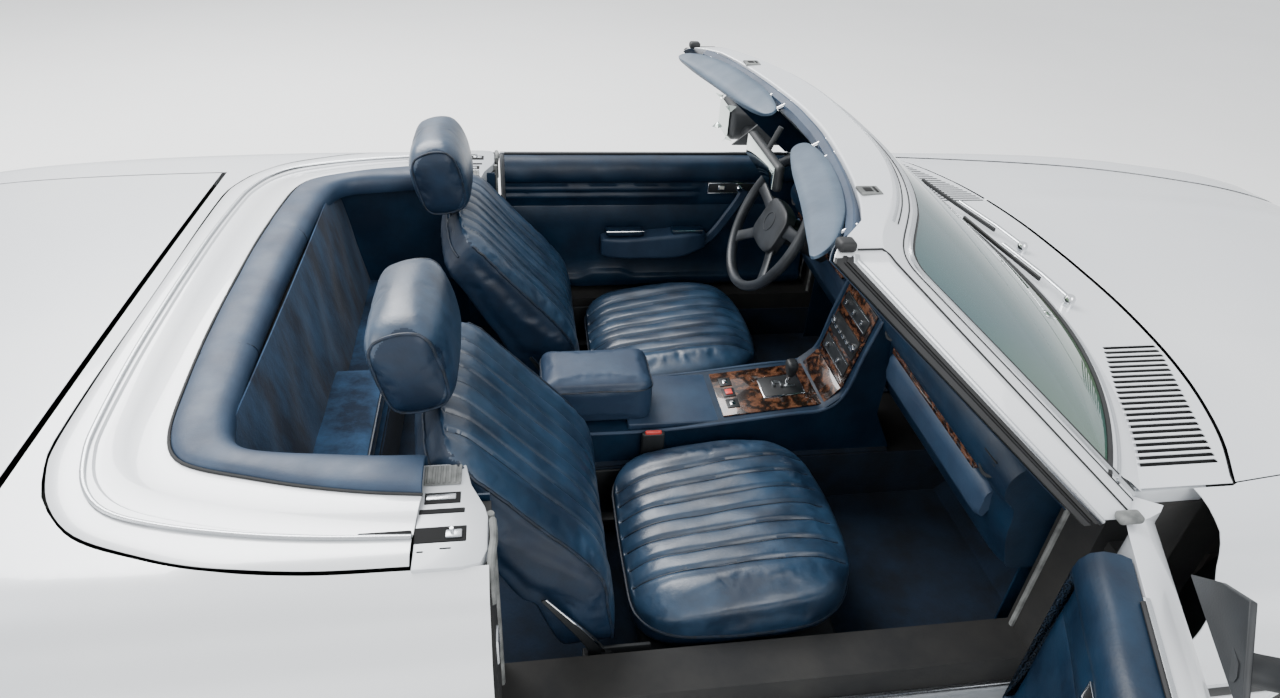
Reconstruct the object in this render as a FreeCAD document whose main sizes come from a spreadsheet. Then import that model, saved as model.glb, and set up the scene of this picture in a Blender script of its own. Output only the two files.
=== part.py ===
"""Open two-seat roadster of the 1970s type, left-hand drive, built as an assembly.

Frame: +X forward, +Y left, +Z up, in millimetres.  The origin lies on the ground,
on the centre plane, halfway between the axles.  The right door stands open.
"""
import FreeCAD, Part
import math
import os
import re
import Sketcher

Vector = FreeCAD.Vector
doc = FreeCAD.newDocument("roadster")

# Body sections: name, place along the car, half width, shoulder height, crown height
STATIONS = (
    ("tail", -2205, 838, 788, 796),
    ("boot", -1800, 872, 838, 848),
    ("haunch", -1228, 893, 862, 870),
    ("waist", -600, 895, 868, 878),
    ("cowl", 550, 895, 868, 892),
    ("arch", 1228, 893, 857, 884),
    ("brow", 1700, 880, 815, 838),
    ("snout", 1960, 858, 768, 786),
    ("nose", 2050, 835, 730, 744),
)

# Soft-top lid outline on its left half: name, place along the car, half width
LID_OUTLINE = (
    ("lid_front", -712, 796),
    ("lid_waist", -857, 792),
    ("lid_turn", -1090, 742),
    ("lid_bend", -1184, 697),
    ("lid_corner", -1243, 633),
    ("lid_rear", -1290, 489),
)

# Padded band round the cockpit, left half: name, place, outer and inner half width
BAND_OUTLINE = (
    ("band_front", -772, 664, 572),
    ("band_waist", -885, 629, 560),
    ("band_turn", -1043, 578, 543),
)

# Hood and cowl seam, left half: name, place along the car, half width
SEAM_OUTLINE = (
    ("seam_side", 652, 744),
    ("seam_bend", 701, 655),
    ("seam_mid", 752, 426),
)

# Wipers: name, place of the spindle along and across the car, turn of the parked arm
WIPERS = (
    ("wiper_left", 700, 430, -3),
    ("wiper_right", 680, -250, -18),
)

SIZES = (
    ("axle_x", 1228, "half the wheelbase"),
    ("front_wheel_y", 726, "front wheel centre plane"),
    ("rear_wheel_y", 720, "rear wheel centre plane"),
    ("tyre_radius", 317, ""),
    ("tyre_half_width", 95, ""),
    ("bead_radius", 190, "tyre seat on the rim"),
    ("rim_half_width", 84, ""),
    ("rim_lip_radius", 200, ""),
    ("rim_wall", 14, "barrel thickness"),
    ("hub_radius", 55, ""),
    ("axle_radius", 20, "stub axle"),
    ("running_clearance", 0.3, "pins, axles and seated faces"),
    ("rim_hole_radius", 14, ""),
    ("rim_hole_circle", 108, ""),
    ("rim_hole_count", 12, ""),
    ("arch_radius", 360, "wheel arch"),
    ("skin", 14, "thickness of hood, lids and wings"),
    ("shut_gap", 6, "gap round doors and lids"),
    ("hood_rear_gap", 10, "gap behind the hood"),
    ("crease_z", 680, "side crease"),
    ("flank_z", 420, "lower flank"),
    ("flank_in", 22, "lower flank inside the crease"),
    ("edge_z", 200, "lower body edge"),
    ("edge_in", 60, "lower edge inside the crease"),
    ("wing_low_z", 255, "lower edge of wings"),
    ("shoulder_in", 113, "shoulder line inside the crease"),
    ("cheek_in", 38, "end of the shoulder round"),
    ("cheek_drop", 75, "height of the shoulder round"),
    ("round_in", 64, "middle of the shoulder round"),
    ("round_drop", 22, "drop at that middle"),
    ("door_front_x", 552, "front edge of the door skin"),
    ("door_rear_x", -590, "rear edge of the door"),
    ("door_low_z", 338, "lower edge of the door"),
    ("door_in_y", 770, "inner face of the door shell"),
    ("hinge_x", 470, "door hinge axis"),
    ("hinge_y", 860, "door hinge axis"),
    ("door_nose_radius", 85, "rounded front edge about the hinge"),
    ("hinge_low_z", 450, "lower door hinge"),
    ("hinge_high_z", 740, "upper door hinge"),
    ("hinge_pocket", 44, "height of the pocket round a hinge"),
    ("hinge_leaf", 20, "height of a hinge bracket"),
    ("hinge_half", 15, "half length of a hinge bracket"),
    ("hinge_pin_radius", 6, ""),
    ("hinge_pin_reach", 40, "half length of the pin"),
    ("door_open_angle", 65, "right door as it stands"),
    ("sill_in_y", 660, "inner face of sills and posts"),
    ("sill_box_y", 800, "outer face of the sill box"),
    ("sill_low_z", 200, ""),
    ("sill_top_z", 325, ""),
    ("sill_rear_x", -840, ""),
    ("sill_front_x", 840, ""),
    ("step_out_y", 752, "raised sill the door shuts against"),
    ("step_top_z", 420, ""),
    ("post_out_y", 755, "outer face of the hinge post"),
    ("post_rear_x", 430, "rear face of the hinge post"),
    ("post_front_x", 600, "front face of the hinge post"),
    ("post_top_z", 838, ""),
    ("kick_wall", 20, "side wall of the footwell"),
    ("firewall_x", 765, "rear face of the firewall"),
    ("firewall_top_z", 838, ""),
    ("wall", 20, "floor and bulkhead thickness"),
    ("jamb_front_x", -600, "face the door shuts against"),
    ("jamb_rear_x", -712, ""),
    ("jamb_out_y", 820, ""),
    ("jamb_top_z", 846, ""),
    ("floor_z", 230, "underside of the floor"),
    ("deck_floor_z", 520, "underside of the floor behind the seats"),
    ("heel_x", -880, "rear end of the cabin floor"),
    ("tunnel_half", 125, ""),
    ("tunnel_top_z", 400, ""),
    ("tunnel_wall", 30, ""),
    ("bulkhead_x", -1060, "rear face of the cabin bulkhead"),
    ("well_rear_x", -1264, "front face of the wall behind the top well"),
    ("tub_side_y", 590, "inner face of the rear side walls"),
    ("tub_top_z", 838, ""),
    ("tub_rear_x", -2150, ""),
    ("boot_step_x", -1600, "step in the boot floor"),
    ("boot_floor_z", 420, "underside of the boot floor"),
    ("spare_half", 340, "spare wheel well"),
    ("spare_front_x", -1700, ""),
    ("spare_low_z", 250, ""),
    ("rear_rail_in_y", 440, ""),
    ("rear_rail_out_y", 520, ""),
    ("rear_rail_low_z", 360, ""),
    ("front_rail_in_y", 380, ""),
    ("front_rail_out_y", 450, ""),
    ("front_rail_low_z", 300, ""),
    ("front_rail_top_z", 420, ""),
    ("front_rail_x", 1985, ""),
    ("tower_half", 85, "spring tower along the car"),
    ("tower_in_y", 400, ""),
    ("tower_top_z", 640, ""),
    ("apron_top_z", 790, "inner wing panels"),
    ("apron_wall", 16, ""),
    ("crossmember_half", 90, ""),
    ("crossmember_low_z", 200, ""),
    ("kingpin_y", 685, "steering axis"),
    ("upright_half", 25, ""),
    ("upright_in_y", 668, ""),
    ("upright_out_y", 700, ""),
    ("ball_drop", 112, "ball joints above and below the wheel centre"),
    ("ball_radius", 10, ""),
    ("ball_reach", 20, ""),
    ("arm_thick", 20, ""),
    ("arm_end_half", 20, ""),
    ("lower_arm_half", 110, ""),
    ("lower_arm_in_y", 400, ""),
    ("upper_arm_half", 60, ""),
    ("spring_radius", 38, ""),
    ("spring_y", 520, ""),
    ("rear_spring_y", 557, ""),
    ("rear_spring_radius", 28, ""),
    ("rear_bar_front_x", -950, "rear suspension cross bar"),
    ("rear_bar_rear_x", -1020, ""),
    ("rear_bar_low_z", 285, ""),
    ("rear_bar_half", 600, ""),
    ("trail_in_y", 530, ""),
    ("trail_out_y", 600, ""),
    ("trail_low_z", 290, ""),
    ("trail_top_z", 344, ""),
    ("carrier_half", 40, ""),
    ("carrier_out_y", 694, ""),
    ("diff_half", 110, ""),
    ("diff_half_width", 100, ""),
    ("diff_low_z", 240, ""),
    ("diff_top_z", 390, ""),
    ("shaft_radius", 15, ""),
    ("stub_end", 62, "stub axle past the wheel centre plane"),
    ("propshaft_radius", 30, ""),
    ("propshaft_z", 300, ""),
    ("gearbox_rear_x", 320, ""),
    ("gearbox_half", 88, ""),
    ("gearbox_low_z", 245, ""),
    ("gearbox_top_z", 362, ""),
    ("engine_rear_x", 850, ""),
    ("engine_front_x", 1560, ""),
    ("engine_half", 230, ""),
    ("engine_low_z", 320, ""),
    ("engine_top_z", 740, ""),
    ("mount_half", 35, "engine mounts along the car"),
    ("mount_low_z", 340, ""),
    ("mount_top_z", 400, ""),
    ("pipe_radius", 26, "exhaust pipe"),
    ("pipe_y", 250, ""),
    ("pipe_z", 203, ""),
    ("pipe_front_x", 800, ""),
    ("pipe_turn_x", -1560, ""),
    ("muffler_front_x", -1640, ""),
    ("muffler_rear_x", -2080, ""),
    ("muffler_in_y", 350, ""),
    ("muffler_out_y", 560, ""),
    ("muffler_low_z", 196, ""),
    ("muffler_top_z", 340, ""),
    ("outlet_rear_x", -2262, ""),
    ("outlet_y", 430, ""),
    ("outlet_z", 280, ""),
    ("hood_front_half", 600, "hood half width at the nose"),
    ("hood_front_x", 2030, ""),
    ("hood_pin_x", 680, ""),
    ("hood_pin_drop", 5, "hinge axis under the surface"),
    ("pin_radius", 3, "lid hinge pins"),
    ("pin_reach", 40, "pin inside the lid"),
    ("lid_pin_x", -1272, ""),
    ("lid_pin_y", 545, ""),
    ("boot_front_x", -1340, "front edge of the boot lid"),
    ("boot_front_gap", 13, ""),
    ("boot_lid_half", 640, ""),
    ("boot_low_z", 716, ""),
    ("boot_pin_x", -1350, ""),
    ("nose_panel_x", 2034, "rear face of the nose panel"),
    ("nose_panel_half", 790, ""),
    ("grille_half", 430, ""),
    ("grille_low_z", 545, ""),
    ("grille_top_z", 690, ""),
    ("grille_rear_x", 2012, ""),
    ("grille_front_x", 2056, ""),
    ("grille_frame", 14, ""),
    ("slat", 7, ""),
    ("slat_count", 5, ""),
    ("lamp_in_y", 462, "headlamps"),
    ("lamp_low_z", 548, ""),
    ("lamp_top_z", 690, ""),
    ("lamp_rear_x", 1900, ""),
    ("tail_lamp_in_y", 425, ""),
    ("tail_lamp_low_z", 565, ""),
    ("tail_lamp_top_z", 700, ""),
    ("tail_lamp_front_x", -2110, ""),
    ("tail_panel_x", -2189, "front face of the tail panel"),
    ("tail_panel_half", 800, ""),
    ("bumper_low_z", 395, ""),
    ("bumper_top_z", 515, ""),
    ("bumper_front_x", 2105, ""),
    ("bumper_rear_x", -2290, ""),
    ("bumper_bow", 28, "sweep of the bumper in plan"),
    ("bumper_corner_y", 800, ""),
    ("bumper_half", 895, ""),
    ("bumper_wall", 34, ""),
    ("bumper_side", 330, "length of the bumper's sides"),
    ("bumper_side_wall", 12, ""),
    ("bracket_top_z", 432, ""),
    ("screen_base_z", 872, ""),
    ("screen_top_z", 1250, ""),
    ("pillar_foot_z", 875, "pillars end above the doors here"),
    ("screen_base_x", 668, "front of the screen base"),
    ("screen_top_x", 152, "front of the header"),
    ("screen_base_half", 812, ""),
    ("screen_top_half", 580, ""),
    ("screen_base_end_x", 424, ""),
    ("screen_top_end_x", 34, ""),
    ("screen_depth", 96, "frame depth along the car"),
    ("opening_low_z", 906, ""),
    ("opening_top_z", 1214, ""),
    ("opening_edge", 66, "pillar width at the base"),
    ("opening_edge_top", 42, "pillar width at the header"),
    ("glass_thick", 12, "glass measured along the car"),
    ("glass_inset", 26, "glass behind the frame's front face"),
    ("vent_in_y", 380, "cowl vents"),
    ("vent_pitch", 22, ""),
    ("vent_width", 9, ""),
    ("vent_count", 15, ""),
    ("vent_length", 92, ""),
    ("vent_front_x", 728, ""),
    ("vent_sweep", 0.36, "how far each next vent steps back"),
    ("dash_half", 659, ""),
    ("dash_front_x", 600, ""),
    ("dash_rear_x", 292, ""),
    ("dash_top_z", 856, ""),
    ("dash_brow_z", 800, ""),
    ("dash_knee_z", 600, ""),
    ("dash_low_z", 560, ""),
    ("dash_knee_x", 372, ""),
    ("console_half", 112, ""),
    ("console_rear_x", -500, ""),
    ("console_top_z", 500, ""),
    ("console_foot_x", 200, ""),
    ("console_foot_z", 540, ""),
    ("stack_low_x", 238, ""),
    ("stack_low_z", 578, ""),
    ("stack_top_x", 293, ""),
    ("stack_top_z", 803, ""),
    ("stack_front_x", 345, ""),
    ("stack_front_z", 520, ""),
    ("armrest_front_x", -230, ""),
    ("armrest_top_z", 630, ""),
    ("armrest_half", 80, ""),
    ("armrest_round", 22, ""),
    ("wheel_x", 148, "steering wheel centre"),
    ("wheel_y", 356, ""),
    ("wheel_z", 832, ""),
    ("wheel_radius", 188, "to the middle of the rim"),
    ("wheel_grip", 14, ""),
    ("wheel_pad_radius", 72, ""),
    ("wheel_pad_depth", 46, ""),
    ("wheel_dish", 16, "rim above the spokes"),
    ("spoke_width", 46, ""),
    ("spoke_thick", 16, ""),
    ("column_tilt", 26, "column below level, degrees"),
    ("column_radius", 38, ""),
    ("column_length", 190, ""),
    ("steer_shaft_radius", 9, ""),
    ("steer_shaft_length", 30, ""),
    ("seat_y", 385, ""),
    ("cushion_half", 258, ""),
    ("cushion_rear_x", -318, ""),
    ("cushion_front_x", 148, ""),
    ("cushion_low_z", 300, ""),
    ("cushion_rear_z", 470, ""),
    ("cushion_front_z", 512, ""),
    ("runner_y", 190, "runners from the seat's middle"),
    ("runner_half", 14, ""),
    ("rail_front_x", 235, ""),
    ("rail_rear_x", -500, ""),
    ("rail_top_z", 276, ""),
    ("runner_rear_x", -440, ""),
    ("runner_front_x", 80, ""),
    ("bracket_out", 252, "backrest bracket from the seat's middle"),
    ("bracket_wall", 8, ""),
    ("bracket_front_x", -350, ""),
    ("bracket_rear_x", -440, ""),
    ("pivot_x", -400, "backrest pivot"),
    ("pivot_z", 380, ""),
    ("pivot_radius", 8, ""),
    ("pivot_boss", 58, "round foot of the backrest"),
    ("back_half", 238, ""),
    ("rest_half", 135, "head restraint half width"),
    ("rest_front_x", -660, ""),
    ("rest_rear_x", -806, ""),
    ("rest_low_z", 924, ""),
    ("rest_top_z", 1094, ""),
    ("rest_round", 40, ""),
    ("stem_radius", 7, ""),
    ("stem_y", 60, ""),
    ("stem_x", -715, ""),
    ("trim_in_y", 716, "inner face of the door trim"),
    ("trim_front_x", 400, ""),
    ("trim_rear_x", -575, ""),
    ("trim_low_z", 436, ""),
    ("trim_top_z", 866, ""),
    ("roll_low_z", 800, "padded top of the door trim"),
    ("roll_in_y", 700, ""),
    ("rest_arm_rear_x", -280, "door armrest"),
    ("rest_arm_front_x", 60, ""),
    ("rest_arm_low_z", 560, ""),
    ("rest_arm_top_z", 628, ""),
    ("rest_arm_in_y", 656, ""),
    ("mirror_front_x", 262, "door mirror"),
    ("mirror_rear_x", 140, ""),
    ("mirror_in_y", 895, ""),
    ("mirror_out_y", 1060, ""),
    ("mirror_low_z", 850, ""),
    ("mirror_top_z", 982, ""),
    ("mirror_foot_low_z", 820, ""),
    ("mirror_foot_rear_x", 190, ""),
    ("mirror_foot_front_x", 250, ""),
    ("visor_y", 300, ""),
    ("visor_half", 205, ""),
    ("visor_drop", 96, ""),
    ("visor_back", 98, ""),
    ("visor_thick", 20, ""),
    ("visor_x", 12, ""),
    ("visor_z", 1244, ""),
    ("inside_mirror_x", -12, ""),
    ("inside_mirror_half", 110, ""),
    ("inside_mirror_low_z", 1120, ""),
    ("inside_mirror_top_z", 1180, ""),
    ("inside_mirror_depth", 22, ""),
    ("band_rear_out_x", -1134, ""),
    ("band_rear_in_x", -1046, ""),
    ("band_corner_out_x", -1102, ""),
    ("band_corner_out_y", 526, ""),
    ("band_corner_in_x", -1028, ""),
    ("band_corner_in_y", 470, ""),
    ("band_low_z", 846, ""),
    ("band_top_z", 892, ""),
    ("carpet", 8, ""),
    ("lever_x", 130, "gear lever"),
    ("lever_radius", 6, ""),
    ("knob_radius", 20, ""),
    ("lever_top_z", 585, ""),
    ("pedal_x", 610, ""),
    ("pedal_low_z", 330, ""),
    ("pedal_top_z", 400, ""),
    ("pedal_arm", 14, ""),
    ("brake_y", 330, ""),
    ("brake_half", 50, ""),
    ("throttle_y", 205, ""),
    ("throttle_half", 28, ""),
    ("wiper_z", 912, ""),
    ("wiper_length", 470, ""),
    ("wiper_arm", 9, ""),
    ("wiper_boss", 12, ""),
    ("jack_y", 730, "jacking pads under the sill"),
    ("jack_x", 620, ""),
    ("jack_radius", 16, ""),
    ("tie_front_x", 1925, "tie-down lugs under the rails"),
    ("tie_front_y", 415, ""),
    ("tie_rear_x", -2116, ""),
    ("tie_rear_y", 480, ""),
    ("tie_radius", 12, ""),
    ("lug_half", 30, ""),
    ("lug_height", 35, ""),
    ("socket_depth", 28, ""),
)

sheet = doc.addObject("Spreadsheet::Sheet", "Sizes")
ALIASES = set()


def store(row, alias, number):
    """Put one named number into the sheet."""
    sheet.set("A%d" % row, alias)
    sheet.set("B%d" % row, str(number))
    sheet.setAlias("B%d" % row, alias)
    ALIASES.add(alias)


entries = [(alias, number) for alias, number, note in SIZES]
for name, place, half, shoulder, crown in STATIONS:
    entries += [(name + "_x", place), (name + "_half", half),
                (name + "_shoulder", shoulder), (name + "_crown", crown)]
for name, place, half in LID_OUTLINE + SEAM_OUTLINE:
    entries += [(name + "_x", place), (name + "_y", half)]
for name, place, outer, inner in BAND_OUTLINE:
    entries += [(name + "_x", place), (name + "_out", outer), (name + "_in", inner)]
for name, place, across, turn in WIPERS:
    entries += [(name + "_x", place), (name + "_y", across), (name + "_turn", turn)]
for number, (alias, value) in enumerate(entries, start=1):
    store(number, alias, value)
doc.recompute()


def size(alias):
    """Read a named size from the sheet."""
    return float(sheet.get(alias))


def bound(text):
    """Turn words of an expression into references to the sheet."""
    def refer(match):
        word = match.group(0)
        return "Sizes." + word if word in ALIASES else word
    return re.sub(r"[a-z_]\w*", refer, str(text))


def negative(text):
    """Mirror an expression of sums about zero."""
    return "-1 * (%s)" % text


def bind(thing, prop, text):
    """Bind a property to an expression of the sheet's names."""
    thing.setExpression(prop, bound(text))


def block(name, low, high):
    """A box between two corners, each given as three expressions."""
    box = doc.addObject("Part::Box", name)
    for axis, prop, start, end in zip("xyz", ("Length", "Width", "Height"), low, high):
        bind(box, "Placement.Base." + axis, start)
        bind(box, prop, "(%s) - (%s)" % (end, start))
    return box


def pair(name, low, high):
    """The same box on the left and on the right."""
    left = block(name + "_left", low, high)
    right = block(name + "_right", (low[0], negative(high[1]), low[2]),
                  (high[0], negative(low[1]), high[2]))
    return [left, right]


ALONG_X = FreeCAD.Rotation(Vector(0, 1, 0), 90)
ALONG_Y = FreeCAD.Rotation(Vector(1, 0, 0), -90)
ALONG_Z = FreeCAD.Rotation()


def rod(name, start, length, radius, turn=ALONG_Z):
    """A cylinder from a point given as three expressions."""
    pin = doc.addObject("Part::Cylinder", name)
    pin.Placement.Rotation = turn
    for axis, text in zip("xyz", start):
        bind(pin, "Placement.Base." + axis, text)
    bind(pin, "Height", length)
    bind(pin, "Radius", radius)
    return pin


def fuse(name, pieces):
    """Join pieces into one object."""
    joined = doc.addObject("Part::MultiFuse", name)
    joined.Shapes = pieces
    return joined


def cut(name, base, tools):
    """Take tools away from a base."""
    tool = tools[0] if len(tools) == 1 else fuse(name + "_tools", tools)
    result = doc.addObject("Part::Cut", name)
    result.Base = base
    result.Tool = tool
    return result


def together(name, pieces):
    """Keep solids that don't touch in one object."""
    group = doc.addObject("Part::Compound", name)
    group.Links = pieces
    return group


def formed(name, shape):
    """Keep a shape made by lofting as an object."""
    thing = doc.addObject("Part::Feature", name)
    thing.Shape = shape
    return thing


def origin_plane(body, role):
    """Find one of a body's own planes."""
    return [plane for plane in body.Origin.OriginFeatures if plane.Role == role][0]


def sketch_on(body, role, name):
    """Start a sketch on one of a body's own planes."""
    sketch = body.newObject("Sketcher::SketchObject", name)
    sketch.AttachmentSupport = (origin_plane(body, role), [""])
    sketch.MapMode = "FlatFace"
    return sketch


def outline(sketch, points):
    """Closed outline of straight lines through points given as expressions."""
    count = len(points)
    for index in range(count):
        start = Vector(index, index * index, 0)
        following = (index + 1) % count
        end = Vector(following, following * following, 0)
        sketch.addGeometry(Part.LineSegment(start, end), False)
    for index in range(count):
        sketch.addConstraint(Sketcher.Constraint("Coincident", index, 2, (index + 1) % count, 1))
    for index, point in enumerate(points):
        for kind, text in zip(("DistanceX", "DistanceY"), point):
            entry = sketch.addConstraint(Sketcher.Constraint(kind, -1, 1, index, 1, 1.0))
            sketch.setExpression("Constraints[%d]" % entry, bound(text))


def padded_body(name, role, points, thickness):
    """A body made by padding an outline evenly to both sides of its plane."""
    body = doc.addObject("PartDesign::Body", name)
    sketch = sketch_on(body, role, name + "_outline")
    outline(sketch, points)
    pad = body.newObject("PartDesign::Pad", name + "_pad")
    pad.Profile = sketch
    pad.SideType = "Symmetric"
    bind(pad, "Length", thickness)
    return body


def turned_body(name, points):
    """A body turned about the Y axis from an outline of width and radius."""
    body = doc.addObject("PartDesign::Body", name)
    sketch = sketch_on(body, "YZ_Plane", name + "_outline")
    outline(sketch, points)
    turn = body.newObject("PartDesign::Revolution", name + "_turn")
    turn.Profile = sketch
    turn.ReferenceAxis = (sketch, ["H_Axis"])
    turn.Angle = 360
    return body


def placed(thing, place):
    """Bind an object's place to three expressions."""
    for axis, text in zip("xyz", place):
        bind(thing, "Placement.Base." + axis, text)
    return thing


NODES = {}


def node(name, thing):
    """Name a finished piece and keep it for export."""
    thing.Label = name
    NODES[name] = thing
    return thing


# Body form: one loft through the stations, and the same form a skin's thickness inside
def section(name, inset, push):
    """Closed body section at a station, moved inwards by inset and along by push."""
    place = size(name + "_x") + push
    half = size(name + "_half") - inset
    shoulder = size(name + "_shoulder") - inset
    crown = size(name + "_crown") - inset
    low = size("edge_z") - 4 * inset
    side = [
        (half - size("edge_in"), low),
        (half - size("flank_in"), size("flank_z")),
        (half, size("crease_z")),
        (half - size("cheek_in"), shoulder - size("cheek_drop")),
        (half - size("round_in"), shoulder - size("round_drop")),
        (half - size("shoulder_in"), shoulder),
    ]
    left = [Vector(place, across, height) for across, height in side]
    right = [Vector(place, -across, height) for across, height in side]
    top = Vector(place, 0, crown)
    edges = [Part.makeLine(left[0], left[1]), Part.makeLine(left[1], left[2]),
             Part.makeLine(left[2], left[3]), Part.Arc(left[3], left[4], left[5]).toShape(),
             Part.Arc(left[5], top, right[5]).toShape(),
             Part.Arc(right[5], right[4], right[3]).toShape(), Part.makeLine(right[3], right[2]),
             Part.makeLine(right[2], right[1]), Part.makeLine(right[1], right[0]),
             Part.makeLine(right[0], left[0])]
    return Part.Wire(edges)


def body_form(inset):
    """Whole body form, smaller all round by inset."""
    pushes = {STATIONS[0][0]: inset, STATIONS[-1][0]: -inset}
    wires = [section(row[0], inset, pushes.get(row[0], 0)) for row in STATIONS]
    return Part.makeLoft(wires, True, True)


def prism(points, low, high):
    """Upright prism through a closed list of plan points."""
    corners = [Vector(across_x, across_y, low) for across_x, across_y in points]
    face = Part.Face(Part.makePolygon(corners + corners[:1]))
    return face.extrude(Vector(0, 0, high - low))


LOW_CUT = 600.0
HIGH_CUT = 1000.0


def both_sides(half_outline):
    """Close an outline given on the left half, from front to rear."""
    return half_outline + [(place, -half) for place, half in reversed(half_outline)]


def grown(points, gap):
    """Move a closed plan outline outwards by a gap."""
    face = Part.Face(Part.makePolygon([Vector(a, b, 0) for a, b in points + points[:1]]))
    return face.makeOffset2D(gap, 2)


def grown_prism(points, gap, low, high):
    """Upright prism through an outline that is moved outwards."""
    face = grown(points, gap)
    face.translate(Vector(0, 0, low))
    return face.extrude(Vector(0, 0, high - low))


outer_form = body_form(0)
shell = outer_form.cut(body_form(size("skin")))

gap = size("shut_gap")
lid_half = [(size(row[0] + "_x"), size(row[0] + "_y")) for row in LID_OUTLINE]
lid_plan = both_sides(lid_half)
seam_half = [(size(row[0] + "_x"), size(row[0] + "_y")) for row in SEAM_OUTLINE]
hood_half = [(size("hood_front_x"), size("hood_front_half"))] + seam_half
hood_plan = both_sides(hood_half)
boot_plan = [(size("boot_front_x"), size("boot_lid_half")), (size("tail_x") - 60, size("boot_lid_half")),
             (size("tail_x") - 60, -size("boot_lid_half")), (size("boot_front_x"), -size("boot_lid_half"))]


def slab(low, high):
    """A box between two corners given as numbers."""
    span = [end - start for start, end in zip(low, high)]
    return Part.makeBox(span[0], span[1], span[2], Vector(low[0], low[1], low[2]))


REACH = 1200.0
cockpit_front = size("screen_base_end_x") + 6

# Openings for the wheels, cut through the whole width
arches = [Part.makeCylinder(size("arch_radius"), 2 * REACH, Vector(sign * size("axle_x"), -REACH,
          size("tyre_radius")), Vector(0, 1, 0)) for sign in (1, -1)]
arch_tool = arches[0].fuse(arches[1])

head_lamp = slab((size("lamp_rear_x"), size("lamp_in_y"), size("lamp_low_z")),
                 (REACH * 2, REACH, size("lamp_top_z")))
tail_lamp = slab((-REACH * 2, size("tail_lamp_in_y"), size("tail_lamp_low_z")),
                 (size("tail_lamp_front_x"), REACH, size("tail_lamp_top_z")))


SEAT_GAP = size("running_clearance")


def lamp_room(in_name, low_name, top_name, rear, front):
    """Room cut for a lamp, with the running clearance round it."""
    return slab((rear - SEAT_GAP, size(in_name) - SEAT_GAP, size(low_name) - SEAT_GAP),
                (front + SEAT_GAP, REACH, size(top_name) + SEAT_GAP))


head_room = lamp_room("lamp_in_y", "lamp_low_z", "lamp_top_z", size("lamp_rear_x"), 2 * REACH)
tail_room = lamp_room("tail_lamp_in_y", "tail_lamp_low_z", "tail_lamp_top_z",
                      -2 * REACH, size("tail_lamp_front_x"))


def flipped(shape):
    """Mirror a shape about the centre plane."""
    return shape.mirror(Vector(0, 0, 0), Vector(0, 1, 0))


def hinge_pin(place, across, height, radius, length):
    """A pin that points inwards from the left side."""
    return Part.makeCylinder(radius, length, Vector(place, across, height), Vector(0, -1, 0))


def surface_height(place, across):
    """Height of the outer form above a plan point."""
    needle = Part.makeLine(Vector(place, across, LOW_CUT), Vector(place, across, HIGH_CUT))
    inside = needle.common(outer_form)
    return inside.BoundBox.ZMax


# Hood, hinged in its rear corners on pins that the wings carry
pin_depth = size("pin_reach")
hood_pin_y = size("seam_side_y") + gap + 10
hood_pin_z = surface_height(size("hood_pin_x"), size("seam_side_y") - pin_depth) \
    - size("hood_pin_drop")
hood_pin_tool = hinge_pin(size("hood_pin_x"), hood_pin_y, hood_pin_z, size("pin_radius"),
                          gap + 10 + pin_depth)
hood_bore = hinge_pin(size("hood_pin_x"), hood_pin_y, hood_pin_z,
                      size("pin_radius") + SEAT_GAP, gap + 11 + pin_depth)
hood_shape = shell.common(prism(hood_plan, LOW_CUT, HIGH_CUT))
hood_shape = hood_shape.cut(hood_bore).cut(flipped(hood_bore))
node("hood", formed("Hood", hood_shape))

# Boot lid with its edge turned down over the tail
boot_tool = prism(boot_plan, size("boot_low_z"), HIGH_CUT)
boot_pin_y = size("boot_lid_half") + gap + 10
boot_pin_z = surface_height(size("boot_pin_x"), size("boot_lid_half") - pin_depth) \
    - size("hood_pin_drop")
boot_pin_tool = hinge_pin(size("boot_pin_x"), boot_pin_y, boot_pin_z, size("pin_radius"),
                          gap + 10 + pin_depth)
boot_bore = hinge_pin(size("boot_pin_x"), boot_pin_y, boot_pin_z,
                      size("pin_radius") + SEAT_GAP, gap + 11 + pin_depth)
boot_shape = shell.common(boot_tool).cut(boot_bore).cut(flipped(boot_bore))
node("trunk_lid", formed("Trunk_lid", boot_shape))

# Soft-top lid: a U round the cockpit, open inside the padded band
band_out = [(size(row[0] + "_x"), size(row[0] + "_out")) for row in BAND_OUTLINE]
band_out += [(size("band_corner_out_x"), size("band_corner_out_y")),
             (size("band_rear_out_x"), size("band_corner_out_y") - 120)]
band_in = [(size(row[0] + "_x"), size(row[0] + "_in")) for row in BAND_OUTLINE]
band_in += [(size("band_corner_in_x"), size("band_corner_in_y")),
            (size("band_rear_in_x"), size("band_corner_in_y") - 90)]
band_front = [(size("lid_front_x") + 40, size("band_front_out"))]
opening_in = [(size("lid_front_x") + 40, size("band_front_in"))]
lid_pin_z = surface_height(size("lid_pin_x"), size("lid_pin_y")) - size("hood_pin_drop")
lid_pin_y = size("lid_pin_y") + 40
lid_pin_tool = hinge_pin(size("lid_pin_x"), lid_pin_y, lid_pin_z, size("pin_radius"),
                         pin_depth + 40)
lid_bore = hinge_pin(size("lid_pin_x"), lid_pin_y, lid_pin_z, size("pin_radius") + SEAT_GAP,
                     pin_depth + 41)
lid_shape = shell.common(prism(lid_plan, LOW_CUT, HIGH_CUT))
lid_shape = lid_shape.cut(prism(both_sides(band_front + band_out), LOW_CUT, HIGH_CUT))
lid_shape = lid_shape.cut(lid_bore).cut(flipped(lid_bore))
node("soft_top_lid", formed("Soft_top_lid", lid_shape))

band_shape = prism(both_sides(band_out), size("band_low_z"), size("band_top_z"))
band_shape = band_shape.cut(prism(both_sides(opening_in + band_in), LOW_CUT, HIGH_CUT))
node("deck_trim", formed("Deck_trim", band_shape))

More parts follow.
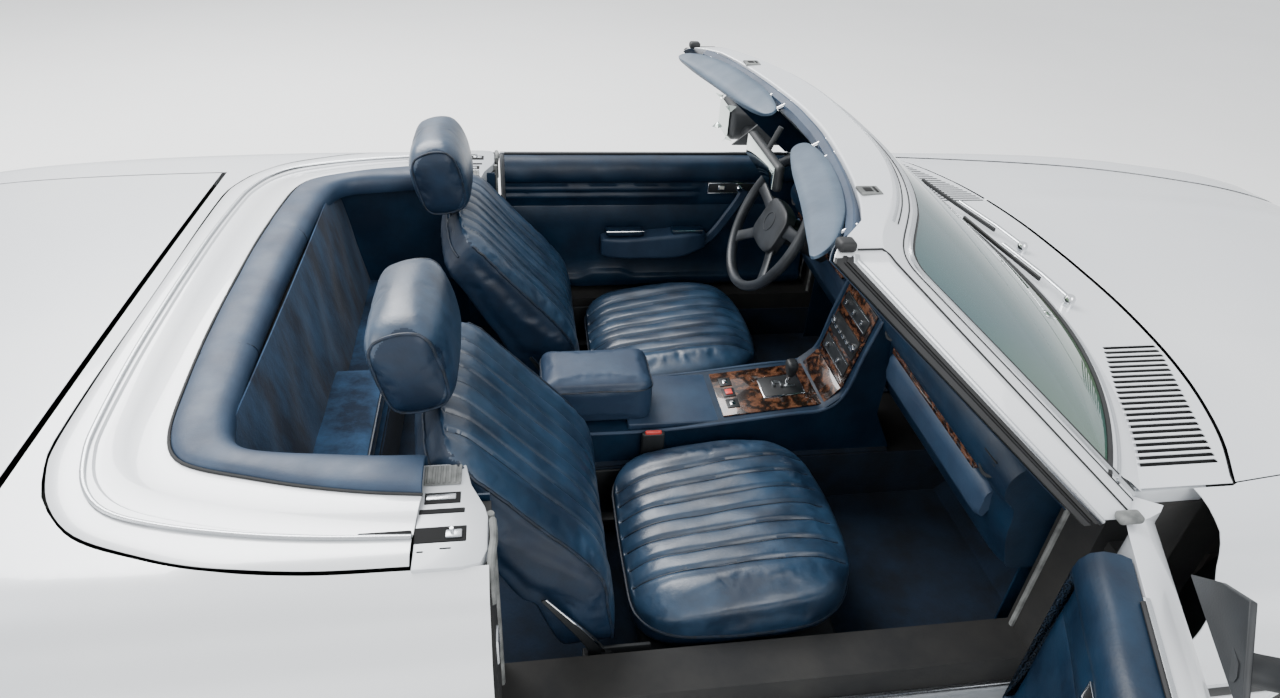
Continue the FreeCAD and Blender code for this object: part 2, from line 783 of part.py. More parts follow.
# Fixed rear wings, joined by the strip between the two lids
rear_zone = slab((size("tail_panel_x"), -REACH, size("wing_low_z")),
                 (size("jamb_front_x") - 1, REACH, HIGH_CUT))
tail_corner = slab((size("tail_x") - 60, size("tail_panel_half"), size("wing_low_z")),
                   (size("tail_panel_x"), REACH, HIGH_CUT))
rear_zone = rear_zone.fuse(tail_corner).fuse(flipped(tail_corner))
boot_room = slab((size("tail_x") - 60, -size("boot_lid_half") - gap, size("boot_low_z") - gap),
                 (size("boot_front_x") + size("boot_front_gap"), size("boot_lid_half") + gap, HIGH_CUT))
cockpit_room = slab((size("lid_front_x") - 2, -size("lid_front_y") - gap, LOW_CUT),
                    (REACH, size("lid_front_y") + gap, HIGH_CUT))
rear_shape = shell.common(rear_zone).cut(boot_room).cut(cockpit_room).cut(arch_tool)
rear_shape = rear_shape.cut(grown_prism(lid_plan, gap, LOW_CUT, HIGH_CUT))
rear_shape = rear_shape.cut(tail_room).cut(flipped(tail_room))
rear_shape = rear_shape.fuse([lid_pin_tool, flipped(lid_pin_tool), boot_pin_tool,
                              flipped(boot_pin_tool)])
node("rear_wings", formed("Rear_wings", rear_shape))

# Tail panel under the boot lid, between and below the tail lamps
tail_zone = slab((size("tail_x") - 60, -size("tail_panel_half"), size("wing_low_z")),
                 (size("tail_panel_x"), size("tail_panel_half"), size("boot_low_z") - gap))
tail_shape = outer_form.common(tail_zone).cut(tail_room).cut(flipped(tail_room))
rear_slot = slab((-2 * REACH, size("rear_rail_in_y") - 2, size("rear_rail_low_z") - 2),
                 (size("tail_panel_x") + 5, size("rear_rail_out_y") + 2, size("boot_floor_z") + 2))
pipe_slot = slab((-2 * REACH, size("outlet_y") - 45, size("wing_low_z") - 5),
                 (size("tail_panel_x") + 5, size("outlet_y") + 45, size("outlet_z") + 40))
tail_shape = tail_shape.cut(rear_slot).cut(flipped(rear_slot)).cut(pipe_slot)
node("tail_panel", formed("Tail_panel", tail_shape))

# Front wings, cut round the hood, the wheels, the lamps and the door's rounded edge
hinge_circle = Part.makeCylinder(size("door_nose_radius") + size("shut_gap"), REACH,
                                 Vector(size("hinge_x"), size("hinge_y"), 0))
wing_zone = slab((size("hinge_x"), 0, size("wing_low_z")), (REACH * 2, REACH, HIGH_CUT))
wing_zone = wing_zone.cut(hinge_circle)
wing_zone = wing_zone.cut(slab((0, 0, 0), (size("post_front_x") - 30, size("hinge_y"), HIGH_CUT)))
wing_zone = wing_zone.cut(slab((size("nose_panel_x"), 0, 0), (REACH * 2, size("nose_panel_half"), HIGH_CUT)))
hood_room = grown_prism(hood_plan, gap, LOW_CUT, HIGH_CUT)
cowl_zone = slab((cockpit_front, -size("seam_side_y") - gap, LOW_CUT),
                 (size("seam_side_x") + 30, size("seam_side_y") + gap, HIGH_CUT))
wing_zone = wing_zone.cut(slab((0, 0, 0), (size("firewall_x") + 2 * size("wall"),
                                           size("seam_bend_y") + 40, HIGH_CUT)))
wing_shape = shell.common(wing_zone).cut(hood_room).cut(cowl_zone).cut(arch_tool).cut(head_room)
wing_shape = wing_shape.fuse(hood_pin_tool)
node("front_wings", formed("Front_wings", Part.makeCompound([wing_shape, flipped(wing_shape)])))

# Cowl panel between the hood and the windscreen, with its air slots
hood_rear_room = grown_prism(hood_plan, size("hood_rear_gap"), LOW_CUT, HIGH_CUT)
cowl_half = size("seam_side_y") + gap - SEAT_GAP
cowl_plan = slab((cockpit_front, -cowl_half, LOW_CUT), (size("seam_mid_x") + 30, cowl_half, HIGH_CUT))
cowl_shape = shell.common(cowl_plan).cut(hood_rear_room)
cowl_corner = slab(((size("seam_side_x") + size("seam_bend_x")) / 2,
                    (size("seam_side_y") + size("seam_bend_y")) / 2, LOW_CUT),
                   (REACH, REACH, HIGH_CUT))
cowl_shape = cowl_shape.cut(hood_bore).cut(flipped(hood_bore))
cowl_shape = cowl_shape.cut(cowl_corner).cut(flipped(cowl_corner))
for index in range(int(size("vent_count"))):
    vent_y = size("vent_in_y") + index * size("vent_pitch")
    front = size("vent_front_x") - index * size("vent_pitch") * size("vent_sweep")
    vent = slab((front - size("vent_length"), vent_y, LOW_CUT),
                (front, vent_y + size("vent_width"), HIGH_CUT))
    cowl_shape = cowl_shape.cut(vent).cut(flipped(vent))
node("cowl_panel", formed("Cowl_panel", cowl_shape))

# Nose panel with openings for the grille and the lamps
nose_zone = slab((size("nose_panel_x"), -size("nose_panel_half") + SEAT_GAP, size("wing_low_z")),
                 (REACH * 2, size("nose_panel_half") - SEAT_GAP, HIGH_CUT))
grille_hole = slab((0, -size("grille_half"), size("grille_low_z")),
                   (REACH * 2, size("grille_half"), size("grille_top_z")))
front_slot = slab((size("front_rail_x") - 5, size("front_rail_in_y") - 2, size("bumper_low_z") - 2),
                  (REACH * 2, size("front_rail_out_y") + 2, size("bracket_top_z") + 2))
nose_shape = outer_form.common(nose_zone).cut(grille_hole).cut(hood_room)
nose_shape = nose_shape.cut(head_room).cut(flipped(head_room))
nose_shape = nose_shape.cut(front_slot).cut(flipped(front_slot))
node("nose_panel", formed("Nose_panel", nose_shape))

# Lamps follow the body's outer form
lamp_back = slab((0, 0, 0), (size("nose_x") - 70, size("lamp_in_y") + 250, HIGH_CUT))
head_shape = outer_form.common(head_lamp).cut(lamp_back)
node("headlamps", formed("Headlamps", Part.makeCompound([head_shape, flipped(head_shape)])))
tail_back = slab((size("tail_x") + 50, 0, 0), (0, size("tail_lamp_in_y") + 330, HIGH_CUT))
tail_lamp_shape = outer_form.common(tail_lamp).cut(tail_back)
node("tail_lamps", formed("Tail_lamps", Part.makeCompound([tail_lamp_shape,
                                                           flipped(tail_lamp_shape)])))

# Grille: a frame, its bars and a middle post
grille_low = (size("grille_rear_x"), -size("grille_half") + SEAT_GAP, size("grille_low_z") + SEAT_GAP)
grille_high = (size("grille_front_x"), size("grille_half") - SEAT_GAP, size("grille_top_z") - SEAT_GAP)
frame_wall = size("grille_frame")
grille_shape = slab(grille_low, grille_high).cut(
    slab((0, grille_low[1] + frame_wall, grille_low[2] + frame_wall),
         (REACH * 2, grille_high[1] - frame_wall, grille_high[2] - frame_wall)))
slat_count = int(size("slat_count"))
slat_step = (grille_high[2] - grille_low[2] - frame_wall) / (slat_count + 1)
for index in range(slat_count):
    slat_z = grille_low[2] + frame_wall / 2 + (index + 1) * slat_step - size("slat") / 2
    grille_shape = grille_shape.fuse(slab((grille_low[0] + 6, grille_low[1], slat_z),
                                          (grille_high[0] - 6, grille_high[1], slat_z + size("slat"))))
grille_shape = grille_shape.fuse(slab((grille_low[0] + 6, -frame_wall / 2, grille_low[2]),
                                      (grille_high[0] - 8, frame_wall / 2, grille_high[2])))
node("grille", formed("Grille", grille_shape))


def bumper(sign, front):
    """Bumper bar bowed in plan, with sides that wrap round the body and two brackets."""
    bow = size("bumper_bow")
    corner = size("bumper_corner_y")
    half = size("bumper_half")
    wall = size("bumper_wall")
    side = size("bumper_side_wall")
    end = front - sign * size("bumper_side")

    def ring(step, edge):
        """Half outline at a depth from the outer face."""
        face = front - sign * step
        knee = face - sign * bow
        bend = knee - sign * 70
        return face, knee, bend, edge

    outer_face, outer_knee, outer_bend, outer_edge = ring(0, half)
    inner_face, inner_knee, inner_bend, inner_edge = ring(wall, half - side)
    points = [Vector(end, outer_edge, 0), Vector(outer_bend, outer_edge, 0),
              Vector(outer_knee, corner, 0), Vector(outer_face, 0, 0), Vector(outer_knee, -corner, 0),
              Vector(outer_bend, -outer_edge, 0), Vector(end, -outer_edge, 0),
              Vector(end, -inner_edge, 0), Vector(inner_bend, -inner_edge, 0),
              Vector(inner_knee, -corner + wall, 0), Vector(inner_face, 0, 0),
              Vector(inner_knee, corner - wall, 0), Vector(inner_bend, inner_edge, 0),
              Vector(end, inner_edge, 0)]
    edges = [Part.makeLine(points[0], points[1]), Part.makeLine(points[1], points[2]),
             Part.Arc(points[2], points[3], points[4]).toShape(),
             Part.makeLine(points[4], points[5]), Part.makeLine(points[5], points[6]),
             Part.makeLine(points[6], points[7]), Part.makeLine(points[7], points[8]),
             Part.makeLine(points[8], points[9]),
             Part.Arc(points[9], points[10], points[11]).toShape(),
             Part.makeLine(points[11], points[12]), Part.makeLine(points[12], points[13]),
             Part.makeLine(points[13], points[0])]
    face = Part.Face(Part.Wire(edges))
    face.translate(Vector(0, 0, size("bumper_low_z")))
    bar = face.extrude(Vector(0, 0, size("bumper_top_z") - size("bumper_low_z")))
    return bar.cut(outer_form)


front_bar = bumper(1, size("bumper_front_x"))
front_arm = slab((size("front_rail_x"), size("front_rail_in_y"), size("bumper_low_z")),
                 (size("bumper_front_x") - 40, size("front_rail_out_y"), size("bracket_top_z")))
front_bar = front_bar.fuse([front_arm, flipped(front_arm)])
node("front_bumper", formed("Front_bumper", front_bar))
rear_bar = bumper(-1, size("bumper_rear_x"))
rear_arm = slab((size("bumper_rear_x") + 40, size("rear_rail_in_y"), size("bumper_low_z")),
                (size("tub_rear_x"), size("rear_rail_out_y"), size("boot_floor_z")))
rear_bar = rear_bar.fuse([rear_arm, flipped(rear_arm)])
node("rear_bumper", formed("Rear_bumper", rear_bar))

# Doors: the outer form cut to the door's length, hollowed round the hinges
door_zone = slab((size("door_rear_x"), size("door_in_y"), size("door_low_z")),
                 (size("hinge_x"), REACH, HIGH_CUT))
nose_round = Part.makeCylinder(size("door_nose_radius"), REACH,
                               Vector(size("hinge_x"), size("hinge_y"), size("door_low_z")))
nose_round = nose_round.common(slab((0, size("door_in_y"), 0), (REACH, REACH, HIGH_CUT)))
nose_round = nose_round.fuse(slab((size("hinge_x") - 60, size("hinge_y"), size("door_low_z")),
                                  (size("door_front_x"), REACH, HIGH_CUT)))
nose_round = nose_round.common(Part.makeCylinder(size("door_nose_radius"), REACH,
                               Vector(size("hinge_x"), size("hinge_y"), 0)))
door_shape = outer_form.common(door_zone.fuse(nose_round))
for hinge_name in ("hinge_low_z", "hinge_high_z"):
    middle = size(hinge_name)
    half_pocket = size("hinge_pocket") / 2
    pocket = slab((size("hinge_x") - size("hinge_half") - gap, 0, middle - half_pocket),
                  (REACH, size("hinge_y") + size("hinge_half") + 3, middle + half_pocket))
    bore = Part.makeCylinder(size("hinge_pin_radius") + SEAT_GAP,
                             2 * (size("hinge_pin_reach") + 1),
                             Vector(size("hinge_x"), size("hinge_y"),
                                    middle - size("hinge_pin_reach") - 1))
    door_shape = door_shape.cut(pocket).cut(bore)

# Door mirror on the front corner of the left door, and its twin on the right
mirror_head = slab((size("mirror_rear_x"), size("mirror_in_y"), size("mirror_low_z")),
                   (size("mirror_front_x"), size("mirror_out_y"), size("mirror_top_z")))
upright_edges = [edge for edge in mirror_head.Edges
                 if abs(edge.Vertexes[0].Z - edge.Vertexes[1].Z) > 1]
mirror_head = mirror_head.makeFillet(size("wheel_grip"), upright_edges)
mirror_foot = slab((size("mirror_foot_rear_x"), size("hinge_y") - 40, size("mirror_foot_low_z")),
                   (size("mirror_foot_front_x"), size("mirror_in_y") + 20, size("mirror_low_z") + 60))
door_shape = door_shape.fuse([mirror_head, mirror_foot])


def hung(shape, side):
    """Left door as it shuts, or right door turned open about its hinge."""
    if side == "left":
        return shape
    twin = flipped(shape)
    twin.rotate(Vector(size("hinge_x"), -size("hinge_y"), 0), Vector(0, 0, 1),
                size("door_open_angle"))
    return twin


trim_panel = slab((size("trim_rear_x"), size("trim_in_y"), size("trim_low_z")),
                  (size("trim_front_x"), size("door_in_y") - SEAT_GAP, size("trim_top_z")))
trim_roll = slab((size("trim_rear_x"), size("roll_in_y"), size("roll_low_z")),
                 (size("trim_front_x"), size("door_in_y") - SEAT_GAP, size("trim_top_z")))
trim_roll = trim_roll.makeFillet(size("round_drop"), [edge for edge in trim_roll.Edges
                                 if edge.BoundBox.YMax < size("roll_in_y") + 1
                                 and edge.BoundBox.XLength > 1
                                 and edge.BoundBox.ZMin > size("roll_low_z") + 1])
trim_rest = slab((size("rest_arm_rear_x"), size("rest_arm_in_y"), size("rest_arm_low_z")),
                 (size("rest_arm_front_x"), size("trim_in_y") + 10, size("rest_arm_top_z")))
trim_shape = trim_panel.fuse([trim_roll, trim_rest])
for side in ("left", "right"):
    node("door_" + side, formed("Door_" + side, hung(door_shape, side)))
    node("door_trim_" + side, formed("Door_trim_" + side, hung(trim_shape, side)))

# Body tub: floor, tunnel, sills, posts, bulkheads, rails and boot, joined as one shell
tub = [block("floor_pan", ("heel_x", "-1 * sill_in_y", "floor_z"),
             ("firewall_x", "sill_in_y", "floor_z + wall")),
       block("tunnel_block", ("heel_x", "-1 * tunnel_half", "floor_z"),
             ("firewall_x", "tunnel_half", "tunnel_top_z")),
       block("heel_wall", ("heel_x", "-1 * tub_side_y", "floor_z"),
             ("heel_x + wall", "tub_side_y", "deck_floor_z")),
       block("deck_floor", ("boot_step_x", "-1 * tub_side_y", "deck_floor_z"),
             ("heel_x + wall", "tub_side_y", "deck_floor_z + wall")),
       block("bulkhead", ("bulkhead_x", "-1 * tub_side_y", "deck_floor_z"),
             ("bulkhead_x + wall", "tub_side_y", "tub_top_z")),
       block("well_wall", ("well_rear_x - wall", "-1 * tub_side_y", "deck_floor_z"),
             ("well_rear_x", "tub_side_y", "tub_top_z")),
       block("boot_floor", ("tub_rear_x", "-1 * tub_side_y", "boot_floor_z"),
             ("boot_step_x", "tub_side_y", "boot_floor_z + wall")),
       block("boot_riser", ("boot_step_x", "-1 * tub_side_y", "boot_floor_z"),
             ("boot_step_x + wall", "tub_side_y", "deck_floor_z + wall")),
       block("boot_rear_wall", ("tub_rear_x", "-1 * tub_side_y", "boot_floor_z"),
             ("tub_rear_x + wall", "tub_side_y", "boot_low_z - 30")),
       block("spare_well", ("tub_rear_x", "-1 * spare_half", "spare_low_z"),
             ("spare_front_x", "spare_half", "boot_floor_z + wall")),
       block("firewall", ("firewall_x", "-1 * sill_in_y", "floor_z"),
             ("firewall_x + wall", "sill_in_y", "firewall_top_z"))]
tub += pair("sill_box", ("sill_rear_x", "sill_in_y", "sill_low_z"),
            ("firewall_x + wall", "sill_box_y", "sill_top_z"))
tub += pair("sill_step", ("jamb_rear_x", "sill_in_y", "sill_low_z"),
            ("post_front_x", "step_out_y", "step_top_z"))
tub += pair("hinge_post", ("post_rear_x", "sill_in_y", "sill_low_z"),
            ("post_front_x", "post_out_y", "post_top_z"))
tub += pair("jamb", ("jamb_rear_x", "sill_in_y", "sill_top_z - wall"),
            ("jamb_front_x", "jamb_out_y", "jamb_top_z"))
tub += pair("kick_panel", ("post_rear_x", "sill_in_y", "floor_z"),
            ("firewall_x + wall", "sill_in_y + kick_wall", "firewall_top_z"))
tub += pair("rear_side", ("tub_rear_x", "tub_side_y", "rear_rail_low_z"),
            ("heel_x + wall", "tub_side_y + wall", "tub_top_z"))
tub += pair("side_return", ("heel_x", "tub_side_y", "floor_z"),
            ("heel_x + wall", "sill_in_y + wall", "tub_top_z"))
tub += pair("jamb_return", ("heel_x", "sill_in_y", "floor_z"),
            ("jamb_front_x", "sill_in_y + wall", "tub_top_z"))
tub += pair("rear_rail", ("tub_rear_x", "rear_rail_in_y", "rear_rail_low_z"),
            ("heel_x + wall", "rear_rail_out_y", "boot_floor_z"))
tub += pair("rail_riser", ("boot_step_x", "rear_rail_in_y", "boot_floor_z"),
            ("heel_x + wall", "rear_rail_out_y", "deck_floor_z"))
tub += pair("front_rail", ("firewall_x", "front_rail_in_y", "front_rail_low_z"),
            ("front_rail_x", "front_rail_out_y", "front_rail_top_z"))
tub += pair("inner_wing", ("firewall_x", "front_rail_out_y - apron_wall", "front_rail_low_z"),
            ("front_rail_x", "front_rail_out_y", "apron_top_z - 90"))
tub += pair("spring_tower", ("axle_x - tower_half", "tower_in_y", "front_rail_low_z"),
            ("axle_x + tower_half", "front_rail_out_y", "tower_top_z"))
tub += [block("radiator_panel", ("front_rail_x - wall", "-1 * front_rail_out_y", "front_rail_low_z"),
              ("front_rail_x", "front_rail_out_y", "grille_low_z - 20"))]
wing_ties = pair("wing_tie", ("firewall_x", "sill_in_y", "firewall_top_z - 60"),
                 ("firewall_x + wall", "seam_side_y + 60", "firewall_top_z"))
tub += wing_ties
hollows = [block("tunnel_space", ("heel_x - wall", "tunnel_wall - tunnel_half", "floor_z - wall"),
                 ("firewall_x + 2 * wall", "tunnel_half - tunnel_wall", "tunnel_top_z - tunnel_wall")),
           block("spare_space", ("tub_rear_x + wall", "wall - spare_half", "spare_low_z + wall"),
                 ("spare_front_x - wall", "spare_half - wall", "boot_floor_z + 2 * wall"))]
solid_tub = cut("Tub_shell", fuse("Tub_joined", tub), hollows)
brackets = []
for mark, height in (("low", "hinge_low_z"), ("high", "hinge_high_z")):
    brackets += pair("hinge_leaf_" + mark,
                     ("hinge_x - hinge_half", "post_out_y - 5", height + " - hinge_leaf / 2"),
                     ("hinge_x + hinge_half", "hinge_y", height + " + hinge_leaf / 2"))
    for sign, side in ((1, "left"), (-1, "right")):
        brackets.append(rod("hinge_pin_%s_%s" % (mark, side),
                            ("hinge_x", "%d * hinge_y" % sign, height + " - hinge_pin_reach"),
                            "2 * hinge_pin_reach", "hinge_pin_radius"))
doc.recompute()
tub_shape = fuse("Tub_whole", [solid_tub] + brackets)
doc.recompute()
under_skin = body_form(size("skin") + SEAT_GAP)
below = slab((2 * size("tub_rear_x"), -REACH, 0), (2 * REACH, REACH, size("step_top_z") + 30))
tub_form = tub_shape.Shape.common(under_skin.fuse(below)).removeSplitter()

# The tub's sub-assemblies meet at the firewall, at the heel wall and behind the soft-top well
joints_x = [2 * size("tub_rear_x"), size("well_rear_x") - size("wall"),
            size("heel_x") + size("wall"), size("firewall_x") + size("wall"), 2 * REACH]
tub_names = ("boot_tub", "deck_tub", "cabin_tub", "front_frame")
for name, start, end in zip(tub_names, joints_x, joints_x[1:]):
    stretch = tub_form.common(slab((start, -REACH, 0), (end, REACH, HIGH_CUT)))
    node(name, formed(name.capitalize(), stretch.removeSplitter()))

# Lugs with upright sockets: jacking pads under the sills, tie-down lugs under the rails
lugs = []
for mark, place, across, top, radius in (
        ("jack_front", "jack_x", "jack_y", "sill_low_z", "jack_radius"),
        ("jack_rear", "-1 * jack_x", "jack_y", "sill_low_z", "jack_radius"),
        ("tie_front", "tie_front_x", "tie_front_y", "front_rail_low_z", "tie_radius"),
        ("tie_rear", "tie_rear_x", "tie_rear_y", "rear_rail_low_z", "tie_radius")):
    for sign, side in ((1, "left"), (-1, "right")):
        middle = "%d * %s" % (sign, across)
        pad = block("%s_pad_%s" % (mark, side),
                    (place + " - lug_half", middle + " - lug_half", top + " - lug_height"),
                    (place + " + lug_half", middle + " + lug_half", top))
        well = rod("%s_well_%s" % (mark, side), (place, middle, top + " - lug_height - 1"),
                   "socket_depth + 1", radius)
        lugs.append(cut("%s_%s" % (mark, side), pad, [well]))
node("jack_and_tie_lugs", together("Jack_and_tie_lugs", lugs))

# Outer sills under the doors follow the body form
sill_zone = slab((size("jamb_front_x") + 10, size("sill_box_y"), size("edge_z")),
                 (size("post_front_x") - 40, REACH, size("sill_top_z")))
sill_rear = slab((size("sill_rear_x"), size("sill_box_y"), size("edge_z")),
                 (size("sill_front_x"), REACH, size("wing_low_z") - 1))
sill_shape = outer_form.common(sill_zone.fuse(sill_rear))
node("sills", formed("Sills", Part.makeCompound([sill_shape, flipped(sill_shape)])))
doc.recompute()


def curved_strip(height, front, end, half, depth, inset):
    """Closed plan outline of the windscreen at a height: front arc, ends and rear arc."""
    nose = front - inset
    tail = nose - depth
    sweep = end - front
    points = [Vector(nose + sweep, half, height), Vector(nose, 0, height),
              Vector(nose + sweep, -half, height), Vector(tail + sweep, -half, height),
              Vector(tail, 0, height), Vector(tail + sweep, half, height)]
    edges = [Part.Arc(points[0], points[1], points[2]).toShape(),
             Part.makeLine(points[2], points[3]),
             Part.Arc(points[3], points[4], points[5]).toShape(),
             Part.makeLine(points[5], points[0])]
    return Part.Wire(edges)


def at_height(height, low_name, high_name):
    """Value between the windscreen's base and its header at a height."""
    share = (height - size("screen_base_z")) / (size("screen_top_z") - size("screen_base_z"))
    return size(low_name) + share * (size(high_name) - size(low_name))


def screen_solid(low, high, margin_low, margin_high, depth, inset):
    """Ruled slab of the windscreen between two heights, narrower by a margin each side."""
    wires = []
    for height, margin in ((low, margin_low), (high, margin_high)):
        half = at_height(height, "screen_base_half", "screen_top_half")
        front = at_height(height, "screen_base_x", "screen_top_x")
        end = at_height(height, "screen_base_end_x", "screen_top_end_x")
        ratio = (half - margin) / half
        swept_end = front + (end - front) * ratio * ratio
        wires.append(curved_strip(height, front, swept_end, half - margin, depth, inset))
    return Part.makeLoft(wires, True, True)


low_open = size("opening_low_z")
top_open = size("opening_top_z")
screen = screen_solid(size("screen_base_z") - 20, size("screen_top_z"), 0, 0, size("screen_depth"), 0)
hole = screen_solid(low_open, top_open, size("opening_edge"), size("opening_edge_top"),
                    size("screen_depth") * 3, -size("screen_depth"))
pillar_foot = slab((0, size("post_out_y") + 2, 0), (size("hinge_x") + 20, REACH, size("pillar_foot_z")))
screen = screen.cut(hole).cut(outer_form).cut(pillar_foot).cut(flipped(pillar_foot))
glass = screen_solid(low_open + SEAT_GAP, top_open - SEAT_GAP, size("opening_edge") + SEAT_GAP,
                     size("opening_edge_top") + SEAT_GAP, size("glass_thick"), size("glass_inset"))
node("windscreen_frame", formed("Windscreen_frame", screen))
node("windscreen_glass", formed("Windscreen_glass", glass.cut(outer_form)))

# Wheels: rim turned and pierced, tyre turned
rim_profile = [("-1 * rim_half_width", "bead_radius - 4"), ("-1 * rim_half_width", "rim_lip_radius"),
               ("6 - rim_half_width", "rim_lip_radius"), ("8 - rim_half_width", "bead_radius"),
               ("rim_half_width - 8", "bead_radius"), ("rim_half_width - 6", "rim_lip_radius"),
               ("rim_half_width", "rim_lip_radius"), ("rim_half_width", "bead_radius - 4"),
               ("rim_half_width - 24", "bead_radius - rim_wall - 4"),
               ("rim_half_width - 34", "bead_radius - 40"),
               ("rim_half_width - 24", "hub_radius + 5"), ("rim_half_width - 18", "hub_radius - 15"),
               ("rim_half_width - 18", "axle_radius + running_clearance"),
               ("-1 * axle_radius", "axle_radius + running_clearance"),
               ("-1 * axle_radius", "hub_radius"), ("rim_half_width - 48", "hub_radius + 5"),
               ("rim_half_width - 50", "bead_radius - 40"),
               ("rim_half_width - 60", "bead_radius - rim_wall - 8"),
               ("14 - rim_half_width", "bead_radius - rim_wall - 2")]
tyre_profile = [("12 - rim_half_width", "bead_radius + running_clearance"),
                ("12 - rim_half_width", "rim_lip_radius + 4"),
                ("2 - tyre_half_width", "bead_radius + 28"), ("-1 * tyre_half_width", "bead_radius + 60"),
                ("5 - tyre_half_width", "tyre_radius - 28"), ("22 - tyre_half_width", "tyre_radius - 6"),
                ("44 - tyre_half_width", "tyre_radius"), ("tyre_half_width - 44", "tyre_radius"),
                ("tyre_half_width - 22", "tyre_radius - 6"), ("tyre_half_width - 5", "tyre_radius - 28"),
                ("tyre_half_width", "bead_radius + 60"), ("tyre_half_width - 2", "bead_radius + 28"),
                ("rim_half_width - 12", "rim_lip_radius + 4"),
                ("rim_half_width - 12", "bead_radius + running_clearance")]
CORNERS = (
    ("front_left", "axle_x", "front_wheel_y", 1),
    ("front_right", "axle_x", "-1 * front_wheel_y", -1),
    ("rear_left", "-1 * axle_x", "rear_wheel_y", 1),
    ("rear_right", "-1 * axle_x", "-1 * rear_wheel_y", -1),
)
for corner, place_x, place_y, outward in CORNERS:
    rim = turned_body("Rim_" + corner, rim_profile)
    holes = sketch_on(rim, "XZ_Plane", "Rim_holes_" + corner)
    holes.addGeometry(Part.Circle(Vector(0, 100, 0), Vector(0, 0, 1), 10), False)
    holes.addConstraint(Sketcher.Constraint("PointOnObject", 0, 3, -2))
    entry = holes.addConstraint(Sketcher.Constraint("DistanceY", -1, 1, 0, 3, 100.0))
    holes.setExpression("Constraints[%d]" % entry, bound("rim_hole_circle"))
    entry = holes.addConstraint(Sketcher.Constraint("Radius", 0, 10.0))
    holes.setExpression("Constraints[%d]" % entry, bound("rim_hole_radius"))
    doc.recompute()
    before = rim.Shape.Volume
    pocket = rim.newObject("PartDesign::Pocket", "Rim_pocket_" + corner)
    pocket.Profile = holes
    pocket.SideType = "Symmetric"
    bind(pocket, "Length", "4 * rim_half_width")
    doc.recompute()
    assert pocket.Shape.Volume < before
    pattern = rim.newObject("PartDesign::PolarPattern", "Rim_pattern_" + corner)
    pattern.Originals = [pocket]
    pattern.Axis = (origin_plane(rim, "Y_Axis"), [""])
    pattern.Angle = 360
    bind(pattern, "Occurrences", "rim_hole_count")
    rim.Tip = pattern
    tyre = turned_body("Tyre_" + corner, tyre_profile)
    for thing in (rim, tyre):
        placed(thing, (place_x, place_y, "tyre_radius"))
        if outward < 0:
            thing.Placement.Rotation = FreeCAD.Rotation(Vector(0, 0, 1), 180)
    node("wheel_rim_" + corner, rim)
    node("tyre_" + corner, tyre)

# Steering knuckles: upright with bored ends and a stub axle
for side, sign in (("left", 1), ("right", -1)):
    flip = "%d * " % sign
    low_y = "upright_in_y" if sign > 0 else "-1 * upright_out_y"
    high_y = "upright_out_y" if sign > 0 else "-1 * upright_in_y"
    body = block("Upright_" + side,
                 ("axle_x - upright_half", low_y, "tyre_radius - ball_drop"),
                 ("axle_x + upright_half", high_y, "tyre_radius + ball_drop"))
    stub = rod("Stub_" + side, ("axle_x", flip + "(upright_out_y - 5)", "tyre_radius"),
               "front_wheel_y - upright_out_y + stub_end + 5", "axle_radius",
               ALONG_Y if sign > 0 else FreeCAD.Rotation(Vector(1, 0, 0), 90))
    bores = [rod("Ball_bore_low_" + side, ("axle_x", flip + "kingpin_y",
                 "tyre_radius - ball_drop - 1"), "ball_reach + 2",
                 "ball_radius + running_clearance"),
             rod("Ball_bore_high_" + side, ("axle_x", flip + "kingpin_y",
                 "tyre_radius + ball_drop - ball_reach - 1"), "ball_reach + 2",
                 "ball_radius + running_clearance")]
    node("knuckle_" + side, cut("Knuckle_" + side, fuse("Knuckle_joined_" + side, [body, stub]), bores))

# Front suspension: cross member, arms with their ball pins, and springs
front_parts = [block("crossmember", ("axle_x - crossmember_half", "-1 * front_rail_out_y",
                     "crossmember_low_z"),
                     ("axle_x + crossmember_half", "front_rail_out_y", "front_rail_low_z"))]
for side, sign in (("left", 1), ("right", -1)):
    flip = "%d * " % sign
    for level, half, inner, low in (
            ("lower", "lower_arm_half", "lower_arm_in_y",
             "tyre_radius - ball_drop - arm_thick - 5 * running_clearance"),
            ("upper", "upper_arm_half", "front_rail_out_y",
             "tyre_radius + ball_drop + 5 * running_clearance")):
        arm = padded_body("%s_arm_%s" % (level, side), "XY_Plane",
                          [("axle_x - " + half, flip + inner), ("axle_x + " + half, flip + inner),
                           ("axle_x + arm_end_half", flip + "(kingpin_y + arm_end_half)"),
                           ("axle_x - arm_end_half", flip + "(kingpin_y + arm_end_half)")],
                          "arm_thick")
        bind(arm, "Placement.Base.z", low + " + arm_thick / 2")
        front_parts.append(arm)
    front_parts.append(rod("low_pin_" + side, ("axle_x", flip + "kingpin_y",
                           "tyre_radius - ball_drop - arm_thick / 2"),
                           "arm_thick / 2 + ball_reach", "ball_radius"))
    front_parts.append(rod("high_pin_" + side, ("axle_x", flip + "kingpin_y",
                           "tyre_radius + ball_drop - ball_reach"),
                           "arm_thick / 2 + ball_reach", "ball_radius"))
    front_parts.append(rod("spring_" + side, ("axle_x", flip + "spring_y",
                           "tyre_radius - ball_drop - arm_thick / 2"),
                           "2 * ball_drop + arm_thick", "spring_radius"))
node("front_suspension", fuse("Front_suspension", front_parts))

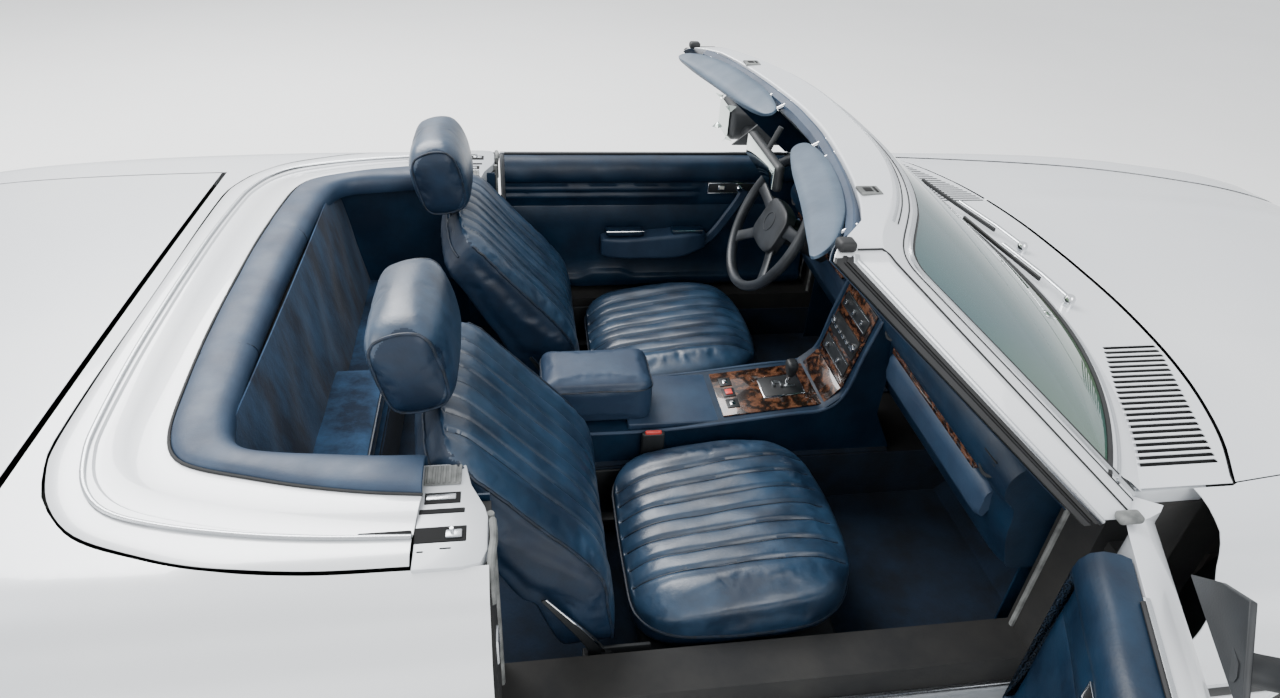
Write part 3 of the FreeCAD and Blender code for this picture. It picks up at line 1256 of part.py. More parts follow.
# Rear suspension: cross bar, differential, trailing arms, carriers and drive shafts
rear_parts = [block("cross_bar", ("rear_bar_rear_x", "-1 * rear_bar_half", "rear_bar_low_z"),
                    ("rear_bar_front_x", "rear_bar_half", "rear_rail_low_z")),
              block("differential", ("-1 * axle_x - diff_half", "-1 * diff_half_width", "diff_low_z"),
                    ("diff_half - axle_x", "diff_half_width", "diff_top_z")),
              block("diff_nose", ("-1 * axle_x", "-1 * diff_half_width / 2", "rear_bar_low_z"),
                    ("rear_bar_front_x", "diff_half_width / 2", "rear_rail_low_z"))]
rear_parts += pair("trailing_arm", ("-1 * axle_x - carrier_half", "trail_in_y", "trail_low_z"),
                   ("rear_bar_rear_x + 5", "trail_out_y", "trail_top_z"))
rear_parts += pair("hub_carrier", ("-1 * axle_x - carrier_half", "trail_in_y + 10",
                   "tyre_radius - carrier_half"),
                   ("carrier_half - axle_x", "carrier_out_y", "tyre_radius + carrier_half"))
rear_parts.append(rod("drive_shaft", ("-1 * axle_x", "-1 * rear_wheel_y - stub_end", "tyre_radius"),
                      "2 * rear_wheel_y + 2 * stub_end", "shaft_radius", ALONG_Y))
for side, sign in (("left", 1), ("right", -1)):
    flip = "%d * " % sign
    rear_parts.append(rod("rear_stub_" + side, ("-1 * axle_x", flip + "(carrier_out_y - 10)",
                          "tyre_radius"), "rear_wheel_y + stub_end - carrier_out_y + 10",
                          "axle_radius",
                          ALONG_Y if sign > 0 else FreeCAD.Rotation(Vector(1, 0, 0), 90)))
    rear_parts.append(rod("rear_spring_" + side, ("rear_bar_rear_x - 2 * spring_radius",
                          flip + "rear_spring_y", "trail_low_z + 10"),
                          "deck_floor_z - trail_low_z - 10", "rear_spring_radius"))
node("rear_suspension", fuse("Rear_suspension", rear_parts))

# Engine, gearbox and propeller shaft
engine_parts = [block("engine_mass", ("engine_rear_x", "-1 * engine_half", "engine_low_z"),
                      ("engine_front_x", "engine_half", "engine_top_z")),
                block("gearbox", ("gearbox_rear_x", "-1 * gearbox_half", "gearbox_low_z"),
                      ("engine_rear_x + 5", "gearbox_half", "gearbox_top_z"))]
engine_parts += pair("engine_mount", ("axle_x - mount_half", "engine_half - 5", "mount_low_z"),
                     ("axle_x + mount_half", "front_rail_in_y", "mount_top_z"))
node("engine_block", fuse("Engine_block", engine_parts))
node("propshaft", rod("Propshaft", ("rear_bar_front_x", "0", "propshaft_z"),
                      "gearbox_rear_x - rear_bar_front_x", "propshaft_radius", ALONG_X))

# Exhaust: pipe under the floor, silencer and tail pipe
exhaust_parts = [rod("front_pipe", ("pipe_turn_x", "pipe_y", "pipe_z"),
                     "pipe_front_x - pipe_turn_x", "pipe_radius", ALONG_X)]
cross_pipe = rod("cross_pipe", ("pipe_turn_x", "pipe_y - pipe_radius", "pipe_z"),
                 "muffler_in_y + 100 - pipe_y", "pipe_radius", ALONG_Y)
link_pipe = rod("link_pipe", ("muffler_front_x - 5", "muffler_in_y + 60", "pipe_z"),
                "pipe_turn_x - muffler_front_x + 5", "pipe_radius", ALONG_X)
muffler = block("silencer", ("muffler_rear_x", "muffler_in_y", "muffler_low_z"),
                ("muffler_front_x", "muffler_out_y", "muffler_top_z"))
outlet = rod("outlet", ("outlet_rear_x", "outlet_y", "outlet_z"),
             "muffler_rear_x - outlet_rear_x + 5", "pipe_radius", ALONG_X)
hangers = [block("silencer_hanger", ("muffler_rear_x + 80", "rear_rail_in_y + 10", "muffler_top_z - 5"),
                 ("muffler_rear_x + 110", "rear_rail_out_y - 10", "rear_rail_low_z")),
           block("pipe_hanger", ("0", "pipe_y - 12", "pipe_z"), ("24", "pipe_y + 12", "floor_z"))]
node("exhaust", fuse("Exhaust", exhaust_parts + [cross_pipe, link_pipe, muffler, outlet] + hangers))

# Dashboard and console
dash = padded_body("Dash_block", "XZ_Plane",
                   [("dash_front_x", "dash_knee_z"), ("dash_front_x", "dash_top_z"),
                    ("dash_rear_x + 70", "dash_top_z"), ("dash_rear_x", "dash_brow_z"),
                    ("dash_rear_x + 30", "dash_knee_z + 90"), ("dash_knee_x", "dash_low_z"),
                    ("dash_knee_x + 60", "dash_low_z")], "2 * dash_half")
stack_room = block("stack_room", ("dash_rear_x - wall", "-1 * console_half - running_clearance",
                   "dash_low_z - wall"),
                   ("stack_front_x + running_clearance", "console_half + running_clearance",
                    "stack_top_z + running_clearance"))
doc.recompute()
console = padded_body("Console", "XZ_Plane",
                      [("console_rear_x", "tunnel_top_z"), ("console_rear_x", "console_top_z"),
                       ("armrest_front_x + 30", "console_top_z"),
                       ("console_foot_x", "console_foot_z"), ("stack_low_x", "stack_low_z"),
                       ("stack_top_x", "stack_top_z"), ("stack_front_x", "stack_top_z"),
                       ("stack_front_x", "stack_front_z"), ("stack_front_x + 60", "tunnel_top_z")],
                      "2 * console_half")
node("console", console)
armrest_box = block("armrest_box", ("console_rear_x", "-1 * armrest_half",
                    "console_top_z + running_clearance"),
                    ("armrest_front_x", "armrest_half", "armrest_top_z"))
doc.recompute()
armrest = doc.addObject("Part::Fillet", "Armrest")
armrest.Base = armrest_box
top_edges = [index for index, edge in enumerate(armrest_box.Shape.Edges, start=1)
             if edge.BoundBox.ZMin > size("armrest_top_z") - 1]
armrest.Edges = [(index, size("armrest_round"), size("armrest_round")) for index in top_edges]
node("armrest", armrest)

# Steering wheel and column on one tilted axis
tilt = math.radians(size("column_tilt"))
axis_out = Vector(-math.cos(tilt), 0, math.sin(tilt))
centre = Vector(size("wheel_x"), size("wheel_y"), size("wheel_z"))
level = centre - axis_out * size("wheel_dish")
grip = Part.makeTorus(size("wheel_radius"), size("wheel_grip"), centre, axis_out)
pad = Part.makeCylinder(size("wheel_pad_radius"), size("wheel_pad_depth"),
                        level - axis_out * size("wheel_pad_depth") / 2, axis_out)
across = Vector(0, 1, 0)
rise = axis_out.cross(across)
wheel_parts = [pad]
for turn in (0, 180, 55, 125):
    angle = math.radians(turn)
    along = across * math.cos(angle) - rise * math.sin(angle)
    aside = axis_out.cross(along)
    start = level - aside * size("spoke_width") / 2 - axis_out * size("spoke_thick") / 2
    spoke = Part.makeBox(size("wheel_radius") + 2, size("spoke_width"), size("spoke_thick"))
    matrix = FreeCAD.Matrix(along.x, aside.x, axis_out.x, start.x, along.y, aside.y, axis_out.y,
                            start.y, along.z, aside.z, axis_out.z, start.z, 0, 0, 0, 1)
    wheel_parts.append(spoke.transformGeometry(matrix))
socket_start = level - axis_out * (size("wheel_pad_depth") / 2 + 1)
socket = Part.makeCylinder(size("steer_shaft_radius") + SEAT_GAP, size("steer_shaft_length") + 1,
                           socket_start, axis_out)
wheel_shape = grip.fuse(wheel_parts).cut(socket)
node("steering_wheel", formed("Steering_wheel", wheel_shape))
column_top = level - axis_out * (size("wheel_pad_depth") / 2 + 6)
column = Part.makeCylinder(size("column_radius"), size("column_length"), column_top, axis_out * -1)
shaft = Part.makeCylinder(size("steer_shaft_radius"), size("steer_shaft_length") + 20,
                          column_top - axis_out * 20, axis_out)
stalk = Part.makeCylinder(size("wiper_arm") / 2, 150, column_top - axis_out * 30, Vector(0, 1, 0))
column_shape = column.fuse([shaft, stalk])
node("steering_column", formed("Steering_column", column_shape))
dash_cut = cut("Dash_cut", dash, [stack_room])
doc.recompute()
column_room = Part.makeCylinder(size("column_radius") + SEAT_GAP, size("column_length") + SEAT_GAP,
                                column_top, axis_out * -1)
node("dashboard", formed("Dashboard", dash_cut.Shape.cut(column_room)))

# Seats on rails: base with brackets, folding backrest, head restraint
for side, sign in (("left", 1), ("right", -1)):
    middle = "%d * seat_y" % sign
    cushion = padded_body("Cushion_" + side, "XZ_Plane",
                          [("cushion_rear_x", "cushion_low_z"), ("cushion_front_x - 40", "cushion_low_z"),
                           ("cushion_front_x", "cushion_front_z - 90"),
                           ("cushion_front_x - 30", "cushion_front_z"),
                           ("cushion_rear_x", "cushion_rear_z")], "2 * cushion_half")
    bind(cushion, "Placement.Base.y", middle)
    base_parts = [cushion]
    rail_parts = []
    for mark, offset in (("in", "-1 * runner_y"), ("out", "runner_y")):
        low_y = middle + " + (" + offset + ") - runner_half"
        high_y = middle + " + (" + offset + ") + runner_half"
        base_parts.append(block("Runner_%s_%s" % (mark, side),
                                ("runner_rear_x", low_y, "rail_top_z + running_clearance"),
                                ("runner_front_x", high_y, "cushion_low_z + 5")))
        rail_parts.append(block("Rail_%s_%s" % (mark, side),
                                ("rail_rear_x", low_y, "floor_z + wall"),
                                ("rail_front_x", high_y, "rail_top_z")))
    for mark, inner, outer in (("in", "-1 * bracket_out", "bracket_wall - bracket_out"),
                               ("out", "bracket_out - bracket_wall", "bracket_out")):
        base_parts.append(block("Bracket_%s_%s" % (mark, side),
                                ("bracket_rear_x", middle + " + (" + inner + ")", "cushion_low_z"),
                                ("bracket_front_x + 40", middle + " + (" + outer + ")",
                                 "pivot_z + 30")))
    for mark, offset in (("in", "-1 * bracket_out"), ("out", "runner_y")):
        base_parts.append(block("Foot_%s_%s" % (mark, side),
                                ("bracket_rear_x", middle + " + (" + offset + ")", "cushion_low_z - 10"),
                                ("cushion_rear_x + 5", middle + " + (" + offset
                                 + ") + bracket_out - runner_y", "cushion_low_z + 8")))
    base_parts.append(rod("Pivot_pin_" + side, ("pivot_x", middle + " - bracket_out", "pivot_z"),
                          "2 * bracket_out", "pivot_radius", ALONG_Y))
    node("seat_base_" + side, fuse("Seat_base_" + side, base_parts))
    rail_node = together("Seat_rails_" + side, rail_parts)
    node("seat_rails_" + side, rail_node)
    back = padded_body("Back_block_" + side, "XZ_Plane",
                       [("pivot_x + pivot_boss", "pivot_z"), ("pivot_x + 44", "pivot_z + 44"),
                        ("pivot_x + 10", "pivot_z + 128"), ("pivot_x + 6", "pivot_z + 180"),
                        ("pivot_x - 14", "pivot_z + 232"), ("pivot_x - 104", "pivot_z + 344"),
                        ("pivot_x - 172", "pivot_z + 422"), ("pivot_x - 248", "pivot_z + 506"),
                        ("pivot_x - 300", "pivot_z + 540"),
                        ("pivot_x - 344", "pivot_z + 528"), ("pivot_x - 310", "pivot_z + 500"),
                        ("pivot_x - 264", "pivot_z + 400"), ("pivot_x - 120", "pivot_z + 120"),
                        ("pivot_x - 44", "pivot_z - 38"), ("pivot_x", "pivot_z - pivot_boss")],
                       "2 * back_half")
    bind(back, "Placement.Base.y", middle)
    pivot_bore = rod("Pivot_bore_" + side, ("pivot_x", middle + " - bracket_out", "pivot_z"),
                     "2 * bracket_out", "pivot_radius + running_clearance", ALONG_Y)
    node("seat_back_" + side, cut("Seat_back_" + side, back, [pivot_bore]))
    rest_block = block("Rest_block_" + side,
                       ("rest_rear_x", middle + " - rest_half", "rest_low_z"),
                       ("rest_front_x", middle + " + rest_half", "rest_top_z"))
    doc.recompute()
    rest = doc.addObject("Part::Fillet", "Rest_round_" + side)
    rest.Base = rest_block
    long_edges = [index for index, edge in enumerate(rest_block.Shape.Edges, start=1)
                  if edge.BoundBox.YLength > 2 * size("rest_half") - 1]
    rest.Edges = [(index, size("rest_round"), size("rest_round")) for index in long_edges]
    stems = []
    for mark, step in (("in", "- stem_y"), ("out", "+ stem_y")):
        stems.append(rod("Stem_%s_%s" % (mark, side), ("stem_x", middle + " " + step,
                         "pivot_z + 520"), "rest_low_z - pivot_z - 500", "stem_radius"))
    doc.recompute()
    node("head_restraint_" + side, cut("Head_restraint_" + side,
                                       fuse("Rest_joined_" + side, [rest] + stems), [back]))

# Windscreen fittings: two sun visors and the inside mirror
visor_parts = []
for side, sign in (("left", 1), ("right", -1)):
    visor = padded_body("Visor_" + side, "XZ_Plane",
                        [("visor_x", "visor_z"), ("visor_x - visor_thick", "visor_z"),
                         ("visor_x - visor_back - visor_thick", "visor_z - visor_drop"),
                         ("visor_x - visor_back", "visor_z - visor_drop - visor_thick")],
                        "2 * visor_half")
    bind(visor, "Placement.Base.y", "%d * visor_y" % sign)
    visor_parts.append(visor)
doc.recompute()
visor_shapes = [visor.Shape.cut(screen) for visor in visor_parts]
node("sun_visors", formed("Sun_visors", Part.makeCompound(visor_shapes)))
mirror_plate = slab((size("inside_mirror_x") - size("inside_mirror_depth"),
                     -size("inside_mirror_half"), size("inside_mirror_low_z")),
                    (size("inside_mirror_x"), size("inside_mirror_half"),
                     size("inside_mirror_top_z")))
mirror_stem = slab((size("inside_mirror_x") - 8, -10, size("inside_mirror_top_z") - 5),
                   (size("screen_top_x") - 60, 10, size("screen_top_z") - 20))
mirror_shape = mirror_plate.fuse(mirror_stem).cut(screen).cut(hole)
node("interior_mirror", formed("Interior_mirror", mirror_shape))

# Carpets: floor mats, tunnel sides and the lining of the rear bulkhead
carpet_parts = pair("mat", ("heel_x + wall", "tunnel_half", "floor_z + wall"),
                    ("rail_rear_x - 20", "sill_in_y - carpet", "floor_z + wall + carpet"))
carpet_parts += pair("front_mat", ("rail_front_x + 10", "tunnel_half", "floor_z + wall"),
                     ("firewall_x", "sill_in_y - carpet", "floor_z + wall + carpet"))
carpet_parts += pair("toe_carpet", ("firewall_x - carpet", "tunnel_half", "floor_z + wall"),
                     ("firewall_x", "sill_in_y - carpet", "dash_low_z"))
carpet_parts += [block("deck_carpet", ("bulkhead_x + wall", "carpet - tub_side_y", "deck_floor_z + wall"),
                       ("heel_x + wall + carpet", "tub_side_y - carpet", "deck_floor_z + wall + carpet")),
                 block("heel_carpet", ("heel_x + wall", "carpet - tub_side_y",
                       "floor_z + wall"),
                       ("heel_x + wall + carpet", "tub_side_y - carpet", "deck_floor_z + wall + carpet")),
                 block("bulkhead_carpet", ("bulkhead_x + wall", "carpet - tub_side_y",
                       "deck_floor_z + wall"),
                       ("bulkhead_x + wall + carpet", "tub_side_y - carpet", "band_low_z - 10"))]
doc.recompute()
carpet_joined = fuse("Carpet_joined", carpet_parts)
doc.recompute()
carpet_shape = carpet_joined.Shape.cut(tub_shape.Shape).cut(hollows[0].Shape)
node("carpets", formed("Carpets", carpet_shape))

# Gear lever and pedals
lever = rod("lever_rod", ("lever_x", "0", "console_top_z"), "lever_top_z - console_top_z",
            "lever_radius")
knob = rod("lever_knob", ("lever_x", "0", "lever_top_z - knob_radius"), "knob_radius",
           "knob_radius")
doc.recompute()
lever_shape = lever.Shape.fuse(knob.Shape).cut(console.Shape)
pedal_shapes = []
for mark in ("brake", "throttle"):
    pad_plate = block(mark + "_pad", ("pedal_x - 12", "%s_y - %s_half" % (mark, mark), "pedal_low_z"),
                      ("pedal_x", "%s_y + %s_half" % (mark, mark), "pedal_top_z"))
    pad_arm = block(mark + "_arm", ("pedal_x", mark + "_y - pedal_arm / 2", "pedal_top_z - 30"),
                    ("firewall_x - carpet", mark + "_y + pedal_arm / 2", "pedal_top_z - 10"))
    doc.recompute()
    pedal_shapes.append(pad_plate.Shape.fuse(pad_arm.Shape))
node("controls", formed("Controls", Part.makeCompound([lever_shape] + pedal_shapes)))

# Wipers: two arms on the cowl, each on a short spindle
wiper_shapes = []
for row in WIPERS:
    mark = row[0]
    spot = Vector(size(mark + "_x"), size(mark + "_y"), 0)
    foot = surface_height(spot.x, spot.y)
    spindle = Part.makeCylinder(size("wiper_boss"), size("wiper_z") + size("wiper_boss") - foot,
                                Vector(spot.x, spot.y, foot + 2 * SEAT_GAP))
    arm = slab((spot.x - size("wiper_arm") / 2, spot.y - size("wiper_length"), size("wiper_z")),
               (spot.x + size("wiper_arm") / 2, spot.y, size("wiper_z") + size("wiper_arm")))
    arm.rotate(Vector(spot.x, spot.y, 0), Vector(0, 0, 1), size(mark + "_turn"))
    wiper_shapes.append(spindle.fuse(arm))
node("wipers", formed("Wipers", Part.makeCompound(wiper_shapes)))

doc.recompute()
failed = [thing.Name for thing in doc.Objects
          if "Invalid" in thing.State or "Error" in thing.State]
assert not failed, failed
os.makedirs("parts", exist_ok=True)
for name, thing in NODES.items():
    assert not thing.Shape.isNull() and thing.Shape.isValid(), name
    assert thing.Shape.Solids, name
for name, thing in NODES.items():
    thing.Shape.exportStep("parts/%s.step" % name)
    print(name, len(thing.Shape.Solids), round(thing.Shape.Volume / 1e6, 2))
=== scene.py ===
# %% [markdown]
# # An open two-seat roadster, dressed piece by piece
#
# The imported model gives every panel, seat and wheel its place.  This lesson puts the looks on it:
# smooth painted panels, sewn leather, carpet, chrome and glass.  Each step says what the real
# piece is, how it could be made, and why this way was chosen.

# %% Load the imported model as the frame
import math

import bmesh
import bpy
from mathutils import Matrix, Vector
from mathutils.bvhtree import BVHTree


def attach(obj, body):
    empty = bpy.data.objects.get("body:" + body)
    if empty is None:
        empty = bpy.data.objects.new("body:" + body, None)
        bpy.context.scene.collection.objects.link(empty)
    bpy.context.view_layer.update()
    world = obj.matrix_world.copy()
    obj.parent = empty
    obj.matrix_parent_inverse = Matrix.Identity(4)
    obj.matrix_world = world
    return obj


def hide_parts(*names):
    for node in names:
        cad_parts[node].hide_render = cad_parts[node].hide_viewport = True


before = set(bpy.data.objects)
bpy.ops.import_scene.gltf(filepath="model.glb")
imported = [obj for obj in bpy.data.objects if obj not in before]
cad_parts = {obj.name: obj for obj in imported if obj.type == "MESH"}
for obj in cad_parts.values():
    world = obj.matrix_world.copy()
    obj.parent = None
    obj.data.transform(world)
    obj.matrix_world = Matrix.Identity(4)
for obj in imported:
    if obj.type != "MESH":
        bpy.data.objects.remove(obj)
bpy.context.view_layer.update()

# %% [markdown]
# ## Helpers
#
# Most panels of a car are sheets with a smooth curve in both directions.  A grid from one operator,
# with each point moved to its place on the body, gives such a sheet with an even net of quads,
# and it can be given a wall and rounded edges afterwards.  Strips and tubes are the same grid,
# rolled round a path.

# %% Points, numbers and smooth lines
def mix(start, end, share):
    """The value, or point, at a share of the way from start to end."""
    return start + (end - start) * share


def clamp(value, low=0.0, high=1.0):
    """Keep a value between two limits."""
    return max(low, min(high, value))


def ease(value, low, high):
    """A smooth step from 0 at low to 1 at high."""
    share = clamp((value - low) / (high - low))
    return share * share * (3 - 2 * share)


def along(table, place):
    """Smooth value at a place, from a table of (place, value) rows in rising order."""
    if place <= table[0][0]:
        return table[0][1]
    for index in range(len(table) - 1):
        here, there = table[index], table[index + 1]
        if place <= there[0]:
            before = table[max(index - 1, 0)]
            after = table[min(index + 2, len(table) - 1)]
            span = there[0] - here[0]
            share = (place - here[0]) / span
            slope_in = (there[1] - before[1]) / (there[0] - before[0]) * span
            slope_out = (after[1] - here[1]) / (after[0] - here[0]) * span
            square, cube = share * share, share ** 3
            return (here[1] * (2 * cube - 3 * square + 1) + slope_in * (cube - 2 * square + share)
                    + there[1] * (3 * square - 2 * cube) + slope_out * (cube - square))
    return table[-1][1]


def smooth_line(points, steps, closed=False):
    """A smooth line through a few points, with steps pieces between each two."""
    points = [Vector(point) for point in points]
    count = len(points)
    line = []
    for index in range(count if closed else count - 1):
        if closed:
            before, here = points[index - 1], points[index]
            there, after = points[(index + 1) % count], points[(index + 2) % count]
        else:
            before, here = points[max(index - 1, 0)], points[index]
            there, after = points[index + 1], points[min(index + 2, count - 1)]
        for step in range(steps):
            share = step / steps
            line.append(0.5 * (2 * here + (there - before) * share
                               + (2 * before - 5 * here + 4 * there - after) * share ** 2
                               + (3 * here - before - 3 * there + after) * share ** 3))
    if not closed:
        line.append(points[-1])
    return line


def resampled(line, count):
    """The same line with count points at equal distances."""
    lengths = [0.0]
    for start, end in zip(line, line[1:]):
        lengths.append(lengths[-1] + (end - start).length)
    result = []
    index = 0
    for step in range(count):
        target = lengths[-1] * step / (count - 1)
        while index < len(line) - 2 and lengths[index + 1] < target:
            index += 1
        span = max(lengths[index + 1] - lengths[index], 1e-9)
        result.append(mix(line[index], line[index + 1], clamp((target - lengths[index]) / span)))
    return result


# %% Meshes from operators
def grid(columns, rows, place):
    """A net of quads whose point at shares (u, v) is moved to place(u, v)."""
    bm = bmesh.new()
    bmesh.ops.create_grid(bm, x_segments=columns, y_segments=rows, size=1.0)
    for vert in bm.verts:
        vert.co = place((vert.co.x + 1) / 2, (vert.co.y + 1) / 2)
    return bm


def close_up(bm, distance=0.00005):
    """Merge doubles, close open ends and point every face outwards."""
    bmesh.ops.remove_doubles(bm, verts=bm.verts, dist=distance)
    bmesh.ops.dissolve_degenerate(bm, edges=bm.edges, dist=distance / 2)
    bmesh.ops.holes_fill(bm, edges=[edge for edge in bm.edges if edge.is_boundary], sides=0)
    bmesh.ops.recalc_face_normals(bm, faces=bm.faces)
    return bm


def walled(bm, thickness):
    """Give a sheet a wall on the side away from its normals."""
    bmesh.ops.remove_doubles(bm, verts=bm.verts, dist=0.00005)
    bmesh.ops.recalc_face_normals(bm, faces=bm.faces)
    middle = sum((face.calc_center_median() for face in bm.faces), Vector()) / len(bm.faces)
    outward = sum((face.normal.dot(face.calc_center_median() - Vector((middle.x, 0, 0.45)))
                   * face.calc_area() for face in bm.faces))
    if outward < 0:
        bmesh.ops.reverse_faces(bm, faces=bm.faces)
    bmesh.ops.solidify(bm, geom=bm.faces, thickness=thickness)
    bmesh.ops.recalc_face_normals(bm, faces=bm.faces)
    return bm


def ring(radius_a, radius_b, count=10):
    """An oval outline for a tube."""
    return [(radius_a * math.cos(2 * math.pi * step / count),
             radius_b * math.sin(2 * math.pi * step / count)) for step in range(count)]


def box_ring(width, height, corner):
    """A rounded box outline for a strip, with two points on each corner."""
    half_w, half_h = width / 2, height / 2
    return [(half_w - corner, half_h), (half_w, half_h - corner), (half_w, corner - half_h),
            (half_w - corner, -half_h), (corner - half_w, -half_h), (-half_w, corner - half_h),
            (-half_w, half_h - corner), (corner - half_w, half_h)]


def swept(path, outline, up=(0, 0, 1), closed=False, size=None):
    """Carry an outline along a path; size(share) may swell or thin it on the way."""
    path = [Vector(point) for point in path]
    count, sides = len(path), len(outline)
    steps = count if closed else count - 1

    def place(u, v):
        index = round(u * steps)
        side = round(v * sides) % sides
        here = path[index % count]
        if closed:
            ahead, behind = path[(index + 1) % count], path[index - 1]
        else:
            ahead, behind = path[min(index + 1, count - 1)], path[max(index - 1, 0)]
        forward = (ahead - behind).normalized()
        aside = forward.cross(Vector(up)).normalized()
        above = aside.cross(forward)
        scale = size(index / steps) if size else 1.0
        return here + (aside * outline[side][0] + above * outline[side][1]) * scale

    return close_up(grid(steps, sides, place))


def bar(low, high, corner=0.002, segments=2):
    """A box between two corners with rounded edges."""
    bm = bmesh.new()
    bmesh.ops.create_cube(bm, size=1.0)
    span = [b - a for a, b in zip(low, high)]
    middle = [(a + b) / 2 for a, b in zip(low, high)]
    bmesh.ops.scale(bm, vec=span, verts=bm.verts)
    bmesh.ops.translate(bm, vec=middle, verts=bm.verts)
    return rounded(bm, min(corner, min(span) * 0.49), segments) if corner else bm


def turned(profile, steps=48, start=(0, 0, 0), axis=(0, 1, 0), angle=2 * math.pi):
    """Spin a profile of (along the axis, radius) points about an axis through start."""
    bm = bmesh.new()
    aim = Vector(axis).normalized()
    side = aim.orthogonal().normalized()
    verts = [bm.verts.new(Vector(start) + aim * reach + side * radius) for reach, radius in profile]
    edges = [bm.edges.new(pair) for pair in zip(verts, verts[1:])]
    bmesh.ops.spin(bm, geom=verts + edges, cent=start, axis=aim, angle=angle, steps=steps,
                   use_merge=angle > 6.28, use_duplicate=False)
    return close_up(bm)


def soft_box(low, high, corner, cell):
    """A pillow-like block: a fine box whose points are drawn in to a rounded form."""
    low, high = Vector(low), Vector(high)
    span = high - low
    middle = (low + high) / 2
    bm = bmesh.new()
    bmesh.ops.create_cube(bm, size=1.0)
    bmesh.ops.scale(bm, vec=span, verts=bm.verts)
    for axis in range(3):
        edges = [edge for edge in bm.edges
                 if abs((edge.verts[0].co - edge.verts[1].co)[axis]) > span[axis] * 0.9]
        bmesh.ops.subdivide_edges(bm, edges=edges, cuts=max(1, round(span[axis] / cell)),
                                  use_grid_fill=True)
    core = span / 2 - Vector((corner, corner, corner))
    for vert in bm.verts:
        inner = Vector([clamp(vert.co[k], -core[k], core[k]) for k in range(3)])
        outer = vert.co - inner
        if outer.length > 1e-9:
            vert.co = inner + outer.normalized() * min(outer.length, corner)
        vert.co += middle
    return bm


def rounded_plan(a, b, k):
    """Draw the corners of a square plan in: k is 0 for square and 1 for a circle."""
    return a * math.sqrt(1 - k * b * b / 2), b * math.sqrt(1 - k * a * a / 2)


def joined(*pieces):
    """Put several meshes into one."""
    whole = bmesh.new()
    for piece in pieces:
        mesh = bpy.data.meshes.new("part")
        piece.to_mesh(mesh)
        piece.free()
        whole.from_mesh(mesh)
        bpy.data.meshes.remove(mesh)
    return whole


def copied(bm, matrix=None):
    """A copy of a mesh, moved by a matrix and with its faces kept outwards."""
    twin = bm.copy()
    if matrix:
        bmesh.ops.transform(twin, matrix=matrix, verts=twin.verts)
        if matrix.determinant() < 0:
            bmesh.ops.reverse_faces(twin, faces=twin.faces)
    return twin


FLIP = Matrix.Diagonal((1, -1, 1, 1))


def mirrored(*pieces):
    """Left pieces and their mirror images on the right, as one mesh."""
    left = joined(*pieces)
    return joined(copied(left, FLIP), left)


def rounded(bm, offset, segments=2, edges=None):
    """Round the edges of a block."""
    bmesh.ops.bevel(bm, geom=edges or bm.edges, offset=offset, segments=segments, affect="EDGES",
                    profile=0.5, material=-1)
    return bm


def slab(outline, depth):
    """A flat outline of points made solid by a depth along a vector."""
    bm = bmesh.new()
    face = bm.faces.new([bm.verts.new(point) for point in outline])
    far = bmesh.ops.extrude_face_region(bm, geom=[face])["geom"]
    bmesh.ops.translate(bm, vec=depth,
                        verts=[item for item in far if isinstance(item, bmesh.types.BMVert)])
    return close_up(bm)


def framed(x, half_y, low_z, high_z, outline):
    """Four straight strips round an upright rectangle."""
    corners = [Vector((x, -half_y, low_z)), Vector((x, half_y, low_z)),
               Vector((x, half_y, high_z)), Vector((x, -half_y, high_z))]
    return joined(*[swept([start, mix(start, end, 0.5), end], outline, up=(1, 0, 0))
                    for start, end in zip(corners, corners[1:] + corners[:1])])


def cut_through(piece, tool_bm, label):
    """Cut a closed tool form out of a piece."""
    mesh = bpy.data.meshes.new("cut_tool")
    tool_bm.to_mesh(mesh)
    tool_bm.free()
    tool = bpy.data.objects.new("cut_tool", mesh)
    bpy.context.scene.collection.objects.link(tool)
    opening = piece.modifiers.new(label, "BOOLEAN")
    opening.operation = "DIFFERENCE"
    opening.solver = "EXACT"
    opening.object = tool
    bpy.context.view_layer.objects.active = piece
    if piece.modifiers[0] != opening:
        bpy.ops.object.modifier_move_to_index(modifier=opening.name, index=0)
    bpy.ops.object.modifier_apply(modifier=opening.name)
    bpy.data.objects.remove(tool)


# %% Keep a finished piece
def keep(name, bm, body, material, edge=0.0, sharp=35, slot=None, stands_for=(), smooth=0):
    """Make an object of a mesh, give it its finish and let it ride on a body."""
    mesh = bpy.data.meshes.new(name)
    bm.to_mesh(mesh)
    bm.free()
    mesh.shade_smooth()
    mesh.set_sharp_from_angle(angle=math.radians(sharp))
    piece = bpy.data.objects.new(name, mesh)
    bpy.context.scene.collection.objects.link(piece)
    mesh.materials.append(material)
    if edge:
        rounding = piece.modifiers.new("Rounded edges", "BEVEL")
        rounding.width = edge
        rounding.segments = 2
        rounding.limit_method = "ANGLE"
        rounding.angle_limit = math.radians(40)
        rounding.harden_normals = True
    if smooth:
        softening = piece.modifiers.new("Smooth", "SUBSURF")
        softening.levels = smooth
        softening.render_levels = smooth
    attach(piece, body)
    slot or material["slot"]
    if stands_for:
        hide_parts(*stands_for)
    return piece


def keep_pair(name, bm, bodies, material, **settings):
    """Keep a left piece and its mirrored twin; stands_for may hold %s for the side."""
    stands_for = settings.pop("stands_for", ())
    pieces = []
    for side, matrix in (("left", Matrix()), ("right", FLIP)):
        body = bodies % side if "%s" in bodies else bodies
        nodes = [node % side for node in stands_for]
        pieces.append(keep("%s_%s" % (name, side), copied(bm, matrix), body, material,
                           stands_for=nodes, **settings))
    bm.free()
    return pieces


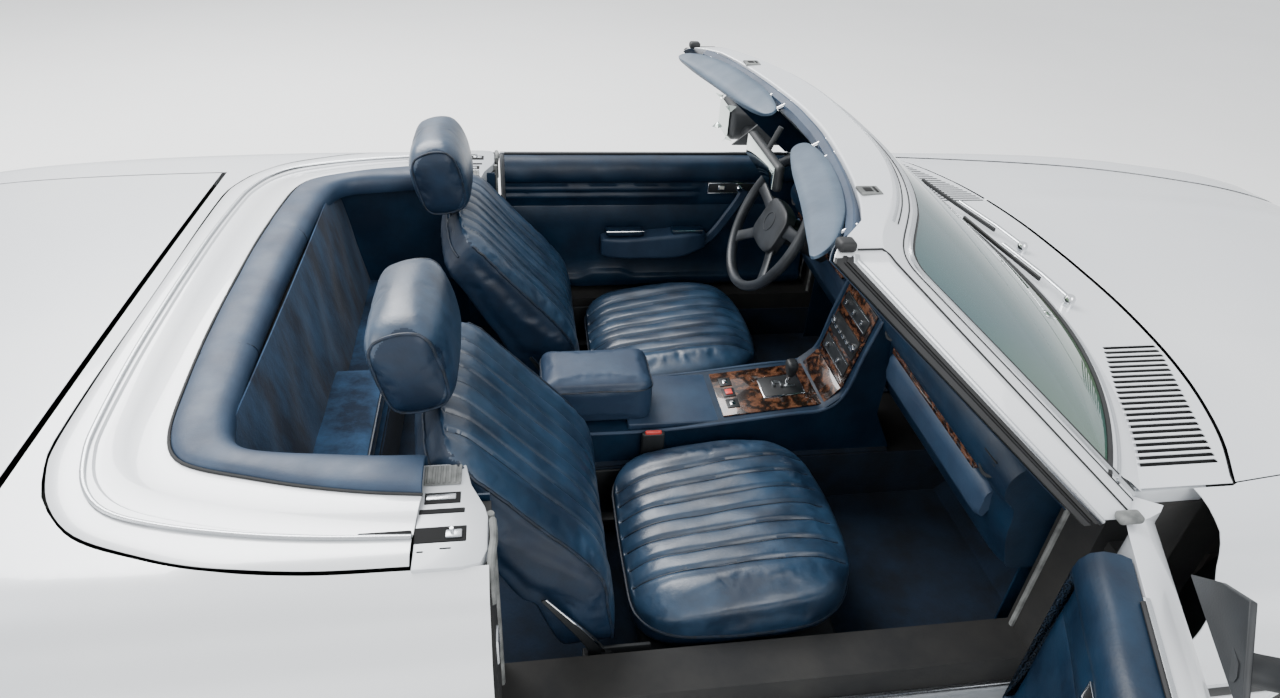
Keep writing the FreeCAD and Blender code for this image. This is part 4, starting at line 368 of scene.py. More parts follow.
# The right door stands open: its pieces are mirrored, then turned about the hinge
DOOR_OPEN = (Matrix.Translation((0.47, -0.86, 0)) @ Matrix.Rotation(math.radians(65), 4, "Z")
             @ Matrix.Translation((-0.47, 0.86, 0)) @ FLIP)


def keep_on_doors(name, bm, material, **settings):
    """Keep a piece on the shut left door and its twin on the open right door."""
    stands_for = settings.pop("stands_for", ())
    pieces = []
    for side, matrix in (("left", Matrix()), ("right", DOOR_OPEN)):
        nodes = [node % side for node in stands_for]
        pieces.append(keep("%s_%s" % (name, side), copied(bm, matrix), "door_" + side, material,
                           stands_for=nodes, **settings))
    bm.free()
    return pieces

# %% [markdown]
# ## Finishes
#
# A finish starts from what the real surface is and how it was made.  Colours are written as the
# familiar hex values and turned to linear light once.  Patterns are worked out from real sizes in
# millimetres, on the piece's own coordinates, so they stay put on the piece from any side.

# %% Colours and the one helper that adds a node
def light(code, alpha=1.0):
    """An sRGB hex colour in linear light."""
    parts = [int(code[k:k + 2], 16) / 255 for k in (0, 2, 4)]
    linear = [part / 12.92 if part <= 0.04045 else ((part + 0.055) / 1.055) ** 2.4
              for part in parts]
    return (*linear, alpha)


def add(tree, kind, sockets=(), stops=(), **settings):
    """Add a shader node, set its settings and sockets, and link what is given as an output."""
    shader_node = tree.nodes.new("ShaderNode" + kind)
    for name, value in settings.items():
        setattr(shader_node, name, value)
    for name, value in dict(sockets).items():
        socket = shader_node.inputs[name]
        if isinstance(value, bpy.types.NodeSocket):
            tree.links.new(value, socket)
        else:
            socket.default_value = value
    for index, (place, colour) in enumerate(stops):
        ramp = shader_node.color_ramp
        stop = ramp.elements[index] if index < 2 else ramp.elements.new(place)
        stop.position = place
        stop.color = colour
    return shader_node


def finish(name, slot, colour, **constants):
    """A new finish: a shader with its constants on its own sockets, and coordinates."""
    material = bpy.data.materials.new(name)
    material.use_nodes = True
    material["slot"] = slot
    tree = material.node_tree
    shader = tree.nodes["Principled BSDF"]
    shader.inputs["Base Color"].default_value = light(colour)
    for socket, value in constants.items():
        shader.inputs[socket.replace("_", " ")].default_value = value
    where = add(tree, "TexCoord").outputs["Object"]
    return material, tree, shader, where


def grain(tree, where, size_mm, detail=3.0, stretch=(1, 1, 1), rough=0.55):
    """A soft random pattern with patches of about size_mm, stretched along the axes."""
    placed = add(tree, "Mapping", {"Vector": where, "Scale": stretch}).outputs["Vector"]
    return add(tree, "TexNoise", {"Vector": placed, "Scale": 500.0 / size_mm, "Detail": detail,
                                  "Roughness": rough}).outputs["Fac"]


def tint(tree, shader, pattern, dark, pale, low=0.35, high=0.65):
    """Colour a shader between two hex colours by a pattern."""
    ramp = add(tree, "ValToRGB", {"Fac": pattern}, ((low, light(dark)), (high, light(pale))))
    tree.links.new(ramp.outputs["Color"], shader.inputs["Base Color"])
    return ramp.outputs["Color"]


def gloss(tree, shader, pattern, low, high):
    """Let roughness vary between two values by a pattern."""
    spread = add(tree, "MapRange", {"Value": pattern, "From Min": 0.3, "From Max": 0.7,
                                    "To Min": low, "To Max": high})
    tree.links.new(spread.outputs["Result"], shader.inputs["Roughness"])


def relief(tree, shader, pattern, depth_mm, strength=1.0, under=None):
    """Raise a pattern from the surface by a depth in millimetres."""
    sockets = {"Height": pattern, "Distance": depth_mm / 1000, "Strength": strength}
    if under is not None:
        sockets["Normal"] = under
    bump = add(tree, "Bump", sockets)
    tree.links.new(bump.outputs["Normal"], shader.inputs["Normal"])
    return bump.outputs["Normal"]


def plain(name, slot, colour, patches, bumps=None, **constants):
    """A finish with patches (mm, dark, pale, detail) and bumps (mm, depth, strength, detail)."""
    material, tree, shader, where = finish(name, slot, colour, **constants)
    size, dark, pale, detail = patches
    tint(tree, shader, grain(tree, where, size, detail), dark, pale)
    if bumps:
        size, depth, strength, detail = bumps
        relief(tree, shader, grain(tree, where, size, detail), depth, strength)
    return material


# %% [markdown]
# Silver metallic paint is a pale base with fine aluminium flakes under a clear lacquer.  The flakes
# show as a faint sparkle, the lacquer as a sharp reflection over a softer one.

# %% Painted metal
PAINT, tree, shader, where = finish("Silver_metallic_lacquer", "paint", "E6E9EC", Metallic=0.22,
                                    Roughness=0.34, Coat_Weight=0.9, Coat_Roughness=0.04)
tint(tree, shader, grain(tree, where, 260.0, 1.0), "E3E6EA", "EBEDEF")
gloss(tree, shader, grain(tree, where, 1.6, 1.0), 0.30, 0.38)

PAINT_INNER = plain("Silver_paint_inner_panels", "paint", "C9CDD1",
                    (120.0, "C2C6CA", "D2D5D8", 3.0), (2.5, 0.05, 0.4, 3.0), Metallic=0.2,
                    Roughness=0.42, Coat_Weight=0.3)

# %% [markdown]
# Plated chrome is a mirror with almost no colour.  Satin trims are anodised aluminium, brushed
# along their length, so their shine is spread.

# %% Bright metal
CHROME, tree, shader, where = finish("Chrome_plate", "chrome", "E4E6E8", Metallic=1.0,
                                     Roughness=0.07)
gloss(tree, shader, grain(tree, where, 30.0, 2.0), 0.05, 0.12)

SATIN, tree, shader, where = finish("Anodised_aluminium_trim", "chrome", "C9CCCF", Metallic=1.0,
                                    Roughness=0.3)
gloss(tree, shader, grain(tree, where, 3.0, 2.0, (1, 12, 12)), 0.22, 0.38)

ALLOY = plain("Painted_wheel_alloy", "wheel_alloy", "B9BCC0", (60.0, "AEB1B5", "C2C5C8", 3.0),
              (2.0, 0.08, 0.4, 3.0), Metallic=0.8, Roughness=0.33, Coat_Weight=0.4)

STEEL = plain("Underseal_on_steel", "steel", "1B1C1E", (90.0, "141517", "2B2A28", 5.0),
              (7.0, 0.8, 0.7, 5.0), Roughness=0.78)

CASTING = plain("Cast_iron_and_oil_film", "steel", "3A3B3D", (50.0, "2B2B2C", "4A4743", 5.0),
                (3.0, 0.3, 0.7, 4.0), Metallic=0.7, Roughness=0.55)

EXHAUST, tree, shader, where = finish("Heat_dulled_exhaust_steel", "exhaust_steel", "77736C",
                                      Metallic=0.9, Roughness=0.5)
tint(tree, shader, grain(tree, where, 80.0, 4.0), "5E574D", "8A8680")
gloss(tree, shader, grain(tree, where, 25.0, 4.0), 0.35, 0.65)

# %% [markdown]
# Rubber and moulded plastic are dark and dull.  Moulded dashboards carry a fine pebbled grain
# from the mould.  The real grain is about 1 mm; it is drawn at 3 mm so that it shows.

# %% Rubber and plastic
RUBBER = plain("Black_rubber_seal", "dark_plastic", "121314", (40.0, "0E0F10", "1B1C1E", 3.0),
               (3.0, 0.2, 0.5, 3.0), Roughness=0.6)

GREY_RUBBER = plain("Weathered_grey_rubber", "dark_plastic", "6A6C6B",
                    (18.0, "555756", "858785", 5.0), (5.0, 0.5, 0.7, 4.0), Roughness=0.75)

TYRE = plain("Tyre_rubber", "tyre", "1A1A1B", (70.0, "151516", "262524", 3.0),
             (2.5, 0.2, 0.6, 4.0), Roughness=0.72)


def pebbled(name, colour, patch_mm, dark, pale, depth_mm, strength, roughness):
    """Moulded plastic with a fine pebbled grain."""
    material, tree, shader, where = finish(name, "dark_plastic", colour, Roughness=roughness)
    tint(tree, shader, grain(tree, where, patch_mm), dark, pale)
    pebbles = add(tree, "TexVoronoi", {"Vector": where, "Scale": 330.0}).outputs["Distance"]
    relief(tree, shader, pebbles, depth_mm, strength)
    return material


PLASTIC = pebbled("Grained_black_plastic", "1C1E21", 60.0, "17191B", "25282B", 0.25, 0.5, 0.5)
WHEEL_GRIP = pebbled("Moulded_grey_steering_wheel", "2C2F33", 30.0, "24272B", "34383D", 0.2, 0.4,
                     0.42)

# Near-black stand-in for the shade inside slots, holes, intakes and recesses: painted shade.
DARK_VOID = plain("Unlit_recess", "dark_plastic", "060708", (30.0, "040506", "0A0B0D", 3.0),
                  Roughness=0.9)

# %% [markdown]
# Seat leather is dyed, grained hide.  It is darker in its creases and paler where it is worn and
# dusty, it shines softly, and its grain of irregular pebbles is about 1.5 mm; it is drawn at
# 4 mm so that it shows.  Long creases run across the broad panels.

# %% Leather
def leather(name, slot, dark, pale, roughness, crease_mm=0.5, shine=0.6):
    """Dyed hide with pebble grain, shallow creases and worn places."""
    material, tree, shader, where = finish(name, slot, pale, Roughness=roughness,
                                           Specular_IOR_Level=shine, Coat_Weight=shine * 0.2,
                                           Coat_Roughness=0.35)
    tint(tree, shader, grain(tree, where, 55.0, 6.0, rough=0.62), dark, pale, 0.38, 0.66)
    gloss(tree, shader, grain(tree, where, 35.0, 4.0), roughness - 0.07, roughness + 0.09)
    hide = add(tree, "TexVoronoi", {"Vector": where, "Scale": 240.0}, feature="SMOOTH_F1")
    fine = relief(tree, shader, hide.outputs["Distance"], 0.35, 0.45)
    relief(tree, shader, grain(tree, where, 24.0, 6.0, (1, 1.6, 1), 0.7), crease_mm, 0.55, fine)
    return material


LEATHER = leather("Dark_blue_seat_leather", "leather", "13263A", "254059", 0.38, 0.5, 0.75)
# The seat leather again in a darker copy, for faces that turn away from the light: painted shade.
LEATHER_PAINTED_SHADE = leather("Blue_leather_with_painted_shade", "leather", "081A2D", "10283F", 0.5, 0.6, 0.4)
VINYL = leather("Dark_blue_padded_vinyl", "padding", "1A2F47", "263E57", 0.56, 0.5)
VINYL_DARK = leather("Dark_blue_trim_vinyl", "padding", "071B2E", "0E293F", 0.46, 0.4, 0.35)
VISOR = leather("Grey_blue_visor_vinyl", "padding", "36495B", "475A6C", 0.55, 0.4)

PIPING = plain("Dark_piping_cord", "leather", "0E1A27", (6.0, "0B151F", "16263A", 3.0),
               (4.0, 0.2, 0.5, 3.0), Roughness=0.5)

# %% [markdown]
# The floor and the rear walls are lined with velour, a cut pile.  Where the pile lies the other
# way it looks paler, in long cloudy streaks, and its fibres glow at the edge of a fold.

# %% Carpet and velour
VELOUR, tree, shader, where = finish("Blue_cut_velour", "carpet", "1D3B58", Roughness=0.95,
                                     Sheen_Weight=0.10, Sheen_Roughness=0.4)
streaks = grain(tree, where, 70.0, 8.0, (1, 1.2, 0.45), 0.68)
tint(tree, shader, streaks, "081D33", "27496A", 0.40, 0.64)
relief(tree, shader, grain(tree, where, 3.0, 4.0), 0.8, 0.6)

CARPET = plain("Dark_blue_loop_carpet", "carpet", "0D1F33", (45.0, "04111F", "0A2036", 6.0),
               (3.5, 1.2, 0.8, 2.0), Roughness=0.97, Sheen_Weight=0.05)

# %% [markdown]
# Burr walnut veneer has knots with rings round them and dark figure between, under a thick
# polished lacquer.  Rings drawn through a strongly distorted space give that figure.

# %% Wood, glass and lamps
WOOD, tree, shader, where = finish("Polished_burr_walnut", "dark_plastic", "7A4526", Roughness=0.25,
                                   Coat_Weight=1.0, Coat_Roughness=0.03)
figure = add(tree, "TexNoise", {"Vector": where, "Scale": 24.0, "Detail": 5.0, "Roughness": 0.6,
                                "Distortion": 2.4}).outputs["Fac"]
rings = add(tree, "TexWave", {"Vector": where, "Scale": 9.0, "Distortion": 14.0, "Detail": 4.0,
                              "Detail Scale": 2.2}, wave_type="RINGS").outputs["Fac"]
both = add(tree, "Math", {0: figure, 1: rings}, operation="MULTIPLY").outputs[0]
add_ramp = add(tree, "ValToRGB", {"Fac": both}, ((0.05, light("1A0D07")), (0.62, light("6F4932")),
                                                 (0.2, light("38200F")), (0.38, light("533322"))))
tree.links.new(add_ramp.outputs["Color"], shader.inputs["Base Color"])

# The glass's own green tint, deepened, with teal and yellow-green patches of about 420 mm: a
# painted reflection of trees and grass.
GLASS_TINT_AND_PAINTED_REFLECTION, tree, shader, where = finish("Green_glass_with_painted_reflection", "glass", "6F9684", Roughness=0.0,
                                    Transmission_Weight=0.45, IOR=1.5)
tint(tree, shader, grain(tree, where, 420.0, 2.0, (0.6, 1, 1)), "2F6468", "7D955A", 0.38, 0.62)
MIRROR, tree, shader, where = finish("Silvered_mirror_glass", "chrome", "BFC9C4", Metallic=1.0,
                                     Roughness=0.03)
gloss(tree, shader, grain(tree, where, 90.0), 0.02, 0.06)


def ribbed(name, slot, colour, direction, depth_mm, strength, **constants):
    """A moulded lens with ribs that repeat along one axis."""
    material, tree, shader, where = finish(name, slot, colour, **constants)
    ribs = add(tree, "TexWave", {"Vector": where, "Scale": 22.0}, bands_direction=direction)
    relief(tree, shader, ribs.outputs["Fac"], depth_mm, strength)
    return material


LENS = ribbed("Ribbed_clear_lens", "lamp_clear", "EEF2F4", "Y", 1.5, 0.5, Roughness=0.06,
              Transmission_Weight=0.85, IOR=1.49)
AMBER = ribbed("Ribbed_amber_lens", "lamp_clear", "E8780A", "Y", 1.2, 0.5, Roughness=0.12,
               Transmission_Weight=0.35, Coat_Weight=0.6)
RED_LENS = ribbed("Ribbed_red_lens", "lamp_red", "A3100E", "Z", 1.5, 0.6, Roughness=0.12,
                  Transmission_Weight=0.25, Coat_Weight=0.7)

RED_BUTTON = plain("Red_moulded_button", "lamp_red", "D8413A", (12.0, "CC3A34", "E25049", 3.0),
                   Roughness=0.35)

DIAL = plain("Printed_dial_face", "dark_plastic", "0C0D0E", (20.0, "090A0B", "121314", 3.0),
             Roughness=0.35, Coat_Weight=1.0, Coat_Roughness=0.02)

IVORY = plain("Ivory_dial_marks", "dark_plastic", "D9D7CC", (12.0, "CFCDC2", "E2E0D6", 3.0),
              Roughness=0.5)

# %% [markdown]
# ## The painted body
#
# A pressed steel body is one flowing form, cut by thin shut lines.  So the form comes first, as
# one section that changes from station to station, and every panel is a net laid on it between
# its own edges.  That keeps the highlights running on from one panel to the next.

# %% The body's form
STATION_HALF = [(-2.205, 0.838), (-1.8, 0.872), (-1.228, 0.893), (-0.6, 0.895), (0.55, 0.895),
                (1.228, 0.893), (1.7, 0.880), (1.96, 0.858), (2.05, 0.835)]
STATION_SHOULDER = [(-2.205, 0.788), (-1.8, 0.838), (-1.228, 0.862), (-0.6, 0.868), (0.55, 0.868),
                    (1.228, 0.857), (1.7, 0.815), (1.96, 0.768), (2.05, 0.730)]
STATION_CROWN = [(-2.205, 0.796), (-1.8, 0.848), (-1.228, 0.870), (-0.6, 0.878), (0.55, 0.892),
                 (1.228, 0.884), (1.7, 0.838), (1.96, 0.786), (2.05, 0.744)]
SHOULDER_IN = 0.113
ROUND_IN, ROUND_DROP = 0.064, 0.022
CHEEK_IN, CHEEK_DROP = 0.038, 0.075
CREASE_Z = 0.680


def body_half(x):
    """Half width of the body at its widest line."""
    return along(STATION_HALF, x)


def side_profile(x):
    """The section from the shoulder down to the sill, as a few points (y, z)."""
    half, shoulder = body_half(x), along(STATION_SHOULDER, x)
    return [(half - SHOULDER_IN, shoulder), (half - 0.088, shoulder - 0.0085),
            (half - ROUND_IN, shoulder - ROUND_DROP), (half - 0.048, shoulder - 0.045),
            (half - CHEEK_IN, shoulder - CHEEK_DROP), (half - 0.012, mix(shoulder, CREASE_Z, 0.68)),
            (half - 0.001, CREASE_Z + 0.012), (half - 0.0015, CREASE_Z - 0.02),
            (half - 0.009, 0.56), (half - 0.022, 0.42), (half - 0.039, 0.31), (half - 0.060, 0.20)]


def roof_z(x, y):
    """Height of the upper surface at a plan point."""
    half, shoulder, crown = body_half(x), along(STATION_SHOULDER, x), along(STATION_CROWN, x)
    edge = half - SHOULDER_IN
    if abs(y) <= edge:
        return crown - (crown - shoulder) * (y / edge) ** 2
    profile = side_profile(x)
    for (y0, z0), (y1, z1) in zip(profile, profile[1:]):
        if abs(y) <= y1:
            return mix(z0, z1, (abs(y) - y0) / (y1 - y0))
    return profile[4][1]


def side_y(x, z):
    """Half width of the flank at a height below the shoulder."""
    profile = side_profile(x)
    table = sorted((height, across) for across, height in profile)
    return along(table, z)


def flank_point(x, share, top_y, low_z):
    """A point on the section from y = top_y on the upper side round to the height low_z."""
    half = body_half(x)
    line = [Vector((x, y, roof_z(x, y)))
            for y in (top_y, mix(top_y, half - SHOULDER_IN, 0.5), half - SHOULDER_IN)] \
        if top_y < half - SHOULDER_IN else [Vector((x, top_y, roof_z(x, top_y)))]
    line += [Vector((x, y, z)) for y, z in side_profile(x) if y > top_y + 0.002 or z < CREASE_Z]
    clipped = [line[0]]
    for start, end in zip(line, line[1:]):
        if end.z < low_z:
            clipped.append(mix(start, end, (start.z - low_z) / (start.z - end.z)))
            break
        clipped.append(end)
    lengths = [0.0]
    for start, end in zip(clipped, clipped[1:]):
        lengths.append(lengths[-1] + (end - start).length)
    target = share * lengths[-1]
    for index in range(len(clipped) - 1):
        if target <= lengths[index + 1] + 1e-9:
            span = max(lengths[index + 1] - lengths[index], 1e-9)
            return mix(clipped[index], clipped[index + 1], (target - lengths[index]) / span)
    return clipped[-1]


SEAM = [(0.0, 0.803), (0.20, 0.799), (0.37, 0.783), (0.48, 0.763), (0.57, 0.737), (0.655, 0.703),
        (0.744, 0.652)]
LID_EDGE = [(-1.290, 0.489), (-1.270, 0.575), (-1.243, 0.633), (-1.184, 0.697), (-1.090, 0.742),
            (-0.990, 0.774), (-0.857, 0.792), (-0.712, 0.796)]


def seam_x(y):
    """Place of the hood's rear edge at a distance from the centre plane."""
    return along(SEAM, abs(y))


# %% [markdown]
# ### Hood, trunk lid and cowl
#
# The hood is a shallow dish pressed from one sheet, with a pair of soft ridges that stiffen it.
# It could be cut from a block, but a net with its rear edge on the curved seam is simpler, and
# its quads follow the edges.  Each panel gets a wall and a small rounded edge.

# %% Hood
HOOD_FRONT, HOOD_FRONT_HALF, HOOD_REAR_HALF = 2.030, 0.600, 0.744
HOOD_CORNER_X = 0.652


def hood_edge(x):
    """Half width of the hood."""
    return mix(HOOD_REAR_HALF, HOOD_FRONT_HALF,
               clamp((x - HOOD_CORNER_X) / (HOOD_FRONT - HOOD_CORNER_X)))


def hood_point(u, v):
    """Hood net: u across, v from the seam to the nose, its side edges turned down a little."""
    side = 2 * u - 1
    x = mix(seam_x(side * HOOD_REAR_HALF) + 0.003, HOOD_FRONT, v)
    y = side * hood_edge(x)
    ridge = 0.006 * (ease(abs(y), 0.30, 0.36) - ease(abs(y), 0.36, 0.47)) * ease(x, 0.8, 1.0)
    dip = 0.003 * ease(abs(side), 0.90, 1.0)
    return Vector((x, y, roof_z(x, y) + ridge * (1 - ease(x, 1.8, 2.0)) - dip))


hood = walled(grid(64, 64, hood_point), 0.0012)
keep("hood_skin", hood, "hood", PAINT, edge=0.0005, stands_for=["hood"])


def under_hood_point(u, v):
    """Inner frame of the hood, a little inside its edges and under it."""
    point = hood_point(mix(0.05, 0.95, u), mix(0.03, 0.97, v))
    point.z -= 0.012 + 0.006 * math.sin(u * math.pi * 9) * math.sin(v * math.pi * 7)
    return point


keep("hood_inner_frame", walled(grid(36, 36, under_hood_point), 0.001), "hood", PAINT_INNER)

# %% Trunk lid, turned down over the tail
TRUNK_FRONT, TRUNK_HALF, TAIL_X = -1.340, 0.640, -2.205
TAIL_ROUND = 0.035


def tail_drop(travel):
    """Point (x, drop) of the lid's middle line at a travel from its front edge."""
    flat = (TRUNK_FRONT - TAIL_X) - TAIL_ROUND
    if travel < flat:
        return TRUNK_FRONT - travel, 0.0
    turn = min((travel - flat) / (TAIL_ROUND * math.pi / 2), 1.0)
    rest = max(travel - flat - TAIL_ROUND * math.pi / 2, 0.0)
    angle = turn * math.pi / 2
    return (TAIL_X + TAIL_ROUND * (1 - math.sin(angle)),
            TAIL_ROUND * (1 - math.cos(angle)) + rest)


TRUNK_TRAVEL = (TRUNK_FRONT - TAIL_X) - TAIL_ROUND + TAIL_ROUND * math.pi / 2 + 0.040


def trunk_point(u, v):
    """Trunk lid net: u across, v from the front edge back and down over the tail."""
    side = 2 * u - 1
    x, drop = tail_drop(v * TRUNK_TRAVEL)
    y = side * TRUNK_HALF
    bow = 0.004 * (1 - side * side) * ease(drop, 0.0, 0.03)
    return Vector((x + bow, y, roof_z(x, y) - drop))


trunk = walled(grid(40, 60, trunk_point), 0.0012)
keep("trunk_lid_skin", trunk, "trunk_lid", PAINT, edge=0.0005, stands_for=["trunk_lid"])


def under_trunk_point(u, v):
    """Inner frame of the trunk lid."""
    point = trunk_point(mix(0.06, 0.94, u), mix(0.06, 0.88, v))
    point.z -= 0.012 + 0.005 * math.sin(u * math.pi * 7) * math.sin(v * math.pi * 7)
    return point


keep("trunk_inner_frame", walled(grid(30, 30, under_trunk_point), 0.001), "trunk_lid", PAINT_INNER)

# %% Cowl panel with its air slots
COWL_REAR, COWL_HALF, COWL_GAP = 0.432, 0.7485, 0.008
SLOT_FIRST, SLOT_STEP, SLOT_COUNT = 0.369, 0.0156, 22
SLOT_FRONT, SLOT_LENGTH, SLOT_SWEEP, SLOT_GROWTH = 0.776, 0.128, 0.37, 0.085
SLOT_HALF, SLOT_MARGIN = 0.0048, 0.006


def cowl_point(u, v):
    """Cowl net: u across, v from under the windscreen to the hood's edge."""
    y = (2 * u - 1) * COWL_HALF
    x = mix(COWL_REAR, seam_x(y) - COWL_GAP, v)
    return Vector((x, y, roof_z(x, y)))


cowl = walled(grid(96, 24, cowl_point), 0.0015)
cowl_piece = keep("cowl_skin", cowl, "body", PAINT, edge=0.0004, stands_for=["cowl_panel"])

slot_tools = []
for index in range(SLOT_COUNT):
    outward = index * SLOT_STEP
    y = SLOT_FIRST + outward
    rear = SLOT_FRONT - outward * (SLOT_SWEEP + SLOT_GROWTH) - SLOT_LENGTH
    front = min(SLOT_FRONT - outward * SLOT_SWEEP, seam_x(y) - COWL_GAP - SLOT_MARGIN)
    slot_tools.append(bar((rear, y - SLOT_HALF, 0.80), (front, y + SLOT_HALF, 0.95), 0.0035))
bpy.context.view_layer.objects.active = cowl_piece
bpy.ops.object.modifier_apply(modifier="Rounded edges")
cut_through(cowl_piece, mirrored(*slot_tools), "Air slots")


def cowl_shade_sheet_point(u, v):
    """Near-black sheet under the air slots: painted shade seen through them."""
    point = cowl_point(mix(0.004, 0.996, u), mix(0.04, 0.99, v))
    point.z -= 0.006
    return point


keep("cowl_shade_sheet", walled(grid(24, 8, cowl_shade_sheet_point), 0.001), "body", DARK_VOID)
edge_line = [cowl_point(step / 60, 1.0) + Vector((0.0030, 0, -0.0065)) for step in range(61)]
keep("cowl_seal", swept(edge_line, ring(0.003, 0.003, 8)), "body", RUBBER)
print("cowl slots:", 2 * SLOT_COUNT)

# %% [markdown]
# ### Wings and doors
#
# The wings carry the body's section round from the shoulder to the sill.  Their nets run from the
# lid's edge down the flank, so the crease and the shoulder fall on rows of the net.  The round
# wheel arches are cut out with a cylinder, and a rolled lip covers the cut edge.

# %% Rear wings with the strip between the lids
WING_LOW = 0.256
TRUNK_GAP_HALF = TRUNK_HALF + 0.006
AXLE_X, WHEEL_Z, ARCH_R = 1.228, 0.317, 0.360


def spaced(start, end, count):
    """Evenly spaced numbers from start to end."""
    return [mix(start, end, step / (count - 1)) for step in range(count)]


def lid_half_at(x):
    """Half width of the soft-top lid at a place along the car."""
    return along(LID_EDGE, x)


def lid_rear_at(y):
    """Rear edge of the soft-top lid at a distance from the centre plane."""
    table = [(0.0, -1.290), (0.489, -1.290), (0.575, -1.270), (0.633, -1.243), (0.697, -1.184)]
    return along(table, abs(y))


STRIP_ROWS = 4
strip_corner = lid_rear_at(TRUNK_GAP_HALF) - 0.006
strip_places = spaced(TRUNK_FRONT + 0.013, strip_corner, STRIP_ROWS + 1)
wing_places = (spaced(-0.601, -0.712, 5)[:-1] + spaced(-0.712, strip_corner, 40)[:-1]
               + strip_places[::-1][:-1] + spaced(TRUNK_FRONT + 0.013, -2.189, 44))
WING_ROWS = 34


def rear_wing_point(u, v):
    """Rear wing net: u along the car towards the tail, v round the section."""
    x = wing_places[round(u * (len(wing_places) - 1))]
    inner = max(TRUNK_GAP_HALF, lid_half_at(x) + 0.006)
    if x > -0.7115:
        inner = 0.802
    return flank_point(x, v, inner, WING_LOW)


def strip_point(u, v):
    """The fixed strip between the two lids."""
    y = (2 * u - 1) * TRUNK_GAP_HALF
    if round(abs(2 * u - 1), 4) == 1.0:
        x = strip_places[round(v * STRIP_ROWS)]
    else:
        x = mix(TRUNK_FRONT + 0.013, lid_rear_at(y) - 0.006, v)
    return Vector((x, y, roof_z(x, y)))


wings = joined(mirrored(grid(len(wing_places) - 1, WING_ROWS, rear_wing_point)),
               grid(40, STRIP_ROWS, strip_point))


def cut_arches(piece, place, reach=1.2):
    """Cut the round openings for one axle's wheels through a piece."""
    cut_through(piece, turned([(-reach, 0.0), (-reach, ARCH_R), (reach, ARCH_R), (reach, 0.0)], 96,
                              (place, 0, WHEEL_Z)), "Arch")


rear_piece = keep("rear_wing_skin", walled(wings, 0.0015), "body", PAINT,
                  stands_for=["rear_wings"])
cut_arches(rear_piece, -AXLE_X)

# %% Front wings
HOOD_GAP, COWL_EDGE = 0.005, 0.7545
front_places = spaced(0.5645, HOOD_CORNER_X, 8)[:-1] + spaced(HOOD_CORNER_X, 2.034, 90)


def front_wing_point(u, v):
    """Front wing net: u along the car towards the nose, v round the section."""
    x = front_places[round(u * (len(front_places) - 1))]
    inner = COWL_EDGE if x < HOOD_CORNER_X else hood_edge(x) + HOOD_GAP
    return flank_point(x, v, inner, WING_LOW)


front_wings = mirrored(walled(grid(len(front_places) - 1, WING_ROWS, front_wing_point), 0.0015))
front_piece = keep("front_wing_skin", front_wings, "body", PAINT, stands_for=["front_wings"])
cut_arches(front_piece, AXLE_X)

# %% Rolled lips and dark liners of the arches
for place, name in ((AXLE_X, "front"), (-AXLE_X, "rear")):
    lip_line = []
    for step in range(61):
        angle = math.radians(mix(-9.5, 189.5, step / 60))
        x = place + math.cos(angle) * ARCH_R
        z = WHEEL_Z + math.sin(angle) * ARCH_R
        lip_line.append(Vector((x, side_y(x, max(z, 0.22)) - 0.0005, z)))

    def liner_point(u, v):
        angle = math.radians(mix(-6, 186, u))
        x = place + math.cos(angle) * (ARCH_R + 0.006)
        z = WHEEL_Z + math.sin(angle) * (ARCH_R + 0.006)
        outer = min(side_y(x, clamp(z, 0.22, 0.78)) - 0.004, 0.86)
        return Vector((x, mix(0.615, outer, v), z))

    keep("arch_lips_" + name, mirrored(swept(lip_line, ring(0.0045, 0.0045, 8), up=(0, 1, 0))),
         "body", PAINT)
    keep("arch_liners_" + name, mirrored(walled(grid(60, 6, liner_point), 0.001)), "body", PLASTIC)

# %% Doors: outer skin and inner shell as one closed form
DOOR_REAR, DOOR_FRONT, DOOR_LOW, DOOR_IN = -0.589, 0.551, 0.340, 0.772


def door_skin_point(u, v):
    """Door net: u from the rear edge to the front, v from the inner top edge down the flank."""
    x = mix(DOOR_REAR, DOOR_FRONT, u)
    return flank_point(x, v, DOOR_IN, DOOR_LOW)


door = grid(60, 34, door_skin_point)
outer_faces = list(door.faces)
inner = bmesh.ops.extrude_face_region(door, geom=outer_faces)
for item in inner["geom"]:
    if isinstance(item, bmesh.types.BMVert):
        nose = ease(item.co.x, 0.42, DOOR_FRONT)
        item.co.y = mix(DOOR_IN, 0.846, nose * nose)
        item.co.z = min(item.co.z, 0.862)
bmesh.ops.delete(door, geom=[face for face in door.faces
                             if face.calc_area() < 1e-9], context="FACES_ONLY")
close_up(door)
keep_on_doors("door_shell", door, PAINT, edge=0.0012, stands_for=["door_%s"])

# %% Sills
def sill_point(u, v):
    """Sill net under the door: u along the car, v down the flank."""
    x = mix(-0.838, 0.838, u)
    top = 0.330 if -0.59 < x < 0.56 else 0.256
    z = mix(top, 0.202, v)
    return Vector((x, side_y(x, z) - 0.001, z))


keep("sill_skins", mirrored(walled(grid(48, 8, sill_point), 0.0015)), "body", PAINT, edge=0.001,
     stands_for=["sills"])

# %% [markdown]
# ### The lid over the folded top
#
# Behind the cockpit a painted lid covers the folded soft top.  It is a U in plan.  A raised lip
# with a bright bead runs round its inner side, and the padded band of the cockpit's edge sits
# inside that.  The lid's outer edge is the thin dark seam in the photo.

